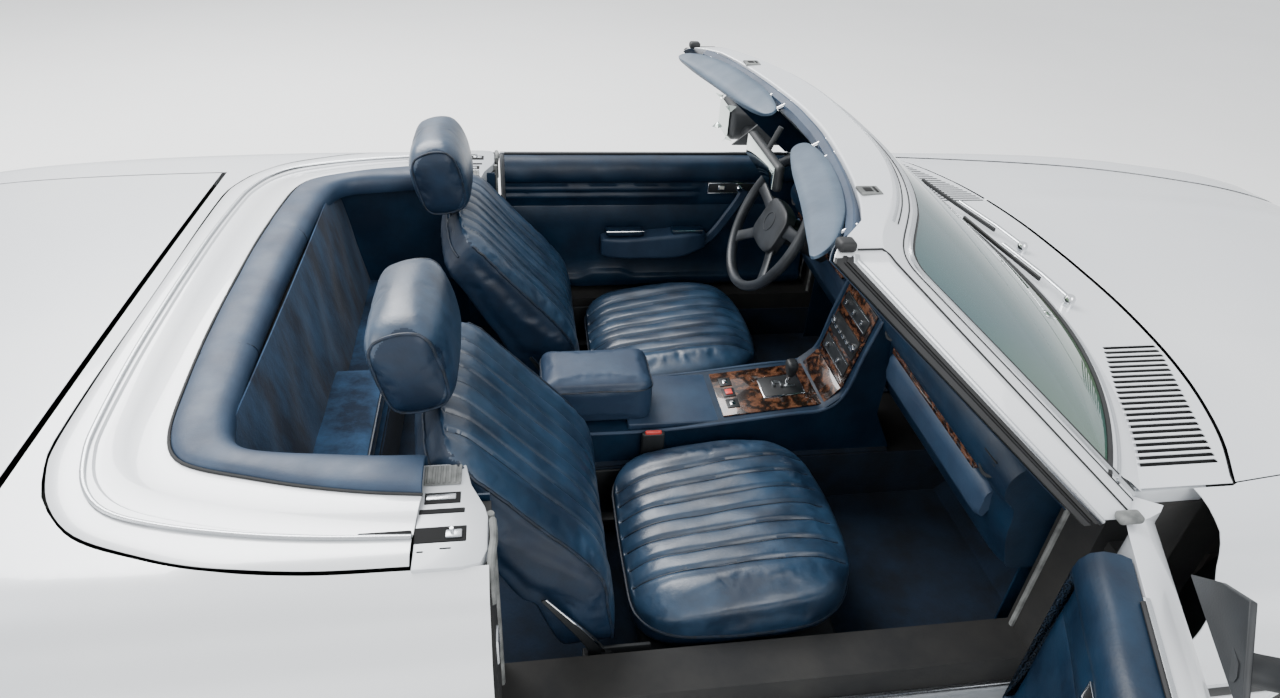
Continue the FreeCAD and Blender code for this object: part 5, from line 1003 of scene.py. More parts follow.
# %% Lines round the back of the cockpit, left half from the door post to the centre
LID_LINE = [(-0.712, 0.796), (-0.857, 0.792), (-0.990, 0.774), (-1.090, 0.742), (-1.184, 0.697),
            (-1.243, 0.633), (-1.276, 0.560), (-1.290, 0.489), (-1.294, 0.300), (-1.294, 0.0)]
BEAD_LINE = [(-0.712, 0.752), (-0.830, 0.744), (-0.950, 0.728), (-1.075, 0.700), (-1.162, 0.664),
             (-1.211, 0.606), (-1.238, 0.530), (-1.250, 0.450), (-1.262, 0.250), (-1.265, 0.0)]
STEP_LINE = [(-0.712, 0.742), (-0.830, 0.732), (-0.940, 0.714), (-1.050, 0.684), (-1.140, 0.645),
             (-1.195, 0.590), (-1.224, 0.520), (-1.236, 0.445), (-1.246, 0.250), (-1.249, 0.0)]
BAND_LINE = [(-0.702, 0.662), (-0.790, 0.650), (-0.885, 0.629), (-0.965, 0.605), (-1.043, 0.578),
             (-1.086, 0.548), (-1.110, 0.495), (-1.122, 0.406), (-1.134, 0.200), (-1.136, 0.0)]
BAND_IN_LINE = [(-0.702, 0.570), (-0.780, 0.566), (-0.860, 0.557), (-0.930, 0.549), (-0.985, 0.535),
                (-1.016, 0.505), (-1.029, 0.455), (-1.036, 0.380), (-1.044, 0.200), (-1.046, 0.0)]
ROUND_COUNT = 121


def whole_line(half_line, height=0.0):
    """A line round the back from the left door post to the right one, evenly spaced."""
    left = [Vector((x, y, height)) for x, y in half_line]
    smooth = smooth_line(left, 12)
    both = smooth + [Vector((point.x, -point.y, point.z)) for point in reversed(smooth[:-1])]
    return resampled(both, ROUND_COUNT)


round_lines = {name: whole_line(line) for name, line in (
    ("lid", LID_LINE), ("bead", BEAD_LINE), ("step", STEP_LINE), ("band", BAND_LINE),
    ("band_in", BAND_IN_LINE))}


def between(first, second, share, u):
    """A plan point at a share of the way from one round line to the next."""
    index = round(u * (ROUND_COUNT - 1))
    return mix(round_lines[first][index], round_lines[second][index], share)


# Rows of the lid from its seam to the band: (from line, to line, share, lift over the body)
LID_ROWS = [("lid", "bead", 0.00, 0.000), ("lid", "bead", 0.03, 0.0005),
            ("lid", "bead", 0.30, 0.0022), ("lid", "bead", 0.60, 0.0026),
            ("lid", "bead", 0.90, 0.0012), ("lid", "bead", 1.0, 0.0005),
            ("step", "band", 0.0, 0.0000), ("step", "band", 0.03, -0.0045),
            ("step", "band", 0.10, -0.0060), ("step", "band", 0.40, 0.002),
            ("step", "band", 0.70, 0.006), ("step", "band", 0.90, 0.006),
            ("step", "band", 0.98, 0.002)]


def lid_point(u, v):
    """Soft-top lid net: u round the back, v from the seam to the band."""
    first, second, share, lift = LID_ROWS[round(v * (len(LID_ROWS) - 1))]
    plan = between(first, second, share, u)
    return Vector((plan.x, plan.y, roof_z(plan.x, plan.y) + lift))


lid = walled(grid(ROUND_COUNT - 1, len(LID_ROWS) - 1, lid_point), 0.0025)
keep("soft_top_lid_skin", lid, "soft_top_lid", PAINT, edge=0.0005, stands_for=["soft_top_lid"])

# Thin dark lines at both edges of the bead: partly the seam, partly painted shadow under the raised
# bead.
bead_path, bead_shadows = [], [[], []]
for index in range(ROUND_COUNT):
    plan = mix(round_lines["bead"][index], round_lines["step"][index], 0.35)
    bead_path.append(Vector((plan.x, plan.y, roof_z(plan.x, plan.y) + 0.0035)))
    for shadow, share in zip(bead_shadows, (0.24, 0.47)):
        plan = mix(round_lines["bead"][index], round_lines["step"][index], share)
        shadow.append(Vector((plan.x, plan.y, roof_z(plan.x, plan.y) + 0.0024)))
keep("lid_bead", swept(bead_path, ring(0.0042, 0.0034, 10)), "soft_top_lid", SATIN)
keep("lid_bead_seam_and_painted_shadow", joined(*[swept(shadow, ring(0.0012, 0.0012, 6)) for shadow in bead_shadows]),
     "soft_top_lid", RUBBER)

# %% [markdown]
# The padded band is foam under vinyl, mitred and sewn at its two rear corners.  It curves over
# from the painted lid and rolls down into the cockpit, so its section is a low dome with a lip.

# %% Padded band round the cockpit
# Section of the band across its width: (share from outside to inside, height over the body)
BAND_ROWS = [(-0.06, 0.000), (-0.05, 0.006), (0.0, 0.0125), (0.12, 0.0165), (0.30, 0.0185),
             (0.50, 0.0185), (0.70, 0.0165), (0.85, 0.0110), (0.95, 0.0020), (1.00, -0.010),
             (1.0, -0.024), (0.95, -0.034)]
MITRE_SHARES = (0.355, 0.645)


def band_point(u, v):
    """Band net: u round the back, v across and down into the cockpit."""
    share, lift = BAND_ROWS[round(v * (len(BAND_ROWS) - 1))]
    plan = between("band", "band_in", share, u)
    crease = sum(math.exp(-((u - place) / 0.0035) ** 2) for place in MITRE_SHARES)
    wave = 0.0009 * math.sin(u * 61) * math.sin(v * 5)
    height = roof_z(plan.x, plan.y) + lift - 0.0035 * crease * ease(lift, -0.02, 0.01) + wave
    return Vector((plan.x, plan.y, height))


band = walled(grid(ROUND_COUNT - 1, len(BAND_ROWS) - 1, band_point), 0.004)
keep("deck_band", band, "soft_top_lid", VINYL, stands_for=["deck_trim"], smooth=1, sharp=60)
for share in MITRE_SHARES:
    seam_line = [band_point(share, step / (len(BAND_ROWS) - 1)) + Vector((0, 0, 0.0008))
                 for step in range(len(BAND_ROWS))]
    name = "left" if share < 0.5 else "right"
    keep("deck_band_seam_" + name, swept(seam_line, ring(0.0013, 0.0011, 6)), "soft_top_lid",
         PIPING)
edge_path = [between("band", "band_in", -0.075, step / (ROUND_COUNT - 1))
             for step in range(ROUND_COUNT)]
edge_path = [Vector((point.x, point.y, roof_z(point.x, point.y) + 0.0065)) for point in edge_path]
keep("deck_band_edge", swept(edge_path, ring(0.0028, 0.0028, 8)), "soft_top_lid", RUBBER)

# %% [markdown]
# ## The windscreen
#
# The frame is two pillars and a header, pressed in white steel.  Bright strips and rubber
# carry the seals for the roof and the side glass.  The glass is a sheet curved both ways, a little
# green, set in a black rubber edge; its colour also carries a painted reflection of trees and
# grass.

# %% Windscreen lines
SCREEN_BASE, SCREEN_TOP = (0.660, 0.812, 0.404, 0.872), (0.147, 0.580, -0.024, 1.250)


def screen_point(across, height):
    """A point of the screen's front surface: across from -1 to 1, height from 0 to 1."""
    front = mix(SCREEN_BASE[0], SCREEN_TOP[0], height)
    half = mix(SCREEN_BASE[1], SCREEN_TOP[1], height)
    end = mix(SCREEN_BASE[2], SCREEN_TOP[2], height)
    sweep = abs(across) ** 2.6
    belly = 0.014 * math.sin(math.pi * height)
    return Vector((mix(front, end, sweep) + belly * (1 - sweep), across * half,
                   mix(SCREEN_BASE[3], SCREEN_TOP[3], height)))


def glass_point(u, v):
    """Glass net inside the frame."""
    across = (2 * u - 1) * 0.955
    point = screen_point(across, mix(0.02, 0.945, v))
    return point + Vector((-0.006, 0, 0))


glass = grid(56, 28, glass_point)
keep("windscreen_pane", walled(glass, 0.005), "body", GLASS_TINT_AND_PAINTED_REFLECTION, stands_for=["windscreen_glass"])

# %% Frame of pillars and header
FRAME_STEPS = 160
PILLAR_SHARE = 0.34
HEADER_REAR = [(0.0, 0.075), (0.13, 0.0735), (0.37, 0.058), (0.575, 0.038), (0.74, 0.014),
               (0.83, -0.004), (0.92, -0.026), (1.0, -0.055)]
RAIL_TOP = {0: 0.905, 1: 1.0, 2: 1.0, 3: 1.0, 4: 0.905, 5: 0.905}


def pillar_corner(rail, share):
    """Corner line of the left pillar at a share of its height."""
    height = mix(-0.004, RAIL_TOP[rail], share)
    half = mix(SCREEN_BASE[1], SCREEN_TOP[1], height)
    edge = (half - mix(0.060, 0.040, share)) / half
    end = screen_point(1.0, height)
    if rail == 0:
        return screen_point(edge, height)
    if rail == 5:
        return screen_point(edge, height) + Vector((-0.040, 0, 0))
    if rail == 4:
        return end + Vector((-0.088, -0.040, 0))
    return end + Vector(((0, -0.050, -0.090)[rail - 1], (0, 0, -0.003)[rail - 1], 0))


def header_corner(rail, across):
    """Corner line of the header at a share of its half width."""
    rear = along(HEADER_REAR, across)
    edge = (SCREEN_TOP[1] - 0.036) / SCREEN_TOP[1]
    front_top = screen_point(across, 1.0)
    rear_top = Vector((rear, across * (SCREEN_TOP[1] - 0.003), 1.246))
    if rail == 0:
        return screen_point(edge * across, 0.905)
    if rail == 1:
        return front_top
    if rail == 2:
        return mix(front_top, rear_top, 0.55) + Vector((0, 0, 0.0005))
    if rail == 3:
        return rear_top
    if rail == 4:
        return Vector((mix(rear - 0.010, rear + 0.030, across ** 3), across * 0.557, 1.2165))
    return screen_point(edge * across, 0.905) + Vector((-0.040, 0, 0.0))


def frame_rail(rail, share):
    """A corner line of the frame: up the left pillar, over the header, down the right pillar."""
    near = min(share, 1 - share)
    if near < PILLAR_SHARE:
        point = pillar_corner(rail, near / PILLAR_SHARE)
    else:
        point = header_corner(rail, (0.5 - near) / (0.5 - PILLAR_SHARE))
    return point if share <= 0.5 else Vector((point.x, -point.y, point.z))


FRAME_LINES = {}
for rail in RAIL_TOP:
    line = [frame_rail(rail, step / FRAME_STEPS) for step in range(FRAME_STEPS + 1)]
    for turn in range(10):
        middle = [(before + after) / 2 for before, after in zip(line, line[2:])]
        for index in range(1, FRAME_STEPS):
            share = min(index, FRAME_STEPS - index) / FRAME_STEPS
            if abs(share - PILLAR_SHARE) < (0.035 if rail in (0, 5) else 0.02):
                line[index] = mix(line[index], middle[index - 1], 0.6)
    FRAME_LINES[rail] = line


def frame_point(share, across):
    """A point of the frame: share round it, and across from corner line to corner line."""
    index = round(share * FRAME_STEPS)
    rail = int(across)
    return mix(FRAME_LINES[rail % 6][index], FRAME_LINES[(rail + 1) % 6][index], across - rail)


frame_rows = (0, 0.5, 1, 1.5, 2, 2.5, 3, 3.5, 4, 4.5, 5, 5.5)


def frame_place(u, v):
    """Closed net round the frame's section."""
    return frame_point(u, frame_rows[round(v * 12) % 12])


keep("windscreen_frame_skin", close_up(grid(FRAME_STEPS, 12, frame_place)), "body", PAINT,
     edge=0.0035, stands_for=["windscreen_frame"], sharp=30)


def frame_strip(across, first, last, lift=Vector()):
    """Points along the frame between two shares, mirrored for the other side by the caller."""
    return [frame_point(step / FRAME_STEPS, across) + lift
            for step in range(round(first * FRAME_STEPS), round(last * FRAME_STEPS) + 1)]


PILLAR_END = PILLAR_SHARE - 0.012
bright, dark, seals, caps_low = [], [], [], []
bright.append(swept(frame_strip(0.12, 0.0, 1.0), ring(0.0045, 0.0045, 8), up=(0, 0, 1)))
bright.append(swept(frame_strip(0.80, PILLAR_SHARE + 0.02, 1 - PILLAR_SHARE - 0.02,
                                Vector((0.0008, 0, 0.0))), ring(0.0028, 0.0028, 8)))
dark.append(swept(frame_strip(0.34, 0.0, 1.0), ring(0.0016, 0.0016, 6)))
dark.append(swept(frame_strip(0.62, PILLAR_SHARE + 0.02, 1 - PILLAR_SHARE - 0.02),
                  ring(0.0014, 0.0014, 6)))
for mirror in (Matrix(), FLIP):
    bright.append(copied(swept(frame_strip(2.0, 0.0, PILLAR_END, Vector((-0.003, 0.0012, 0))),
                               ring(0.0060, 0.0052, 10), up=(0, 1, 0)), mirror))
    pillar_line = frame_strip(0.86, 0.0, PILLAR_END - 0.01, Vector((0.0006, 0.0006, 0)))
    over = [mix(frame_point(PILLAR_END, 0.86), frame_point(PILLAR_END + 0.004, 1.1), step / 4)
            for step in range(1, 4)]
    over += [frame_point(PILLAR_END + 0.006, mix(1.1, 2.0, step / 8)) for step in range(9)]
    dark.append(copied(swept(pillar_line + [point + Vector((0, 0.0012, 0.0006)) for point in over],
                             ring(0.0018, 0.0018, 6), up=(0, 1, 0)), mirror))

    def seal_place(u, v, mirror=mirror):
        rows = ((2.22, 0.001), (2.24, 0.0045), (2.42, 0.0055), (2.47, 0.0010), (2.58, 0.0010),
                (2.64, 0.008), (2.92, 0.009), (3.02, 0.006), (3.10, 0.004), (3.10, -0.004))
        across, lift = rows[round(v * 9)]
        return mirror @ (frame_point(u * PILLAR_END, across) + Vector((0, lift, 0)))

    seals.append(walled(grid(54, 9, seal_place), 0.0015))
    top = mirror @ frame_point(PILLAR_SHARE, 2.5)
    low, high = (min(top.y, top.y * 1.03), max(top.y, top.y * 1.03))
    seals.append(bar((top.x - 0.022, low - 0.004, 1.234), (top.x + 0.006, high + 0.006, 1.2515),
                     0.006, 3))
    foot = mirror @ frame_point(0.0, 1.2)
    caps_low.append(bar((foot.x - 0.020, foot.y - 0.014, 0.871),
                        (foot.x + 0.022, foot.y + 0.010, 0.886),
                        0.006, 3))
keep("windscreen_bright_strips", joined(*bright), "body", SATIN)
keep("windscreen_dark_lines", joined(*dark), "body", RUBBER)
keep("pillar_seals", joined(*seals), "body", RUBBER)
keep("pillar_foot_caps", joined(*caps_low), "body", GREY_RUBBER)

# %% Lower edge of the screen
def base_place(u, v):
    """Painted strip between the cowl and the glass."""
    rows = ((-0.012, 0.012), (0.030, 0.010), (0.052, 0.004), (0.075, -0.002), (0.086, -0.014),
            (0.02, -0.030))
    height, forward = rows[round(v * 5)]
    return screen_point((2 * u - 1) * 0.925, height) + Vector((forward, 0, 0))


keep("screen_base_strip", walled(grid(80, 5, base_place), 0.0012), "body", PAINT, edge=0.0006)
for name, height, forward, reach, material in (("rubber", 0.092, -0.004, 0.0055, RUBBER),
                                               ("bright", 0.066, 0.0030, 0.0032, SATIN)):
    base_line = [screen_point((2 * step / 100 - 1) * 0.95, height) + Vector((forward, 0, 0))
                 for step in range(101)]
    keep("screen_base_" + name, swept(base_line, ring(reach, reach, 8)), "body", material)
edge_line = [frame_point(step / FRAME_STEPS, 0) + Vector((-0.004, 0, 0))
             for step in range(FRAME_STEPS + 1)]
keep("screen_side_rubber", swept(edge_line, ring(0.006, 0.006, 8)), "body", RUBBER)

# %% Inner covers, header roll, visors and mirror
def cover_place(u, v):
    """Inner cover of the left pillar."""
    rows = ((3.05, -0.004), (3.5, -0.006), (4.0, -0.007), (4.5, -0.008), (5.0, -0.007),
            (5.45, -0.003))
    across, inward = rows[round(v * 5)]
    return frame_point(mix(0.014, PILLAR_SHARE, u), across) + Vector((-0.003, inward, 0))


keep("pillar_inner_covers", mirrored(walled(grid(54, 5, cover_place), 0.002)), "body", VINYL_DARK)
roll_line = [header_corner(3, abs(1 - step / 40)) for step in range(3, 78)]
roll_line = [Vector((point.x - 0.010, point.y if step < 38 else -point.y, 1.2245))
             for step, point in enumerate(roll_line)]
keep("header_roll", swept(roll_line, box_ring(0.024, 0.036, 0.010)), "body", VINYL)


def under_header(u, v):
    """Trim below the header."""
    across = 2 * u - 1
    rear = header_corner(4, abs(across)) + Vector((-0.01, 0, -0.002))
    front = header_corner(5, abs(across)) + Vector((0.03, 0, -0.003))
    point = mix(rear, front, v)
    return Vector((point.x, point.y * (1 if across >= 0 else -1), point.z))


keep("header_under_trim", walled(grid(40, 4, under_header), 0.002), "body", VINYL_DARK)
keep("header_latch_plates", mirrored(bar((0.026, 0.373, 1.2455), (0.064, 0.407, 1.2510))), "body",
     GREY_RUBBER)
keep("header_latch_holes", mirrored(bar((0.034, 0.381, 1.2480), (0.050, 0.399, 1.2518)),
                                    bar((0.053, 0.378, 1.2480), (0.058, 0.402, 1.2518), 0.001)),
     "body", DARK_VOID)

VISOR_MIDDLE, VISOR_HALF, VISOR_DROP, VISOR_THICK = 0.330, 0.234, 0.038, 0.0125
visor_down, visor_out = Vector((-0.91, 0, -0.41)), Vector((-0.41, 0, 0.91))
pad = soft_box((-1, -1, -1), (1, 1, 1), 0.5, 0.10)
for vert in pad.verts:
    a, b, c = vert.co
    a, b = rounded_plan(a, b, 0.72)
    swell = (1 - 0.55 * a ** 4) * (1 - 0.45 * b ** 4)
    y = VISOR_MIDDLE + a * VISOR_HALF
    hinge = Vector((along(HEADER_REAR, y / SCREEN_TOP[1]) - 0.020, y, 1.234))
    vert.co = hinge + visor_down * (b + 1) * VISOR_DROP + visor_out * c * VISOR_THICK * swell
arms = []
for y in (0.118, 0.190, 0.500):
    rear = along(HEADER_REAR, y / SCREEN_TOP[1])
    arms.append(swept([(rear - 0.004, y, 1.238), (rear - 0.034, y, 1.222)], ring(0.005, 0.005, 12),
                      up=(0, 1, 0)))
keep("sun_visor_pads", mirrored(pad), "body", VISOR, stands_for=["sun_visors"], smooth=1, sharp=80)
keep("sun_visor_arms", mirrored(*arms), "body", CHROME)
mirror_shell = soft_box((-0.026, -0.112, 1.121), (-0.004, 0.112, 1.179), 0.010, 0.012)
keep("mirror_shell", mirror_shell, "body", PLASTIC, stands_for=["interior_mirror"], sharp=70)
keep("mirror_pane", bar((-0.0275, -0.104, 1.127), (-0.0255, 0.104, 1.173), 0.0008), "body", MIRROR)
keep("mirror_stem", swept([(-0.010, 0, 1.175), (0.010, 0, 1.222)], ring(0.006, 0.006, 12),
                          up=(0, 1, 0)), "body", PLASTIC)

# %% [markdown]
# The wipers are flat steel arms with a brushed bright finish and rubber blades.  Their pivots
# stand in the cowl under chromed caps, and the blades rest against the foot of the glass.  Each is
# a strip carried along a few points from its pivot, since one heading then turns the whole wiper.

# %% Wipers
arms, blades, caps = [], [], []
for pivot_x, pivot_y, turn_angle, length in ((0.700, 0.050, -11, 0.42), (0.668, -0.205, -6, 0.42)):
    pivot = Vector((pivot_x, pivot_y, 0.905))
    heading = Vector((math.sin(math.radians(turn_angle)), math.cos(math.radians(turn_angle)), 0))
    caps.append(turned([(-0.020, 0.0), (-0.020, 0.013), (0.004, 0.013), (0.010, 0.009),
                        (0.011, 0.0)], 28, pivot, (0, 0, 1)))
    tip = pivot + heading * length * 0.96 + Vector((0, 0, 0.010))
    arms.append(swept([pivot + Vector((0, 0, 0.004)), mix(pivot, tip, 0.25) + Vector((0, 0, 0.008)),
                       mix(pivot, tip, 0.62) + Vector((0, 0, 0.006))],
                      box_ring(0.010, 0.005, 0.0015)))
    blade_start, blade_end = mix(pivot, tip, 0.22), tip
    aside = Vector((-0.012, 0, 0.001))
    blades.append(swept([blade_start + aside, mix(blade_start, blade_end, 0.5) + aside * 1.2,
                         blade_end + aside], box_ring(0.006, 0.010, 0.001)))
keep("wiper_arms", joined(*arms), "body", SATIN, slot="wiper_metal", stands_for=["wipers"])
keep("wiper_blades", joined(*blades), "body", RUBBER)
keep("wiper_caps", joined(*caps), "body", CHROME)
print("windscreen made")

# %% [markdown]
# ## Seats
#
# Each seat is foam in a sewn leather cover: a cushion, a backrest and a head restraint.  The forms
# start as rounded blocks bent to the seat's side view.  A short cloth run under pressure gives
# them their stuffed fullness, and only then are the sewn channels drawn in, because a remesh
# would wipe them out.  One seat is made, and the other is its mirror image.

# %% Stuffing a form
def stuffed(bm, voxel, cap, pressure=4.0, name="stuffing"):
    """Remesh a form and let it swell as cloth under pressure; no point moves more than cap."""
    mesh = bpy.data.meshes.new(name)
    bm.to_mesh(mesh)
    bm.free()
    form = bpy.data.objects.new(name, mesh)
    bpy.context.scene.collection.objects.link(form)
    remesh = form.modifiers.new("Even net", "REMESH")
    remesh.mode = "VOXEL"
    remesh.voxel_size = voxel
    graph = bpy.context.evaluated_depsgraph_get()
    even = bpy.data.meshes.new_from_object(form.evaluated_get(graph))
    form.modifiers.clear()
    form.data = even
    before = [vert.co.copy() for vert in even.vertices]
    after = before
    cloth = form.modifiers.new("Leather cover", "CLOTH")
    cloth.settings.use_pressure = True
    cloth.settings.uniform_pressure_force = pressure
    cloth.settings.effector_weights.gravity = 0.0
    cloth.settings.quality = 4
    for frame_number in range(1, 15):
        bpy.context.scene.frame_set(frame_number)
    graph = bpy.context.evaluated_depsgraph_get()
    after = [vert.co.copy() for vert in form.evaluated_get(graph).data.vertices]
    form.modifiers.clear()
    bpy.context.scene.frame_set(1)
    swollen = bmesh.new()
    swollen.from_mesh(even)
    for vert, start, end in zip(swollen.verts, before, after):
        move = end - start
        vert.co = start + move * min(1.0, cap / max(move.length, 1e-9))
    bpy.data.objects.remove(form)
    bmesh.ops.smooth_vert(swollen, verts=swollen.verts, factor=0.5, use_axis_x=True,
                          use_axis_y=True, use_axis_z=True)
    bmesh.ops.subdivide_edges(swollen, edges=swollen.edges, cuts=1, use_grid_fill=True, smooth=0.6)
    swollen.normal_update()
    return swollen


def laid_on(bm, points, lift):
    """Lay the points of a line on a mesh, lifted off it by a little."""
    tree = BVHTree.FromBMesh(bm)
    result = []
    for point in points:
        place, normal, index, distance = tree.find_nearest(Vector(point))
        result.append(place + normal * lift)
    return result


def pressed_on(bm, points, aim, lift):
    """Lay a line on a mesh along one direction, so that it runs in the bottom of a seam."""
    tree = BVHTree.FromBMesh(bm)
    aim = Vector(aim).normalized()
    result = []
    for point in points:
        place, normal, index, distance = tree.ray_cast(Vector(point) - aim * 0.09, aim)
        if place is None:
            place, normal, index, distance = tree.find_nearest(Vector(point))
        result.append(place - aim * lift)
    return result


# %% [markdown]
# The cushion is 0.50 m wide with a round front.  Its middle has six sewn channels that fan out from
# back to front, a little lower than the smooth borders on both sides.

# %% Seat cushion
SEAT_Y = 0.385
SEAM_OFFSETS = [0.050 * index for index in range(-3, 4)]
CUSHION_MIDDLE, CUSHION_REACH, CUSHION_HALF = -0.1025, 0.2475, 0.252

CUSHION_TOP = [(-1.0, 0.453), (-0.6, 0.488), (0.0, 0.512), (0.5, 0.517), (1.0, 0.500)]


def fan(x):
    """Spread of the channels, wider at the cushion's front."""
    return mix(0.92, 1.06, (x - CUSHION_MIDDLE + CUSHION_REACH) / (2 * CUSHION_REACH))


def channels(across, width=0.0042):
    """Depth share of the sewn channels at a distance from the seat's middle line."""
    seam = sum(math.exp(-((across - offset) / width) ** 2) for offset in SEAM_OFFSETS)
    roll = 0.0
    for first, second in zip(SEAM_OFFSETS, SEAM_OFFSETS[1:]):
        if first < across < second:
            roll = math.sin(math.pi * (across - first) / (second - first))
    return seam, roll


cushion = soft_box((-1, -1, -1), (1, 1, 1), 0.34, 0.12)
for vert in cushion.verts:
    a, b, c = vert.co
    corner = 0.50 if a > 0 else 0.16
    a, b = rounded_plan(a, b, corner)
    top = along(CUSHION_TOP, a)
    tuck = mix(0.90, 1.0, ease(c, -0.7, -0.1))
    vert.co = (CUSHION_MIDDLE + a * CUSHION_REACH * tuck, SEAT_Y + b * CUSHION_HALF * tuck,
               mix(0.318, top, (c + 1) / 2))
cushion = stuffed(cushion, 0.0085, 0.006)
for vert in cushion.verts:
    across = vert.co.y - SEAT_Y
    facing = ease(vert.normal.z, 0.35, 0.8)
    front = 1 - ease(vert.co.x, 0.085, 0.128)
    inside = 1 - ease(abs(across), 0.152, 0.176)
    seam, roll = channels(across / fan(vert.co.x))
    vert.co.z += facing * front * (0.0022 * roll - 0.0085 * seam - 0.005 * inside)
    hollow = math.exp(-((vert.co.x + 0.17) / 0.13) ** 2 - (across / 0.17) ** 2)
    vert.co.z -= facing * 0.010 * hollow
    crease = math.sin(vert.co.x * 47 + across * 21) * math.sin(across * 63 + 1.3)
    vert.co.z += facing * 0.0009 * crease
# The skirt below the piping takes the darker leather copy: painted shade under the cushion's edge.
for face in cushion.faces:
    face.material_index = 1 if face.calc_center_median().z < 0.414 else 0
skirt_line = []
for step in range(120):
    angle = 2 * math.pi * step / 120
    a, b = math.cos(angle) * 1.5, math.sin(angle) * 1.5
    a, b = clamp(a, -1, 1), clamp(b, -1, 1)
    a, b = rounded_plan(a, b, 0.50 if a > 0 else 0.16)
    skirt_line.append((CUSHION_MIDDLE + a * CUSHION_REACH * 1.02,
                       SEAT_Y + b * CUSHION_HALF * 1.02, 0.414))
stitching = [swept(laid_on(cushion, skirt_line, 0.001), ring(0.0032, 0.0032, 7), closed=True)]
for offset in SEAM_OFFSETS:
    seam_line = [(x, SEAT_Y + offset * fan(x), 0.512) for x in spaced(-0.335, 0.108, 61)]
    stitching.append(swept(pressed_on(cushion, seam_line, (0, 0, -1), 0.0008),
                           ring(0.0017, 0.0016, 6)))
cushion_piping = joined(*stitching)
for piece in keep_pair("seat_cushion", cushion, "seat_%s", LEATHER,
                       stands_for=["seat_base_%s"], sharp=80):
    piece.data.materials.append(LEATHER_PAINTED_SHADE)
keep_pair("seat_cushion_piping", cushion_piping, "seat_%s", PIPING)

# %% [markdown]
# The backrest leans back and thins towards its top.  Its front has the same channels, running up
# and over, and its side panels, joined to the front with a piped seam, take a darker copy of the
# leather: painted shade on the faces turned away from the light.

# %% Backrest
BACK_FRONT = [Vector((x, 0, z)) for x, z in (
    (-0.372, 0.372), (-0.378, 0.440), (-0.386, 0.510), (-0.392, 0.560), (-0.412, 0.612),
    (-0.452, 0.668), (-0.510, 0.732), (-0.577, 0.808), (-0.636, 0.874), (-0.688, 0.918))]
BACK_THICK = [(0.0, 0.116), (0.22, 0.150), (0.42, 0.172), (0.60, 0.150), (0.80, 0.124),
              (1.0, 0.104)]
BACK_LINE = resampled(smooth_line(BACK_FRONT, 8), 101)
BACK_HALF = 0.238


def back_place(rise, across, depth):
    """A point of the backrest: rise 0 to 1 along its front, metres across and in depth."""
    position = clamp(rise) * 100
    index = min(int(position), 99)
    point = mix(BACK_LINE[index], BACK_LINE[index + 1], position - index)
    run = (BACK_LINE[min(index + 3, 100)] - BACK_LINE[max(index - 3, 0)]).normalized()
    rear = Vector((-run.z, 0, run.x))
    return point + rear * depth + run * max(0.0, rise - 1) * 0.6 + Vector((0, SEAT_Y + across, 0))


backrest = soft_box((-1, -1, -1), (1, 1, 1), 0.17, 0.09)
for vert in backrest.verts:
    a, b, c = vert.co
    if a > 0:
        a, b = rounded_plan(a, b, 0.24)
        a -= 0.05 * b * b
    thick = along(BACK_THICK, (a + 1) / 2)
    vert.co = back_place((a * 0.985 + 1) / 2, b * BACK_HALF, mix(thick, 0.004, (c + 1) / 2))
backrest = stuffed(backrest, 0.0085, 0.005)
seat_front = BVHTree.FromPolygons([tuple(back_place(row / 20, (col - 0.5) * 0.6, 0))
                                   for row in range(21) for col in (0, 1)],
                                  [(row * 2, row * 2 + 1, row * 2 + 3, row * 2 + 2)
                                   for row in range(20)])
for vert in backrest.verts:
    across = vert.co.y - SEAT_Y
    rise = seat_front.find_nearest(vert.co)[2] / 20
    forward = vert.normal.dot(Vector((0.82, 0, 0.57)))
    facing = ease(forward, 0.25, 0.7)
    inside = 1 - ease(abs(across), 0.152, 0.174)
    foot = ease(vert.co.z, 0.43, 0.47)
    seam, roll = channels(across * mix(1.0, 1.06, rise))
    push = facing * foot * (0.0022 * roll - 0.0085 * seam) - 0.005 * inside * facing * foot
    wear = math.sin(vert.co.z * 41 + across * 17) * math.sin(across * 57 + vert.co.z * 13)
    vert.co += vert.normal * (push + facing * 0.0009 * wear)
# Faces turned to the sides or to the rear take the darker leather copy: painted shade.
for face in backrest.faces:
    face.material_index = 1 if abs(face.normal.y) > 0.72 or face.normal.x < -0.45 else 0
welts = []
for side in (-1, 1):
    edge_line = [back_place(rise, side * (BACK_HALF - 0.002), 0.006)
                 for rise in spaced(0.05, 0.93, 61)]
    welts.append(swept(laid_on(backrest, edge_line, 0.0012), ring(0.0034, 0.0034, 7),
                       up=(0, 1, 0)))
for offset in SEAM_OFFSETS:
    seam_line = [back_place(rise, offset / mix(1.0, 1.06, rise), 0.0)
                 for rise in spaced(0.14, 0.92, 61)]
    welts.append(swept(pressed_on(backrest, seam_line, (-0.82, 0, -0.57), 0.0008),
                       ring(0.0017, 0.0016, 6)))
top_line = [back_place(mix(0.93, 0.96, 1 - abs(2 * step / 60 - 1) ** 3),
                       mix(-1, 1, step / 60) * (BACK_HALF - 0.016), 0.062) for step in range(61)]
welts.append(swept(laid_on(backrest, top_line, 0.0008), ring(0.0030, 0.0030, 7)))
for piece in keep_pair("seat_backrest", backrest, "backrest_%s", LEATHER,
                       stands_for=["seat_back_%s"], sharp=80):
    piece.data.materials.append(LEATHER_PAINTED_SHADE)
keep_pair("seat_backrest_piping", joined(*welts), "backrest_%s", PIPING)

# %% [markdown]
# The head restraint is a loaf of foam with an oval panel sewn into each end, on two chrome rods.

# %% Head restraint
REST_X, REST_Z, REST_HALF_X, REST_HALF_Y, REST_HALF_Z = -0.724, 0.987, 0.068, 0.132, 0.097
REST_TILT = math.radians(-12)


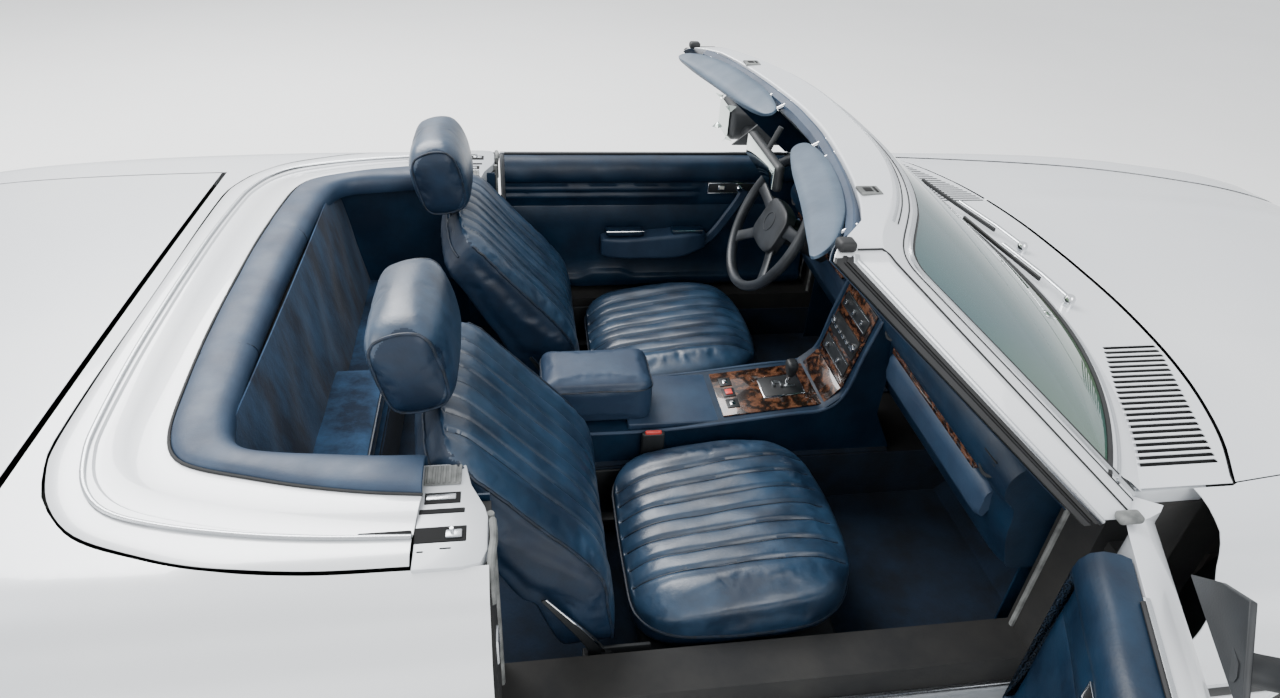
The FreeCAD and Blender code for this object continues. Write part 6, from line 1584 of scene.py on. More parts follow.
def rest_place(a, b, c):
    """A point of the head restraint at shares of its half sizes; it leans back a little."""
    x, z = a * REST_HALF_X, c * REST_HALF_Z
    return Vector((REST_X + x * math.cos(REST_TILT) + z * math.sin(REST_TILT),
                   SEAT_Y + b * REST_HALF_Y, REST_Z - x * math.sin(REST_TILT)
                   + z * math.cos(REST_TILT)))


restraint = soft_box((-1, -1, -1), (1, 1, 1), 0.40, 0.12)
for vert in restraint.verts:
    a, b, c = vert.co
    a, c = rounded_plan(a, c, 0.62)
    vert.co = rest_place(a * (1 - 0.05 * b * b), b, c * (1 - 0.06 * b * b))
restraint = stuffed(restraint, 0.0065, 0.005)
ovals = []
for side in (-1, 1):
    oval_line = []
    for step in range(72):
        angle = 2 * math.pi * step / 72
        a, c = rounded_plan(clamp(1.3 * math.cos(angle), -1, 1),
                            clamp(1.3 * math.sin(angle), -1, 1), 0.62)
        oval_line.append(rest_place(a * 0.80, side * 0.94, c * 0.82))
    ovals.append(swept(laid_on(restraint, oval_line, 0.0008), ring(0.0028, 0.0028, 7), closed=True,
                       up=(0, 1, 0)))
# The oval end panels take the darker leather copy: painted shade on the faces turned to the sides.
for face in restraint.faces:
    spot = face.calc_center_median()
    oval = (((spot.x - REST_X) / (REST_HALF_X * 0.84)) ** 2
            + ((spot.z - REST_Z) / (REST_HALF_Z * 0.86)) ** 2)
    face.material_index = 1 if abs(face.normal.y) > 0.5 and oval < 1 else 0
for piece in keep_pair("head_restraint_pad", restraint, "backrest_%s", LEATHER,
                       stands_for=["head_restraint_%s"], sharp=80):
    piece.data.materials.append(LEATHER_PAINTED_SHADE)
keep_pair("head_restraint_piping", joined(*ovals), "backrest_%s", PIPING)
rods = [swept([(-0.711, SEAT_Y + offset, 0.86), (-0.722, SEAT_Y + offset, 0.98)],
              ring(0.006, 0.006, 16), up=(1, 0, 0)) for offset in (-0.055, 0.055)]
keep_pair("head_restraint_rods", joined(*rods), "backrest_%s", CHROME)

# %% [markdown]
# Below the cushion a steel base rides on runners; covers with chromed edges hide the backrest's
# hinges.
# The catch of the belt stands between the seat and the tunnel.

# %% Seat base, hinge covers and belt catch
bases = [bar((-0.322, SEAT_Y - 0.235, 0.300), (0.100, SEAT_Y + 0.235, 0.335), 0.012, 3)]
for offset, half, low, high in ((0.19, 0.014, (-0.440, 0.281), (0.080, 0.306)),
                                (0.248, 0.004, (-0.436, 0.296), (-0.312, 0.405))):
    for y in (SEAT_Y - offset, SEAT_Y + offset):
        bases.append(bar((low[0], y - half, low[1]), (high[0], y + half, high[1]), 0.003))
keep_pair("seat_frame", joined(*bases), "seat_%s", PLASTIC)
covers, cover_edges = [], []
for side in (-1, 1):
    cover_line = [(-0.520, 0.560), (-0.480, 0.500), (-0.440, 0.438), (-0.404, 0.372)]
    cover_path = smooth_line([(x, SEAT_Y + side * 0.2485, z) for x, z in cover_line], 8)
    covers.append(swept(cover_path, box_ring(0.030, 0.007, 0.003), up=(0, side, 0),
                        size=lambda share: 0.35 + 0.80 * share))
    covers.append(turned([(-0.005, 0.0), (-0.005, 0.016), (0.004, 0.016), (0.007, 0.012),
                          (0.007, 0.0)], 24, (-0.400, SEAT_Y + side * 0.250, 0.382), (0, side, 0)))
    bright_path = [point + Vector((0.010 * (0.35 + 0.8 * step / 24), side * 0.0040, 0.006))
                   for step, point in enumerate(cover_path)]
    cover_edges.append(swept(bright_path, ring(0.0022, 0.0026, 8), up=(0, side, 0)))
    cover_edges.append(bar((-0.398, SEAT_Y + side * 0.2525 - 0.003, 0.362),
                           (-0.372, SEAT_Y + side * 0.2525 + 0.003, 0.374), 0.002))
keep_pair("seat_hinge_covers", joined(*covers), "backrest_%s", PLASTIC)
keep_pair("seat_hinge_bright_edges", joined(*cover_edges), "backrest_%s", CHROME)
keep_pair("belt_catch", bar((-0.262, 0.117, 0.40), (-0.205, 0.130, 0.506), 0.005, 3), "seat_%s",
          PLASTIC)
keep_pair("belt_catch_button", bar((-0.254, 0.1185, 0.500), (-0.213, 0.1285, 0.512), 0.004, 3),
          "seat_%s", RED_BUTTON)
print("seat pieces made")

# %% [markdown]
# ## Door trims
#
# The inner side of each door is a board covered in blue vinyl.  It has a padded roll at the top,
# two pressed ribs, a lower pocket with a stepped edge, and an armrest with a strap that runs up to
# the switches.  One trim is made for the left door; its mirror image goes on the open door.

# %% Door trim board
TRIM_REAR, TRIM_FRONT = -0.574, 0.399
# Rows of the board's section, as (height, distance from the centre plane)
TRIM_ROWS = [(0.866, 0.768), (0.870, 0.752), (0.868, 0.728), (0.858, 0.712), (0.840, 0.703),
             (0.820, 0.701), (0.806, 0.704), (0.799, 0.711), (0.797, 0.716), (0.786, 0.7165),
             (0.783, 0.7125), (0.777, 0.7115), (0.771, 0.7125), (0.768, 0.7165), (0.762, 0.7165),
             (0.759, 0.7125), (0.753, 0.7115), (0.747, 0.7125), (0.744, 0.7165), (0.724, 0.7165),
             (0.721, 0.7185), (0.718, 0.7165), (0.660, 0.7155), (0.600, 0.7155), (0.540, 0.716),
             (0.505, 0.716), (0.500, 0.712), (0.495, 0.702), (0.488, 0.699), (0.460, 0.701),
             (0.440, 0.706), (0.437, 0.716), (0.437, 0.768)]


def trim_point(u, v):
    """Door trim net: u from the rear to the front, v down the section."""
    height, across = TRIM_ROWS[round(v * (len(TRIM_ROWS) - 1))]
    x = mix(TRIM_REAR, TRIM_FRONT, u)
    rib_end = ease(x, 0.005, 0.03)
    if 0.74 < height < 0.79:
        across = mix(across, 0.7165, rib_end)
    if height < 0.51:
        step = ease(x, -0.36, -0.30) - ease(x, -0.22, -0.16)
        height -= 0.020 * (1 - step) * ease(height, 0.44, 0.50)
    puff = 0.0012 * math.sin(x * 38 + height * 11) * math.sin(height * 47 + x * 9)
    if 0.80 < height < 0.865:
        puff *= 1.6
    return Vector((x, across - puff, height))


trim = grid(90, len(TRIM_ROWS) - 1, trim_point)
keep_on_doors("door_trim_board", close_up(trim), VINYL_DARK, stands_for=["door_trim_%s"], sharp=55)

arm = soft_box((-1, -1, -1), (1, 1, 1), 0.30, 0.10)
for vert in arm.verts:
    a, b, c = vert.co
    x = mix(-0.283, 0.052, (a + 1) / 2)
    top = mix(0.632, 0.650, ease(x, -0.24, 0.04))
    low = mix(0.566, 0.588, ease(x, -0.05, 0.05)) - 0.004 * (1 - a * a)
    inner = 0.652 + 0.022 * max(0.0, -a - 0.55) + 0.026 * max(0.0, a - 0.62)
    vert.co = (x, mix(inner, 0.722, (b + 1) / 2), mix(low, top, (c + 1) / 2))
keep_on_doors("door_armrest", arm, VINYL, smooth=1, sharp=80)
cups, cup_edges = [], []
for low_x, high_x in ((-0.268, -0.150), (-0.060, 0.038)):
    cups.append(bar((low_x, 0.662, 0.640), (high_x, 0.700, 0.657), 0.005, 3))
    cup_edges.append(swept([(low_x, 0.661, 0.6575), (high_x, 0.661, 0.6575)],
                           ring(0.0016, 0.0016, 8)))
keep_on_doors("door_armrest_cups", joined(*cups), VINYL_DARK)
keep_on_doors("door_armrest_edges", joined(*cup_edges), CHROME)

strap_path = smooth_line([(0.030, 0.692, 0.598), (0.062, 0.694, 0.612), (0.092, 0.697, 0.645),
                          (0.122, 0.700, 0.690), (0.150, 0.702, 0.735), (0.170, 0.704, 0.776)], 8)
keep_on_doors("door_strap", swept(strap_path, box_ring(0.030, 0.014, 0.005), up=(0, 1, 0)), VINYL)

# %% Door switches, handle and edge strips
keep_on_doors("door_switch_plate", bar((0.052, 0.7045, 0.766), (0.206, 0.7165, 0.798), 0.003, 2),
              PLASTIC)
frame_parts = [bar((0.050, 0.7035, 0.796), (0.208, 0.7165, 0.800), 0.0012),
               bar((0.050, 0.7035, 0.764), (0.208, 0.7165, 0.767), 0.0012),
               bar((0.050, 0.7035, 0.764), (0.053, 0.7165, 0.800), 0.0012),
               bar((0.205, 0.7035, 0.764), (0.208, 0.7165, 0.800), 0.0012),
               bar((0.082, 0.7020, 0.776), (0.106, 0.7060, 0.792), 0.002),
               turned([(-0.004, 0.0), (-0.004, 0.012), (0.010, 0.010), (0.014, 0.006),
                       (0.014, 0.0)], 24, (0.150, 0.7045, 0.782), (0, -1, 0))]
keep_on_doors("door_switch_frame", joined(*frame_parts), CHROME)
keep_on_doors("door_switch", bar((0.086, 0.6995, 0.779), (0.102, 0.7030, 0.789), 0.0015), IVORY)
top_path = [(x, 0.771, 0.8715) for x in (-0.586, -0.3, 0.0, 0.2, 0.318)]
keep_on_doors("door_top_strip", swept(top_path, box_ring(0.010, 0.005, 0.002)), SATIN)
seal_path = [(x, 0.7655, 0.8700) for x in (-0.574, -0.3, 0.0, 0.2, 0.310)]
keep_on_doors("door_glass_seal", swept(seal_path, box_ring(0.008, 0.009, 0.003)), RUBBER)
print("door trims made")

# %% [markdown]
# ## Dashboard, console and steering wheel
#
# The dashboard is a padded shelf in blue vinyl with a deep knee roll.  The console between the
# seats is a vinyl box with burr walnut plates on top, and the stack in front carries the heater
# sliders and the radio.  Every form is a section carried across the car.

# %% Padded dashboard
def across_car(section, half, columns, shift=0.0, end_round=0.02):
    """Carry a closed side section (x, z) across the car, its ends drawn in a little."""
    middle = Vector((sum(x for x, z in section) / len(section), 0,
                     sum(z for x, z in section) / len(section)))
    count = len(section)

    def place(u, v):
        x, z = section[round(v * count) % count]
        side = 2 * u - 1
        inset = end_round * max(0.0, abs(side) - 0.9) ** 2 * 100
        point = Vector((x, 0, z))
        point += (middle - point).normalized() * inset if inset else Vector()
        return Vector((point.x, side * half + shift, point.z))

    return close_up(grid(columns, count, place))


def soft_section(corners, reach, steps=4):
    """Round the corners of a closed side section of (x, z) points."""
    result = []
    count = len(corners)
    for index in range(count):
        before, here = Vector(corners[index - 1]), Vector(corners[index])
        there = Vector(corners[(index + 1) % count])
        length = min(reach, (before - here).length * 0.45, (there - here).length * 0.45)
        start = here + (before - here).normalized() * length
        end = here + (there - here).normalized() * length
        for step in range(steps + 1):
            share = step / steps
            result.append(tuple(mix(mix(start, here, share), mix(here, end, share), share)))
    return result


dash_section = soft_section([(0.600, 0.600), (0.600, 0.856), (0.372, 0.862), (0.318, 0.850),
                             (0.292, 0.812), (0.296, 0.770), (0.326, 0.744), (0.332, 0.700),
                             (0.338, 0.655), (0.372, 0.562), (0.432, 0.560)], 0.022)
keep("dashboard_pad", across_car(dash_section, 0.656, 48, 0.0, 0.012), "body", VINYL_DARK,
     stands_for=["dashboard"], sharp=50)
binnacle_section = soft_section([(0.560, 0.850), (0.560, 0.878), (0.380, 0.898), (0.318, 0.888),
                                 (0.306, 0.868), (0.330, 0.850)], 0.02)
keep("instrument_hood", across_car(binnacle_section, 0.205, 30, 0.356, 0.018), "body", VINYL_DARK,
     sharp=50)
pad_section = soft_section([(0.322, 0.742), (0.308, 0.722), (0.310, 0.668), (0.326, 0.650),
                            (0.350, 0.690), (0.348, 0.735)], 0.014)
keep("dashboard_knee_pads", mirrored(across_car(pad_section, 0.23, 30, 0.37, 0.01)), "body", VINYL,
     sharp=50)

DIAL_AIM = Vector((-0.94, 0, 0.34))
dial_parts, dial_rims, dial_marks = [], [], []
for dial_y, dial_radius in ((0.356, 0.052), (0.462, 0.042), (0.250, 0.042)):
    centre = Vector((0.322, dial_y, 0.822))
    dial_parts.append(turned([(-0.008, 0.0), (-0.008, dial_radius), (0.002, dial_radius),
                              (0.002, 0.0)], 40, centre, DIAL_AIM))
    dial_rims.append(turned([(0.001, dial_radius - 0.002), (0.005, dial_radius - 0.001),
                             (0.005, dial_radius + 0.003), (0.0, dial_radius + 0.004),
                             (0.001, dial_radius - 0.002)], 40, centre, DIAL_AIM))
    upward = Vector((DIAL_AIM.z, 0, -DIAL_AIM.x)).normalized()
    for mark in range(11):
        angle = math.radians(-120 + mark * 24)
        around = upward * math.cos(angle) + Vector((0, math.sin(angle), 0))
        spot = centre + DIAL_AIM.normalized() * 0.0028 + around * dial_radius * 0.8
        half_mark = Vector((0.0012, 0.0010, 0.0030))
        dial_marks.append(bar(spot - half_mark, spot + half_mark, 0.0))
keep("dial_faces", joined(*dial_parts), "body", DIAL)
keep("dial_rims", joined(*dial_rims), "body", CHROME)
keep("dial_marks", joined(*dial_marks), "body", IVORY)
vents = []
for vent_y in (0.595, 0.145, -0.145, -0.595):
    vents.append(turned([(-0.012, 0.0), (-0.012, 0.030), (0.004, 0.030), (0.004, 0.024),
                         (-0.002, 0.022), (-0.002, 0.0)], 32, (0.306, vent_y, 0.802), DIAL_AIM))
    for rib in range(-2, 3):
        vents.append(bar((0.296, vent_y - 0.021, 0.8005 + rib * 0.008),
                         (0.306, vent_y + 0.021, 0.8030 + rib * 0.008), 0.0008))
keep("dashboard_vents", joined(*vents), "body", PLASTIC)
keep("dashboard_wood", mirrored(bar((0.300, 0.17, 0.752), (0.330, 0.56, 0.768), 0.003)), "body",
     WOOD)

# %% Console body and its carpeted sides
CONSOLE_HALF = 0.110
console_section = soft_section([(-0.500, 0.400), (-0.500, 0.500), (-0.200, 0.500), (0.195, 0.540),
                                (0.243, 0.585), (0.293, 0.802), (0.345, 0.803), (0.345, 0.520),
                                (0.405, 0.400)], 0.014)
keep("console_body", across_car(console_section, CONSOLE_HALF, 24, 0.0, 0.003), "body", VINYL_DARK,
     stands_for=["console"], sharp=50)
edge_path = smooth_line([(x, CONSOLE_HALF - 0.0015, z) for x, z in (
    (-0.49, 0.5005), (-0.20, 0.5005), (0.10, 0.5305), (0.195, 0.5405), (0.243, 0.588),
    (0.268, 0.700), (0.293, 0.800))], 8)
keep("console_edge_rolls", mirrored(swept(edge_path, ring(0.0045, 0.0045, 8))), "body", VINYL)
keep("console_tray", bar((-0.292, -0.098, 0.4965), (-0.060, 0.098, 0.5135), 0.004, 3), "body",
     VINYL)

# %% Walnut plates, gear gate and lever
def tilted_bar(start, end, half, thick, corner=0.002, shift=0.0, lift=0.0):
    """A flat plate from start to end in side view, with a width across the car."""
    run = Vector((end[0] - start[0], 0, end[1] - start[1]))
    normal = Vector((-run.z, 0, run.x)).normalized()
    middle = Vector(((start[0] + end[0]) / 2, shift, (start[1] + end[1]) / 2)) + normal * lift
    plate = bar((-run.length / 2, -half, -thick / 2), (run.length / 2, half, thick / 2), corner, 2)
    turn = run.normalized()
    matrix = Matrix(((turn.x, 0, normal.x, middle.x), (0, 1, 0, middle.y),
                     (turn.z, 0, normal.z, middle.z), (0, 0, 0, 1)))
    bmesh.ops.transform(plate, matrix=matrix, verts=plate.verts)
    if matrix.determinant() < 0:
        bmesh.ops.reverse_faces(plate, faces=plate.faces)
    return plate


FLAT = (Vector((-0.052, 0.5155)), Vector((0.205, 0.5415)))
STACK = (Vector((0.2435, 0.590)), Vector((0.2915, 0.796)))
PLATE_HALF, PLATE_THICK, PLATE_CORNER = 0.088, 0.004, 0.0015
keep("console_wood", joined(*[
    tilted_bar(start, end, PLATE_HALF, PLATE_THICK, PLATE_CORNER, 0, lift)
    for (start, end), lift in ((FLAT, 0.0015), (((0.207, 0.545), (0.242, 0.588)), 0.003),
                               (STACK, 0.002))]), "body", WOOD)


def on_plate(plate, share, across, low, high, half_x, half_y, corner=0.0015):
    """A small block on a walnut plate, at a share along it and between two heights over it."""
    run = plate[1] - plate[0]
    half_share = half_x / run.length
    return tilted_bar(plate[0] + run * (share - half_share), plate[0] + run * (share + half_share),
                      half_y, high - low, corner, across, (low + high) / 2 + 0.002)


plastic_parts = [on_plate(FLAT, 0.66, 0.0, 0.001, 0.006, 0.052, 0.040, 0.004)]
for across in (-0.045, 0.045, 0.0):
    plastic_parts.append(on_plate(FLAT, 0.13, across, 0.001, 0.004, 0.016, 0.017))
for share, high, half_x, half_y in ((0.20, 0.005, 0.020, 0.075), (0.48, 0.006, 0.026, 0.078),
                                    (0.80, 0.005, 0.020, 0.075)):
    plastic_parts.append(on_plate(STACK, share, 0.0, 0.001, high, half_x, half_y))
keep("console_switches", joined(*plastic_parts), "body", PLASTIC)
bright_parts = [on_plate(FLAT, 0.66, 0.0, 0.002, 0.0052, 0.0545, 0.0425, 0.004)]
for across in (-0.045, 0.045):
    bright_parts.append(on_plate(FLAT, 0.13, across, 0.003, 0.006, 0.007, 0.009))
for index in range(5):
    bright_parts.append(on_plate(STACK, 0.455, -0.050 + index * 0.025, 0.004, 0.009, 0.004, 0.009))
for across in (-0.066, 0.066):
    bright_parts.append(on_plate(STACK, 0.50, across, 0.004, 0.016, 0.009, 0.009, 0.004))
for share in (0.12, 0.28, 0.72, 0.88):
    bright_parts.append(on_plate(STACK, share, 0.0, 0.0035, 0.0058, 0.0011, 0.070, 0.0005))
for share, across in ((0.20, -0.03), (0.20, 0.045), (0.80, -0.05), (0.80, 0.0), (0.80, 0.05)):
    bright_parts.append(on_plate(STACK, share, across, 0.004, 0.013, 0.006, 0.004, 0.001))
keep("console_bright_parts", joined(*bright_parts), "body", CHROME)
keep("console_red_switch", on_plate(FLAT, 0.13, 0.0, 0.003, 0.007, 0.009, 0.010), "body",
     RED_BUTTON)
slot_points = [(0.098, 0.0), (0.098, 0.012), (0.118, 0.012), (0.118, -0.008), (0.150, -0.008)]
gate = []
for (x0, y0), (x1, y1) in zip(slot_points, slot_points[1:]):
    low = (min(x0, x1) - 0.003, min(y0, y1) - 0.003, 0.530)
    high = (max(x0, x1) + 0.003, max(y0, y1) + 0.003, 0.5455)
    gate.append(bar(low, high, 0.0005))
keep("gear_gate_slot", joined(*gate), "body", SATIN)
keep("gear_lever", swept([(0.130, 0, 0.52), (0.136, 0, 0.575)], ring(0.0055, 0.0055, 16),
                         up=(1, 0, 0)), "body", CHROME, stands_for=["controls"])
knob = soft_box((-1, -1, -1), (1, 1, 1), 0.7, 0.2)
for vert in knob.verts:
    a, b, c = vert.co
    swell = 1.0 + 0.25 * c
    vert.co = (0.138 + a * 0.014 * swell, b * 0.017 * swell, 0.592 + c * 0.024)
keep("gear_knob", knob, "body", PLASTIC, smooth=1, sharp=80)

# %% Armrest box
armrest = soft_box((-1, -1, -1), (1, 1, 1), 0.24, 0.08)
for vert in armrest.verts:
    a, b, c = vert.co
    crown = 0.006 * (1 - a * a) * (1 - b * b) * ease(c, 0.5, 1.0)
    vert.co = (mix(-0.498, -0.232, (a + 1) / 2), b * 0.079, mix(0.502, 0.627, (c + 1) / 2) + crown)
armrest = stuffed(armrest, 0.0075, 0.003)
seam_line = [(x, y, 0.604) for x, y in ((-0.49, -0.080), (-0.36, -0.080), (-0.24, -0.080),
                                        (-0.231, -0.04), (-0.231, 0.04), (-0.24, 0.080),
                                        (-0.36, 0.080), (-0.49, 0.080), (-0.499, 0.04),
                                        (-0.499, -0.04))]
armrest_seam = swept(laid_on(armrest, smooth_line(seam_line, 6, True), 0.0006),
                     ring(0.0022, 0.0022, 6), closed=True)
keep("armrest_pad", armrest, "body", VINYL, stands_for=["armrest"], sharp=80)
keep("armrest_piping", armrest_seam, "body", PIPING)

# %% [markdown]
# The steering wheel is a thick moulded rim on a steel core, four broad spokes and a large padded
# centre.  It is turned and bent about the column's axis, then tilted into place.

# %% Steering wheel and column
WHEEL_CENTRE = Vector((0.148, 0.356, 0.832))
COLUMN_TILT = math.radians(26)
axis_out = Vector((-math.cos(COLUMN_TILT), 0, math.sin(COLUMN_TILT)))
wheel_right = Vector((0, -1, 0))
wheel_up = wheel_right.cross(axis_out) * -1
if wheel_up.z < 0:
    wheel_up = -wheel_up


def on_wheel(across, rise, out):
    """A point of the steering wheel from its own plane."""
    return WHEEL_CENTRE + wheel_right * across + wheel_up * rise + axis_out * out


def wheel_ring(radius, out, outline, count):
    """A ring round the wheel's axis."""
    path = [on_wheel(across, rise, out) for across, rise in ring(radius, radius, count)]
    return swept(path, outline, up=axis_out, closed=True)


def spoke_width(share):
    """Width of a spoke along its length, drawn in at its middle."""
    return 1.15 - 0.55 * math.sin(math.pi * min(share * 0.62 + 0.1, 1))


rim = wheel_ring(0.188, 0, ring(0.0135, 0.0155, 14), 96)
spokes = []
for turn_angle in (168, 12, 222, 318):
    angle = math.radians(turn_angle)
    spoke_path = [on_wheel(math.cos(angle) * reach, math.sin(angle) * reach, out)
                  for reach, out in ((0.050, -0.018), (0.085, -0.015), (0.130, -0.010),
                                     (0.184, -0.002))]
    spokes.append(swept(smooth_line(spoke_path, 5), box_ring(0.056, 0.014, 0.006), up=axis_out,
                        size=spoke_width))
hub = soft_box((-1, -1, -1), (1, 1, 1), 0.34, 0.10)
for vert in hub.verts:
    a, b, c = vert.co
    a, b = rounded_plan(a, b, 0.45)
    reach = 0.078 * (1 + 0.10 * max(0, -b))
    vert.co = on_wheel(a * reach, b * 0.066 - 0.006, -0.014 + c * 0.017 + 0.003 * (1 - a * a) * c)
ring_mark = wheel_ring(0.026, 0.0065, ring(0.0014, 0.0014, 6), 40)
keep("steering_wheel_rim", joined(rim, *spokes), "steering_wheel", WHEEL_GRIP,
     stands_for=["steering_wheel"], sharp=60)
keep("steering_wheel_pad", joined(hub, ring_mark), "steering_wheel", WHEEL_GRIP, smooth=1, sharp=80)
column = turned([(-0.045, 0.0), (-0.045, 0.030), (-0.060, 0.038), (-0.215, 0.042), (-0.215, 0.0)],
                32, WHEEL_CENTRE, axis_out)
stalk = swept([on_wheel(-0.030, 0.0, -0.062), on_wheel(-0.140, 0.02, -0.050)],
              ring(0.005, 0.005, 10), up=axis_out)
stalk_end = turned([(0.0, 0.0), (0.0, 0.008), (0.034, 0.010), (0.038, 0.006), (0.038, 0.0)], 20,
                   on_wheel(-0.130, 0.018, -0.051), wheel_right * -1)
keep("column_shroud", joined(column, stalk, stalk_end), "body", PLASTIC,
     stands_for=["steering_column"])

# %% Pedals
pedals, arms = [], []
for y, half, low_z, high_z, arm_z in ((0.330, 0.050, 0.335, 0.398, 0.39),
                                      (0.205, 0.028, 0.320, 0.410, 0.40)):
    pedals.append(bar((0.608, y - half, low_z), (0.622, y + half, high_z), 0.006, 3))
    arms.append(swept([(0.618, y, arm_z), (0.640, y, 0.50), (0.640, y, 0.575)],
                      box_ring(0.016, 0.010, 0.002), up=(0, 1, 0)))
keep("pedal_pads", joined(*pedals), "body", RUBBER)
keep("pedal_arms", joined(*arms), "body", STEEL)
print("dashboard and console made")

# %% [markdown]
# ## Linings of the cabin
#
# The floor, the tunnel and the walls are covered with loop carpet, and the wall behind the seats
# with cut velour.  A lining is a sheet a few millimetres off the steel, a little puffed between
# its fixings.

# %% Linings
def lining(corner, along_edge, across_edge, columns, rows, puff, seed=0.0):
    """A flat sheet from a corner along two edges, softly puffed along its normal."""
    corner, first, second = Vector(corner), Vector(along_edge), Vector(across_edge)
    normal = first.cross(second).normalized()

    def place(u, v):
        inside = 0 < u < 1 and 0 < v < 1
        soft = math.sqrt(math.sin(math.pi * u) * math.sin(math.pi * v)) if inside else 0
        wave = 1 + 0.25 * math.sin(u * 9 + seed) * math.sin(v * 7 + seed * 2)
        return corner + first * u + second * v + normal * puff * soft * wave

    return walled(grid(columns, rows, place), 0.004)


# Linings of the left half: (corner, first edge, second edge, columns, rows, puff, seed)
LEFT_CARPETS = [((-0.858, 0.130, 0.256), (1.42, 0, 0), (0, 0.525, 0), 24, 12, 0.003, 1.0),
                ((0.560, 0.130, 0.256), (0.196, 0, 0.215), (0, 0.525, 0), 10, 14, 0.004, 2.0),
                ((0.756, 0.130, 0.470), (0, 0, 0.13), (0, 0.525, 0), 6, 12, 0.002, 3.0),
                ((-0.858, 0.129, 0.254), (1.60, 0, 0), (0, 0, 0.150), 24, 6, -0.004, 1.5),
                ((-0.855, 0.657, 0.254), (1.60, 0, 0), (0, 0, 0.110), 24, 5, 0.003, 2.5)]
LEFT_BOARDS = [((0.430, 0.634, 0.262), (0.320, 0, 0), (0, 0, 0.400), 10, 10, 0.003, 0.5),
               ((-1.036, 0.586, 0.548), (0.330, 0, 0), (0, 0, 0.296), 16, 12, 0.003, 0.5),
               ((-0.712, 0.655, 0.330), (0.110, 0, 0), (0, 0, 0.525), 6, 16, 0.004, 1.5),
               ((-0.862, 0.600, 0.330), (0.160, 0.055, 0), (0, 0, 0.525), 8, 16, 0.004, 2.5)]
tunnel_carpet = lining((-0.858, -0.124, 0.404), (1.25, 0, 0), (0, 0.248, 0), 20, 8, 0.004, 1.0)
riser_carpet = lining((-0.856, -0.600, 0.262), (0, 1.200, 0), (0, 0, 0.285), 24, 10, 0.004, 2.0)
keep("cabin_carpet", joined(mirrored(*[lining(*row) for row in LEFT_CARPETS]), tunnel_carpet,
                            riser_carpet), "body", CARPET, stands_for=["carpets"])
keep("cabin_side_boards", mirrored(*[lining(*row) for row in LEFT_BOARDS]), "body", VINYL_DARK)


def bulkhead_place(u, v):
    """Velour wall behind the seats, with soft folds in its pile."""
    y = (2 * u - 1) * 0.585
    fold = 0.0016 * math.sin(u * 46 + 2 * math.sin(v * 5)) * math.sin(v * 3.1)
    lean = 0.055 * (1 - v)
    return Vector((-1.034 + lean + 0.004 * math.sin(math.pi * u) + fold, y, mix(0.546, 0.862, v)))


def shelf_place(u, v):
    """Velour floor behind the seats."""
    rise = 0.0015 * math.sin(u * 31) * math.sin(v * 12)
    return Vector((mix(-1.030, -0.862, v), (2 * u - 1) * 0.584, 0.5475 + rise))


step_block = soft_box((-1.026, -0.06, 0.545), (-0.870, 0.582, 0.600), 0.014, 0.02)
keep("rear_velour", joined(walled(grid(90, 28, bulkhead_place), 0.003),
                           walled(grid(60, 12, shelf_place), 0.003), copied(step_block, FLIP)),
     "body", VELOUR)
step_block.free()
welt_line = [(-0.869, -0.580, 0.598), (-0.869, 0.058, 0.598), (-0.869, 0.0605, 0.596),
             (-0.869, 0.0605, 0.550)]
keep("rear_step_piping", swept(welt_line, ring(0.003, 0.003, 7), up=(1, 0, 0)), "body", PIPING)

# %% [markdown]
# The door opening is painted steel: a jamb behind, a hinge post in front and the sill between.
# The jamb's top shows the fittings of the photo: a ribbed grey pad, a latch recess, dark slots and
# the hooked rubber seal.

# %% Door openings
JAMB_TOP = [(-0.709, 0.590), (-0.640, 0.590), (-0.630, 0.640), (-0.608, 0.690), (-0.603, 0.712),
            (-0.603, 0.776), (-0.612, 0.800), (-0.640, 0.806), (-0.709, 0.806)]
jamb_top = rounded(slab([(x, y, 0.8655) for x, y in JAMB_TOP], (0, 0, -0.045)), 0.0025)
keep("door_opening_steel", mirrored(
    jamb_top, bar((-0.707, 0.658, 0.330), (-0.603, 0.800, 0.830), 0.006),
    bar((0.432, 0.662, 0.330), (0.600, 0.752, 0.866), 0.008),
    bar((-0.640, 0.700, 0.326), (0.470, 0.764, 0.3445), 0.005),
    bar((-0.640, 0.758, 0.300), (0.470, 0.801, 0.3325), 0.004),
    bar((-0.640, 0.657, 0.250), (0.470, 0.662, 0.352), 0.0015, 1)), "body", PAINT_INNER)
keep("sill_inner_covers", mirrored(
    bar((-0.642, 0.653, 0.250), (0.472, 0.711, 0.3468), 0.006, 3),
    bar((0.730, 0.130, 0.475), (0.742, 0.655, 0.640), 0.004)), "body", VINYL_DARK)
ribs = [bar((-0.703, 0.596, 0.8655), (-0.646, 0.640, 0.8685), 0.001, 1)]
for x in spaced(-0.699, -0.6498, 7):
    ribs.append(bar((x, 0.598, 0.8680), (x + 0.0045, 0.638, 0.8705), 0.0008, 1))
keep("jamb_ribbed_pads", mirrored(*ribs), "body", GREY_RUBBER)
JAMB_SLOTS = [((-0.706, 0.690), (-0.638, 0.7005)), ((-0.709, 0.727), (-0.634, 0.758)),
              ((-0.704, 0.772), (-0.694, 0.775)), ((-0.672, 0.768), (-0.655, 0.771))]
slots = [bar((*low, 0.862), (*high, 0.8668), 0.0012, 1) for low, high in JAMB_SLOTS]
latch_recess = bar((-0.700, 0.655, 0.862), (-0.645, 0.680, 0.8666), 0.0012, 1)
keep("jamb_slots", mirrored(latch_recess, *slots), "body", DARK_VOID)
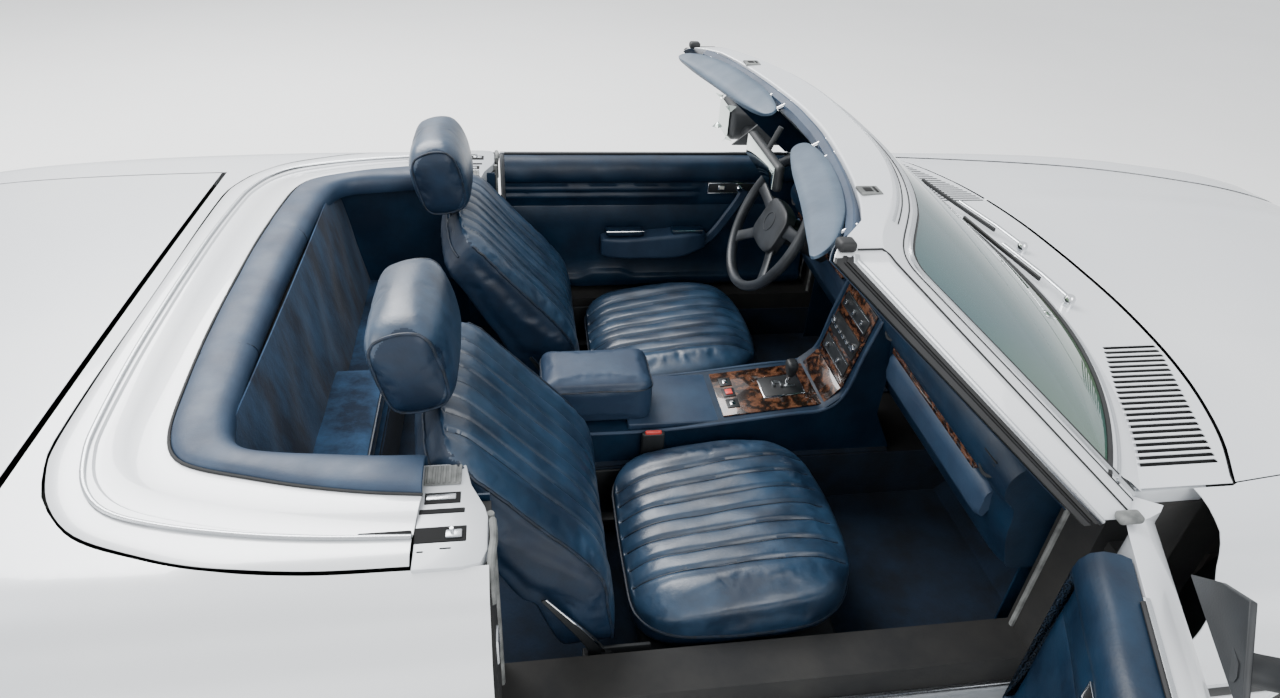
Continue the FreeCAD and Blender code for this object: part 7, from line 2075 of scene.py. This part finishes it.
keep("jamb_latches", mirrored(
    bar((-0.698, 0.660, 0.864), (-0.652, 0.672, 0.8680)),
    bar((-0.664, 0.737, 0.864), (-0.640, 0.752, 0.8705)),
    turned([(0, 0), (0, 0.003), (0.010, 0.003), (0.010, 0)], 12, (-0.655, 0.742, 0.868), (0, 0, 1)),
    bar((-0.606, 0.752, 0.60), (-0.596, 0.786, 0.66), 0.003)), "body", SATIN)
hook = smooth_line([(-0.596, 0.722, 0.8660), (-0.594, 0.760, 0.8685), (-0.598, 0.792, 0.8620),
                    (-0.599, 0.806, 0.830), (-0.599, 0.800, 0.780)], 8)
opening_line = [(-0.600, 0.700, 0.860), (-0.600, 0.700, 0.352), (-0.580, 0.680, 0.350),
                (0.420, 0.680, 0.350), (0.430, 0.676, 0.370), (0.430, 0.676, 0.860)]
keep("door_seals", mirrored(swept(hook, ring(0.008, 0.006, 10), up=(1, 0, 0)),
                            swept(opening_line, ring(0.006, 0.006, 8), up=(0.05, 1, 0.03))),
     "body", GREY_RUBBER)
sill_plates = [bar((-0.560, 0.712, 0.3440), (0.430, 0.764, 0.3475), 0.0012)]
for y in spaced(0.720, 0.758, 5):
    sill_plates.append(bar((-0.550, y - 0.002, 0.347), (0.420, y + 0.002, 0.3495), 0.001, 1))
keep("sill_plates", mirrored(*sill_plates), "body", SATIN)
keep("lid_end_slots", mirrored(bar((-0.790, 0.733, 0.8640), (-0.7125, 0.745, 0.8705), 0.003)),
     "soft_top_lid", DARK_VOID)
print("linings and door openings made")

# %% [markdown]
# ## Wheels
#
# Each wheel is a one-piece cast alloy rim with a ring of twelve round holes, turned on its face,
# with a low cap over the hub and five bolts.  The tyre is a body of revolution with grooves round
# it and sipes across it.  One wheel is made at the middle and then copied to the four corners.

# %% Rim, cap and bolts
WHEEL_PLACES = {"front_left": (AXLE_X, 0.726), "front_right": (AXLE_X, -0.726),
                "rear_left": (-AXLE_X, 0.720), "rear_right": (-AXLE_X, -0.720)}
RIM_SECTION = [(0.0625, 0.019), (0.0625, 0.046), (0.0612, 0.060), (0.0580, 0.084), (0.0560, 0.108),
               (0.0530, 0.132), (0.0512, 0.150), (0.0540, 0.160), (0.0620, 0.171), (0.0740, 0.181),
               (0.0795, 0.187), (0.0820, 0.192), (0.0835, 0.1975), (0.0815, 0.1995),
               (0.0775, 0.1985), (0.0755, 0.190), (0.052, 0.189), (0.032, 0.177), (-0.030, 0.177),
               (-0.050, 0.189), (-0.0755, 0.190), (-0.0775, 0.199), (-0.0835, 0.199),
               (-0.0835, 0.187), (-0.070, 0.174), (0.024, 0.168), (0.034, 0.150), (0.040, 0.120),
               (0.037, 0.064), (-0.014, 0.054), (-0.014, 0.019), (0.0625, 0.019)]
HOLE_RING, HOLE_R, HOLES = 0.108, 0.0145, 12
BOLT_RING, BOLTS = 0.054, 5


cap = turned([(0.056, 0.0), (0.056, 0.036), (0.0655, 0.0358), (0.0705, 0.034), (0.0725, 0.028),
              (0.0735, 0.016), (0.0740, 0.0)], 48)
bolts = []
for index in range(BOLTS):
    around = 2 * math.pi * index / BOLTS + 0.3
    start = (math.cos(around) * BOLT_RING, 0, math.sin(around) * BOLT_RING)
    bolts.append(turned([(0.055, 0.0), (0.055, 0.0105), (0.0630, 0.0105), (0.0645, 0.0085)], 24,
                        start))
    bolts.append(turned([(0.0640, 0.0), (0.0640, 0.0075), (0.0715, 0.0075), (0.0725, 0.0055),
                         (0.0725, 0.0)], 6, start))
valve = turned([(0.0, 0.0), (0.0, 0.005), (0.022, 0.0035), (0.030, 0.0030), (0.030, 0.0)], 12,
               (0.166, 0.055, 0.02), (-0.15, 1, 0))
bolt_circle = joined(*bolts)

# %% Tyre with its tread
SIDEWALL = [(-0.0735, 0.1915), (-0.0735, 0.2040), (-0.0800, 0.2075), (-0.0880, 0.2130),
            (-0.0925, 0.2230), (-0.0915, 0.2245), (-0.0942, 0.2280), (-0.0948, 0.2480),
            (-0.0938, 0.2500), (-0.0944, 0.2620), (-0.0930, 0.2780), (-0.0900, 0.2920),
            (-0.0850, 0.3020), (-0.0780, 0.3085), (-0.0700, 0.3125), (-0.0600, 0.3145)]
TREAD = [(-0.0480, 0.3152), (-0.0472, 0.3085), (-0.0415, 0.3085), (-0.0407, 0.3158),
         (-0.0300, 0.3162), (-0.0215, 0.3165), (-0.0207, 0.3090), (-0.0150, 0.3090),
         (-0.0142, 0.3167), (-0.0070, 0.3169)]
HALF_TYRE = SIDEWALL + TREAD
TYRE_SECTION = (HALF_TYRE + [(0.0, 0.3170)]
                + [(-reach, radius) for reach, radius in reversed(HALF_TYRE)])
TYRE_COLUMNS = 360


def tyre_place(u, v):
    """A point of the tyre: u round the wheel, v round the section, with sipes in the tread."""
    column = round(u * TYRE_COLUMNS) % TYRE_COLUMNS
    row = round(v * len(TYRE_SECTION)) % len(TYRE_SECTION)
    reach, radius = TYRE_SECTION[row]
    if radius > 0.3140 and (column + (2 if reach > 0 else 0)) % 4 == 0 and abs(reach) > 0.004:
        radius -= 0.0050
    if 0.300 < radius < 0.3140 and abs(reach) > 0.060 and column % 4 == 1:
        radius -= 0.0030
    around = 2 * math.pi * column / TYRE_COLUMNS
    return Vector((math.cos(around) * radius, reach, math.sin(around) * radius))


tyre = close_up(grid(TYRE_COLUMNS, len(TYRE_SECTION), tyre_place))
rim_holes = []
for index in range(HOLES):
    around = 2 * math.pi * (index + 0.5) / HOLES
    rim_holes.append(turned([(-0.2, 0.0), (-0.2, HOLE_R), (0.2, HOLE_R), (0.2, 0.0)], 28,
                            (math.cos(around) * HOLE_RING, 0, math.sin(around) * HOLE_RING)))
rim_piece = keep("rim_pattern", turned(RIM_SECTION, 96), "body", ALLOY)
cut_through(rim_piece, joined(*rim_holes), "Holes")
rim = bmesh.new()
rim.from_mesh(rim_piece.data)
bpy.data.objects.remove(rim_piece)
for corner, (place_x, place_y) in WHEEL_PLACES.items():
    matrix = Matrix.Translation((place_x, place_y, WHEEL_Z)) @ (Matrix() if place_y > 0 else FLIP)
    wheel = "wheel_" + corner
    keep("rim_" + corner, copied(rim, matrix), wheel, ALLOY, edge=0.0014, sharp=32,
         stands_for=["wheel_rim_" + corner])
    keep("rim_cap_" + corner, copied(cap, matrix), wheel, CHROME)
    keep("rim_bolts_" + corner, copied(bolt_circle, matrix), wheel, STEEL)
    keep("valve_" + corner, copied(valve, matrix), wheel, RUBBER)
    keep("tyre_tread_" + corner, copied(tyre, matrix), wheel, TYRE, stands_for=["tyre_" + corner],
         sharp=28)
for piece in (rim, cap, bolt_circle, valve, tyre):
    piece.free()

# %% [markdown]
# ## Front and back
#
# Both ends are closed by a painted panel with openings for the lamps.  The lamps wrap round the
# corners behind ribbed lenses.  The bumpers are chromed blades with a rubber strip, and the
# plates are blank.

# %% Closing panels
END_LOW = 0.258


def end_place(face_x, curve_in):
    """Net of an end panel: u across the car, v from the upper edge down."""
    inward = -1 if face_x > 0 else 1

    def place(u, v):
        share = 2 * u - 1
        rim_x = face_x + inward * 0.014
        top_y = body_half(rim_x) - SHOULDER_IN
        z = mix(roof_z(rim_x, share * top_y) - 0.004, END_LOW, v)
        half = side_y(rim_x, min(z, along(STATION_SHOULDER, rim_x) - 0.03)) - 0.0015
        near_top = clamp((0.06 - (roof_z(rim_x, share * top_y) - z)) / 0.06)
        half = mix(half, half - 0.050, near_top ** 2)
        turn_in = max(0.0, (abs(share) - curve_in) / (1 - curve_in))
        return Vector((face_x + inward * 0.0135 * turn_in ** 2.5, share * half, z))

    return place


def lamp_cutter(low_x, high_x, low_y, low_z, high_z):
    """Box through both corners of one end."""
    return mirrored(bar((low_x, low_y, low_z), (high_x, 1.0, high_z), 0.010, 3))


nose, tail = [keep(name + "_closing_panel", walled(grid(90, 36, end_place(face_x, 0.94)), 0.002),
                   "body", PAINT, stands_for=[name + "_panel"])
              for name, face_x in (("nose", 2.0490), ("tail", -2.2040))]
cut_through(nose, bar((1.9, -0.430, 0.546), (2.2, 0.430, 0.689), 0.010, 3), "Grille opening")
for panel in (nose, front_piece):
    cut_through(panel, lamp_cutter(1.905, 2.2, 0.462, 0.550, 0.688), "Lamp openings")
for panel in (tail, rear_piece):
    cut_through(panel, lamp_cutter(-2.35, -2.113, 0.427, 0.567, 0.698), "Lamp openings")

# %% Lamps
def lamp_line(face_x, start_y, end_x, z):
    """Plan line of a lens, from the inner end round the corner to the flank."""
    inward = -1 if face_x > 0 else 1
    points = [Vector((face_x, y, z)) for y in (start_y, mix(start_y, 0.74, 0.5), 0.735)]
    points.append(Vector((face_x + inward * 0.006, 0.785, z)))
    for share, inset in ((0.20, 0.005), (0.44, 0.0015), (0.70, 0.001)):
        x = mix(face_x, end_x, share)
        points.append(Vector((x, side_y(x, z) - inset, z)))
    points.append(Vector((end_x, side_y(end_x, z) - 0.001, z)))
    return resampled(smooth_line(points, 10), 121)


def lens_piece(face_x, start_y, end_x, low_z, high_z, first, last, ribs, depth):
    """A share of a lens, ribbed along or across it."""
    rows = 48
    lines = [lamp_line(face_x, start_y, end_x, mix(low_z, high_z, row / rows))
             for row in range(rows + 1)]
    middle = Vector((face_x * 0.7, 0, (low_z + high_z) / 2))

    def place(u, v):
        index = round(mix(first, last, u) * 120)
        row = round(v * rows)
        point = lines[row][index]
        wave = 0.5 + 0.5 * math.cos(2 * math.pi * ribs * v)
        inwards = Vector((middle.x - point.x, middle.y - point.y, 0)).normalized()
        return point + inwards * depth * wave

    return walled(grid(round((last - first) * 120), rows, place), 0.0025)


FRONT_LAMP = (2.0485, 0.466, 1.908, 0.553, 0.685)
REAR_LAMP = (-2.2040, 0.431, -2.116, 0.570, 0.695)
keep("lamp_clear_lenses", mirrored(lens_piece(*FRONT_LAMP, 0.0, 0.60, 1, 0.0015),
                                   lens_piece(*REAR_LAMP, 0.0, 0.20, 12, 0.0022)),
     "body", LENS, stands_for=["headlamps"])
keep("lamp_amber_lenses", mirrored(lens_piece(*FRONT_LAMP, 0.6084, 1.0, 12, 0.0020),
                                   lens_piece(*REAR_LAMP, 0.7084, 1.0, 12, 0.0022)),
     "body", AMBER)
keep("lamp_red_lenses", mirrored(lens_piece(*REAR_LAMP, 0.2084, 0.70, 12, 0.0022)), "body",
     RED_LENS, stands_for=["tail_lamps"])

BOWL = [(-0.052, 0.0), (-0.050, 0.012), (-0.040, 0.030), (-0.022, 0.046), (0.0, 0.056),
        (0.002, 0.059), (-0.002, 0.059), (-0.056, 0.020), (-0.056, 0.0)]
BULB = [(-0.050, 0.0), (-0.050, 0.006), (-0.018, 0.006), (-0.014, 0.0)]
bowls = [turned(section, steps, (2.036, y, 0.619), (1, 0, 0))
         for y in (0.535, 0.665) for section, steps in ((BOWL, 40), (BULB, 16))]
keep("lamp_bowls", mirrored(*bowls), "body", CHROME)
HOUSING_WALLS = [((1.965, 0.452, 0.545), (1.978, 0.815, 0.693)),
                 ((1.915, 0.790, 0.545), (1.975, 0.806, 0.693)),
                 ((1.965, 0.452, 0.543), (2.046, 0.800, 0.548)),
                 ((1.965, 0.452, 0.690), (2.046, 0.800, 0.695)),
                 ((1.965, 0.449, 0.545), (2.046, 0.458, 0.693)),
                 ((-2.150, 0.418, 0.560), (-2.138, 0.805, 0.705)),
                 ((-2.202, 0.418, 0.560), (-2.150, 0.424, 0.705))]
keep("lamp_housings", mirrored(*[bar(low, high, 0.001, 1) for low, high in HOUSING_WALLS]), "body",
     PLASTIC)
rims = []
for *plan, low_z, high_z in ((2.0490, 0.465, 1.908, 0.5515, 0.6865),
                             (-2.2045, 0.430, -2.116, 0.5685, 0.6965)):
    loop = lamp_line(*plan, low_z) + lamp_line(*plan, high_z)[::-1]
    rims.append(swept(loop, ring(0.0026, 0.0026, 8), up=(0.3, 0.2, 1), closed=True))
keep("lamp_rims", mirrored(*rims), "body", CHROME)

# %% Grille
slats = [bar((2.014, -0.428, 0.547), (2.018, 0.428, 0.688), 0.001, 1)]
for index in range(8):
    z = 0.562 + index * 0.0160
    slats.append(bar((2.018, -0.426, z - 0.0026), (2.046, 0.426, z + 0.0026), 0.0015, 2))
for index in range(11):
    y = -0.350 + index * 0.070
    slats.append(bar((2.018, y - 0.002, 0.548), (2.040, y + 0.002, 0.687), 0.001, 1))
keep("grille_slats", joined(*slats), "body", PLASTIC, stands_for=["grille"])
grille_frame = [framed(2.0505, 0.429, 0.547, 0.688, box_ring(0.008, 0.010, 0.0025)),
                bar((2.046, -0.427, 0.6145), (2.0535, 0.427, 0.6225))]
keep("grille_frame", joined(*grille_frame), "body", CHROME)
intake_slats = []
for z in spaced(0.309, 0.3606, 4):
    intake_slats.append(bar((2.046, 0.304, z - 0.003), (2.0530, 0.656, z + 0.003), 0.0015))
keep("nose_intakes", mirrored(bar((2.040, 0.30, 0.295), (2.0500, 0.66, 0.375), 0.006)), "body",
     DARK_VOID)
keep("nose_intake_slats", mirrored(*intake_slats), "body", PLASTIC)

# %% Bumpers
FRONT_LINE = [(1.780, 0.8945), (1.90, 0.8900), (1.985, 0.8760), (2.030, 0.8520), (2.060, 0.8120),
              (2.076, 0.750), (2.091, 0.540), (2.101, 0.280), (2.1045, 0.0)]
REAR_LINE = [(-1.965, 0.8945), (-2.085, 0.8900), (-2.170, 0.8760), (-2.215, 0.8520),
             (-2.245, 0.8120), (-2.261, 0.750), (-2.276, 0.540), (-2.286, 0.280), (-2.2895, 0.0)]
BLADE = [(0.032, -0.056), (0.014, -0.059), (0.007, -0.055), (0.004, -0.046), (0.004, -0.020),
         (0.006, -0.0185), (0.006, 0.0185), (0.004, 0.020), (0.004, 0.046), (0.007, 0.055),
         (0.014, 0.059), (0.032, 0.056), (0.034, 0.050), (0.016, 0.044), (0.013, 0.0),
         (0.016, -0.044), (0.034, -0.050)]
STRIP = [(0.0085, -0.0175), (0.0022, -0.0165), (0.0, -0.0125), (0.0, 0.0125), (0.0022, 0.0165),
         (0.0085, 0.0175)]
for name, half_line in (("front", FRONT_LINE), ("rear", REAR_LINE)):
    left = [Vector((x, y, 0.455)) for x, y in half_line]
    line = left + [Vector((point.x, -point.y, point.z)) for point in left[-2::-1]]
    if name == "rear":
        line.reverse()
    path = resampled(smooth_line(line, 12), 180)
    keep(name + "_bumper_blade", swept(path, BLADE), "body", CHROME, stands_for=[name + "_bumper"])
    keep(name + "_bumper_strip", swept(path[2:-2], STRIP), "body", RUBBER)
keep("blank_plates", joined(bar((2.0495, -0.26, 0.280), (2.0540, 0.26, 0.388)),
                            bar((-2.2095, -0.26, 0.570), (-2.2050, 0.26, 0.680))), "body", IVORY)
plate_rims = [framed(2.0535, 0.26, 0.280, 0.388, ring(0.003, 0.003, 8)),
              framed(-2.2090, 0.26, 0.570, 0.680, ring(0.003, 0.003, 8)),
              turned([(0, 0), (0, 0.014), (0.006, 0.013), (0.008, 0.009), (0.008, 0)], 28,
                     (-2.204, 0, 0.703), (-1, 0, 0))]
keep("plate_frames_and_lock", joined(*plate_rims), "body", CHROME)

# %% [markdown]
# ## Doors outside, mirrors and side strips
#
# The door mirror has a black moulded case on a short foot, beside a flat corner plate.  The
# handle is a chromed pull over a shallow cup, and a rubber strip runs along the flank.

# %% Mirrors and handles
case = soft_box((-1, -1, -1), (1, 1, 1), 0.42, 0.09)
for vert in case.verts:
    a, b, c = vert.co
    b, c = rounded_plan(b, c, 0.20)
    narrow = (a + 1) / 2
    half_y, half_z = mix(0.076, 0.062, narrow ** 2), mix(0.061, 0.044, narrow ** 2)
    vert.co = (0.204 + a * 0.054, 0.977 + b * half_y - 0.006 * narrow,
               0.917 + c * half_z - 0.004 * narrow)
corner_outline = [(x, 0.846, z) for x, z in ((0.150, 0.868), (0.395, 0.868), (0.330, 0.925),
                                             (0.262, 0.966))]
corner_plate = rounded(slab(corner_outline, (0, 0.010, 0)), 0.002)
foot = swept([(0.222, 0.846, 0.888), (0.220, 0.880, 0.890), (0.215, 0.925, 0.900)],
             box_ring(0.050, 0.034, 0.012), up=(0, 0, 1))
keep_on_doors("mirror_case", joined(case, corner_plate, foot), PLASTIC, sharp=60)
glass = bar((-0.001, -0.064, -0.049), (0.001, 0.064, 0.049), 0.0007, 1)
rounded(glass, 0.012, 4, [edge for edge in glass.edges
                          if abs(edge.verts[0].co.x - edge.verts[1].co.x) > 0.0004])
keep_on_doors("mirror_glass", copied(glass, Matrix.Translation((0.1488, 0.977, 0.917))), MIRROR)
glass.free()


def flank_line(start, end, z, lift, count=40):
    """Points along the flank at a height."""
    return [Vector((x, side_y(x, z) + lift, z)) for x in spaced(start, end, count)]


HANDLE_Z = 0.742
pull_line = [(x, side_y(x_body, HANDLE_Z) + lift, HANDLE_Z)
             for x, x_body, lift in ((-0.505, -0.5, 0.001), (-0.497, -0.5, 0.016),
                                     (-0.440, -0.44, 0.019), (-0.372, -0.37, 0.016),
                                     (-0.362, -0.36, 0.001))]
handle = [swept(smooth_line(pull_line, 8), box_ring(0.007, 0.020, 0.003), up=(0, 0, 1)),
          turned([(0, 0), (0, 0.013), (0.006, 0.012), (0.007, 0)], 28,
                 (-0.535, side_y(-0.535, HANDLE_Z) - 0.002, HANDLE_Z), (0, 1, 0))]
keep_on_doors("door_handle", joined(*handle), CHROME)
cup_y = side_y(-0.43, HANDLE_Z)
cup = soft_box((-0.488, cup_y - 0.004, HANDLE_Z - 0.020),
               (-0.380, cup_y + 0.0012, HANDLE_Z + 0.020), 0.003, 0.008)
keep_on_doors("door_handle_cup", cup, DARK_VOID)
STRIP_Z = 0.452
strip_outline = [(0.0035, -0.019), (-0.002, -0.0165), (-0.0045, -0.010), (-0.0045, 0.010),
                 (-0.002, 0.0165), (0.0035, 0.019)]
trim_outline = [(-out * 1.15, up) for out, up in (
    (-0.003, -0.0235), (0.0015, -0.0225), (0.0025, -0.018), (0.0025, 0.018), (0.0015, 0.0225),
    (-0.003, 0.0235))]
keep_on_doors("door_strip", swept(flank_line(-0.583, 0.545, STRIP_Z, 0.001), strip_outline), RUBBER)
keep_on_doors("door_strip_trim", swept(flank_line(-0.584, 0.546, STRIP_Z, 0.0005), trim_outline),
              SATIN)
strips, trims = [], []
for start, end in ((0.575, 0.862), (1.610, 1.765), (-0.862, -0.610), (-1.950, -1.600)):
    strips.append(swept(flank_line(start, end, STRIP_Z, 0.001), strip_outline))
    trims.append(swept(flank_line(start - 0.001, end + 0.001, STRIP_Z, 0.0005), trim_outline))
keep("wing_strips", mirrored(*strips), "body", RUBBER)
keep("wing_strip_trims", mirrored(*trims), "body", SATIN)
print("wheels, ends and outside fittings made")

# %% [markdown]
# ## Pieces that keep their packed form
#
# Under the car most parts are plain pressed, cast or drawn steel.  Their packed forms are right as
# they are, so they only take a finish.

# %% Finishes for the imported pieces
KEPT_FINISH = [(STEEL, "boot_tub deck_tub cabin_tub front_frame jack_and_tie_lugs"),
               (CASTING, "knuckle_left knuckle_right front_suspension rear_suspension engine_block"
                         " propshaft seat_rails_left seat_rails_right"),
               (EXHAUST, "exhaust")]


def dress(node_name, material):
    """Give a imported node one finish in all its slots."""
    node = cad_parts[node_name]
    node.data.materials.clear()
    node.data.materials.append(material)


for material, names in KEPT_FINISH:
    for node_name in names.split():
        dress(node_name, material)
print("kept nodes:", sum(len(names.split()) for material, names in KEPT_FINISH))

# %% [markdown]
# ## Floor, light and camera
#
# The photo is a view from above the passenger's side, on plain white and in soft even daylight.  A
# wide soft light stands over the car, a second one fills from the camera's side, and a pale floor
# closes the picture.  The camera's place and lens were worked out from the photo's own lines.

# %% Pale floor
FLOOR, tree, shader, where = finish("Matt_white_studio_floor", "dark_plastic", "F2F2F1",
                                    Roughness=0.95)
tint(tree, shader, grain(tree, where, 900.0), "F7F7F6", "FBFBFA")
floor_bm = bmesh.new()
bmesh.ops.create_circle(floor_bm, cap_ends=True, segments=96, radius=26.0)
floor_mesh = bpy.data.meshes.new("studio_floor")
floor_bm.to_mesh(floor_mesh)
floor_bm.free()
floor_mesh.materials.append(FLOOR)
floor = bpy.data.objects.new("studio_floor", floor_mesh)
floor.location.z = -0.002
bpy.context.scene.collection.objects.link(floor)

# %% Soft lights
world = bpy.data.worlds.new("Studio")
world.use_nodes = True
bpy.context.scene.world = world
sky = world.node_tree.nodes["Background"]
sky.inputs["Color"].default_value = light("F4F7FA")
sky.inputs["Strength"].default_value = 1.25
for name, place, aim, width, power in (("key", (-2.6, 3.4, 5.4), (0.0, 0.0, 0.6), 4.5, 620.0),
                                       ("fill", (1.6, -5.2, 4.0), (0.0, 0.0, 0.6), 4.0, 190.0),
                                       ("back", (-5.5, -1.5, 3.6), (0.0, 0.0, 0.6), 3.5, 130.0)):
    lamp = bpy.data.lights.new(name + "_light", "AREA")
    lamp.shape = "DISK"
    lamp.size = width
    lamp.energy = power
    lamp_object = bpy.data.objects.new(name + "_light", lamp)
    lamp_object.location = place
    lamp_object.rotation_euler = (Vector(aim) - Vector(place)).to_track_quat("-Z", "Y").to_euler()
    bpy.context.scene.collection.objects.link(lamp_object)

# %% Camera at the photo's angle
EYE = Vector((-0.5466, -1.5876, 1.7715))
FOCAL_PIXELS, PICTURE_WIDTH = 803.2, 1280
YAW, PITCH, ROLL = math.radians(10.29), math.radians(34.34), math.radians(3.86)
ahead = Vector((math.sin(YAW) * math.cos(PITCH), math.cos(YAW) * math.cos(PITCH), -math.sin(PITCH)))
level = ahead.cross(Vector((0, 0, 1))).normalized()
above = level.cross(ahead)
right = math.cos(ROLL) * level + math.sin(ROLL) * above
up = math.cos(ROLL) * above - math.sin(ROLL) * level
lens = bpy.data.cameras.new("photo_camera")
lens.sensor_width = 36.0
lens.lens = FOCAL_PIXELS / PICTURE_WIDTH * lens.sensor_width
lens.clip_start = 0.02
lens.clip_end = 80.0
camera = bpy.data.objects.new("photo_camera", lens)
camera.matrix_world = Matrix.Translation(EYE) @ Matrix((right, up, -ahead)).transposed().to_4x4()
bpy.context.scene.collection.objects.link(camera)
bpy.context.scene.camera = camera
print("lens:", round(lens.lens, 2), "mm")
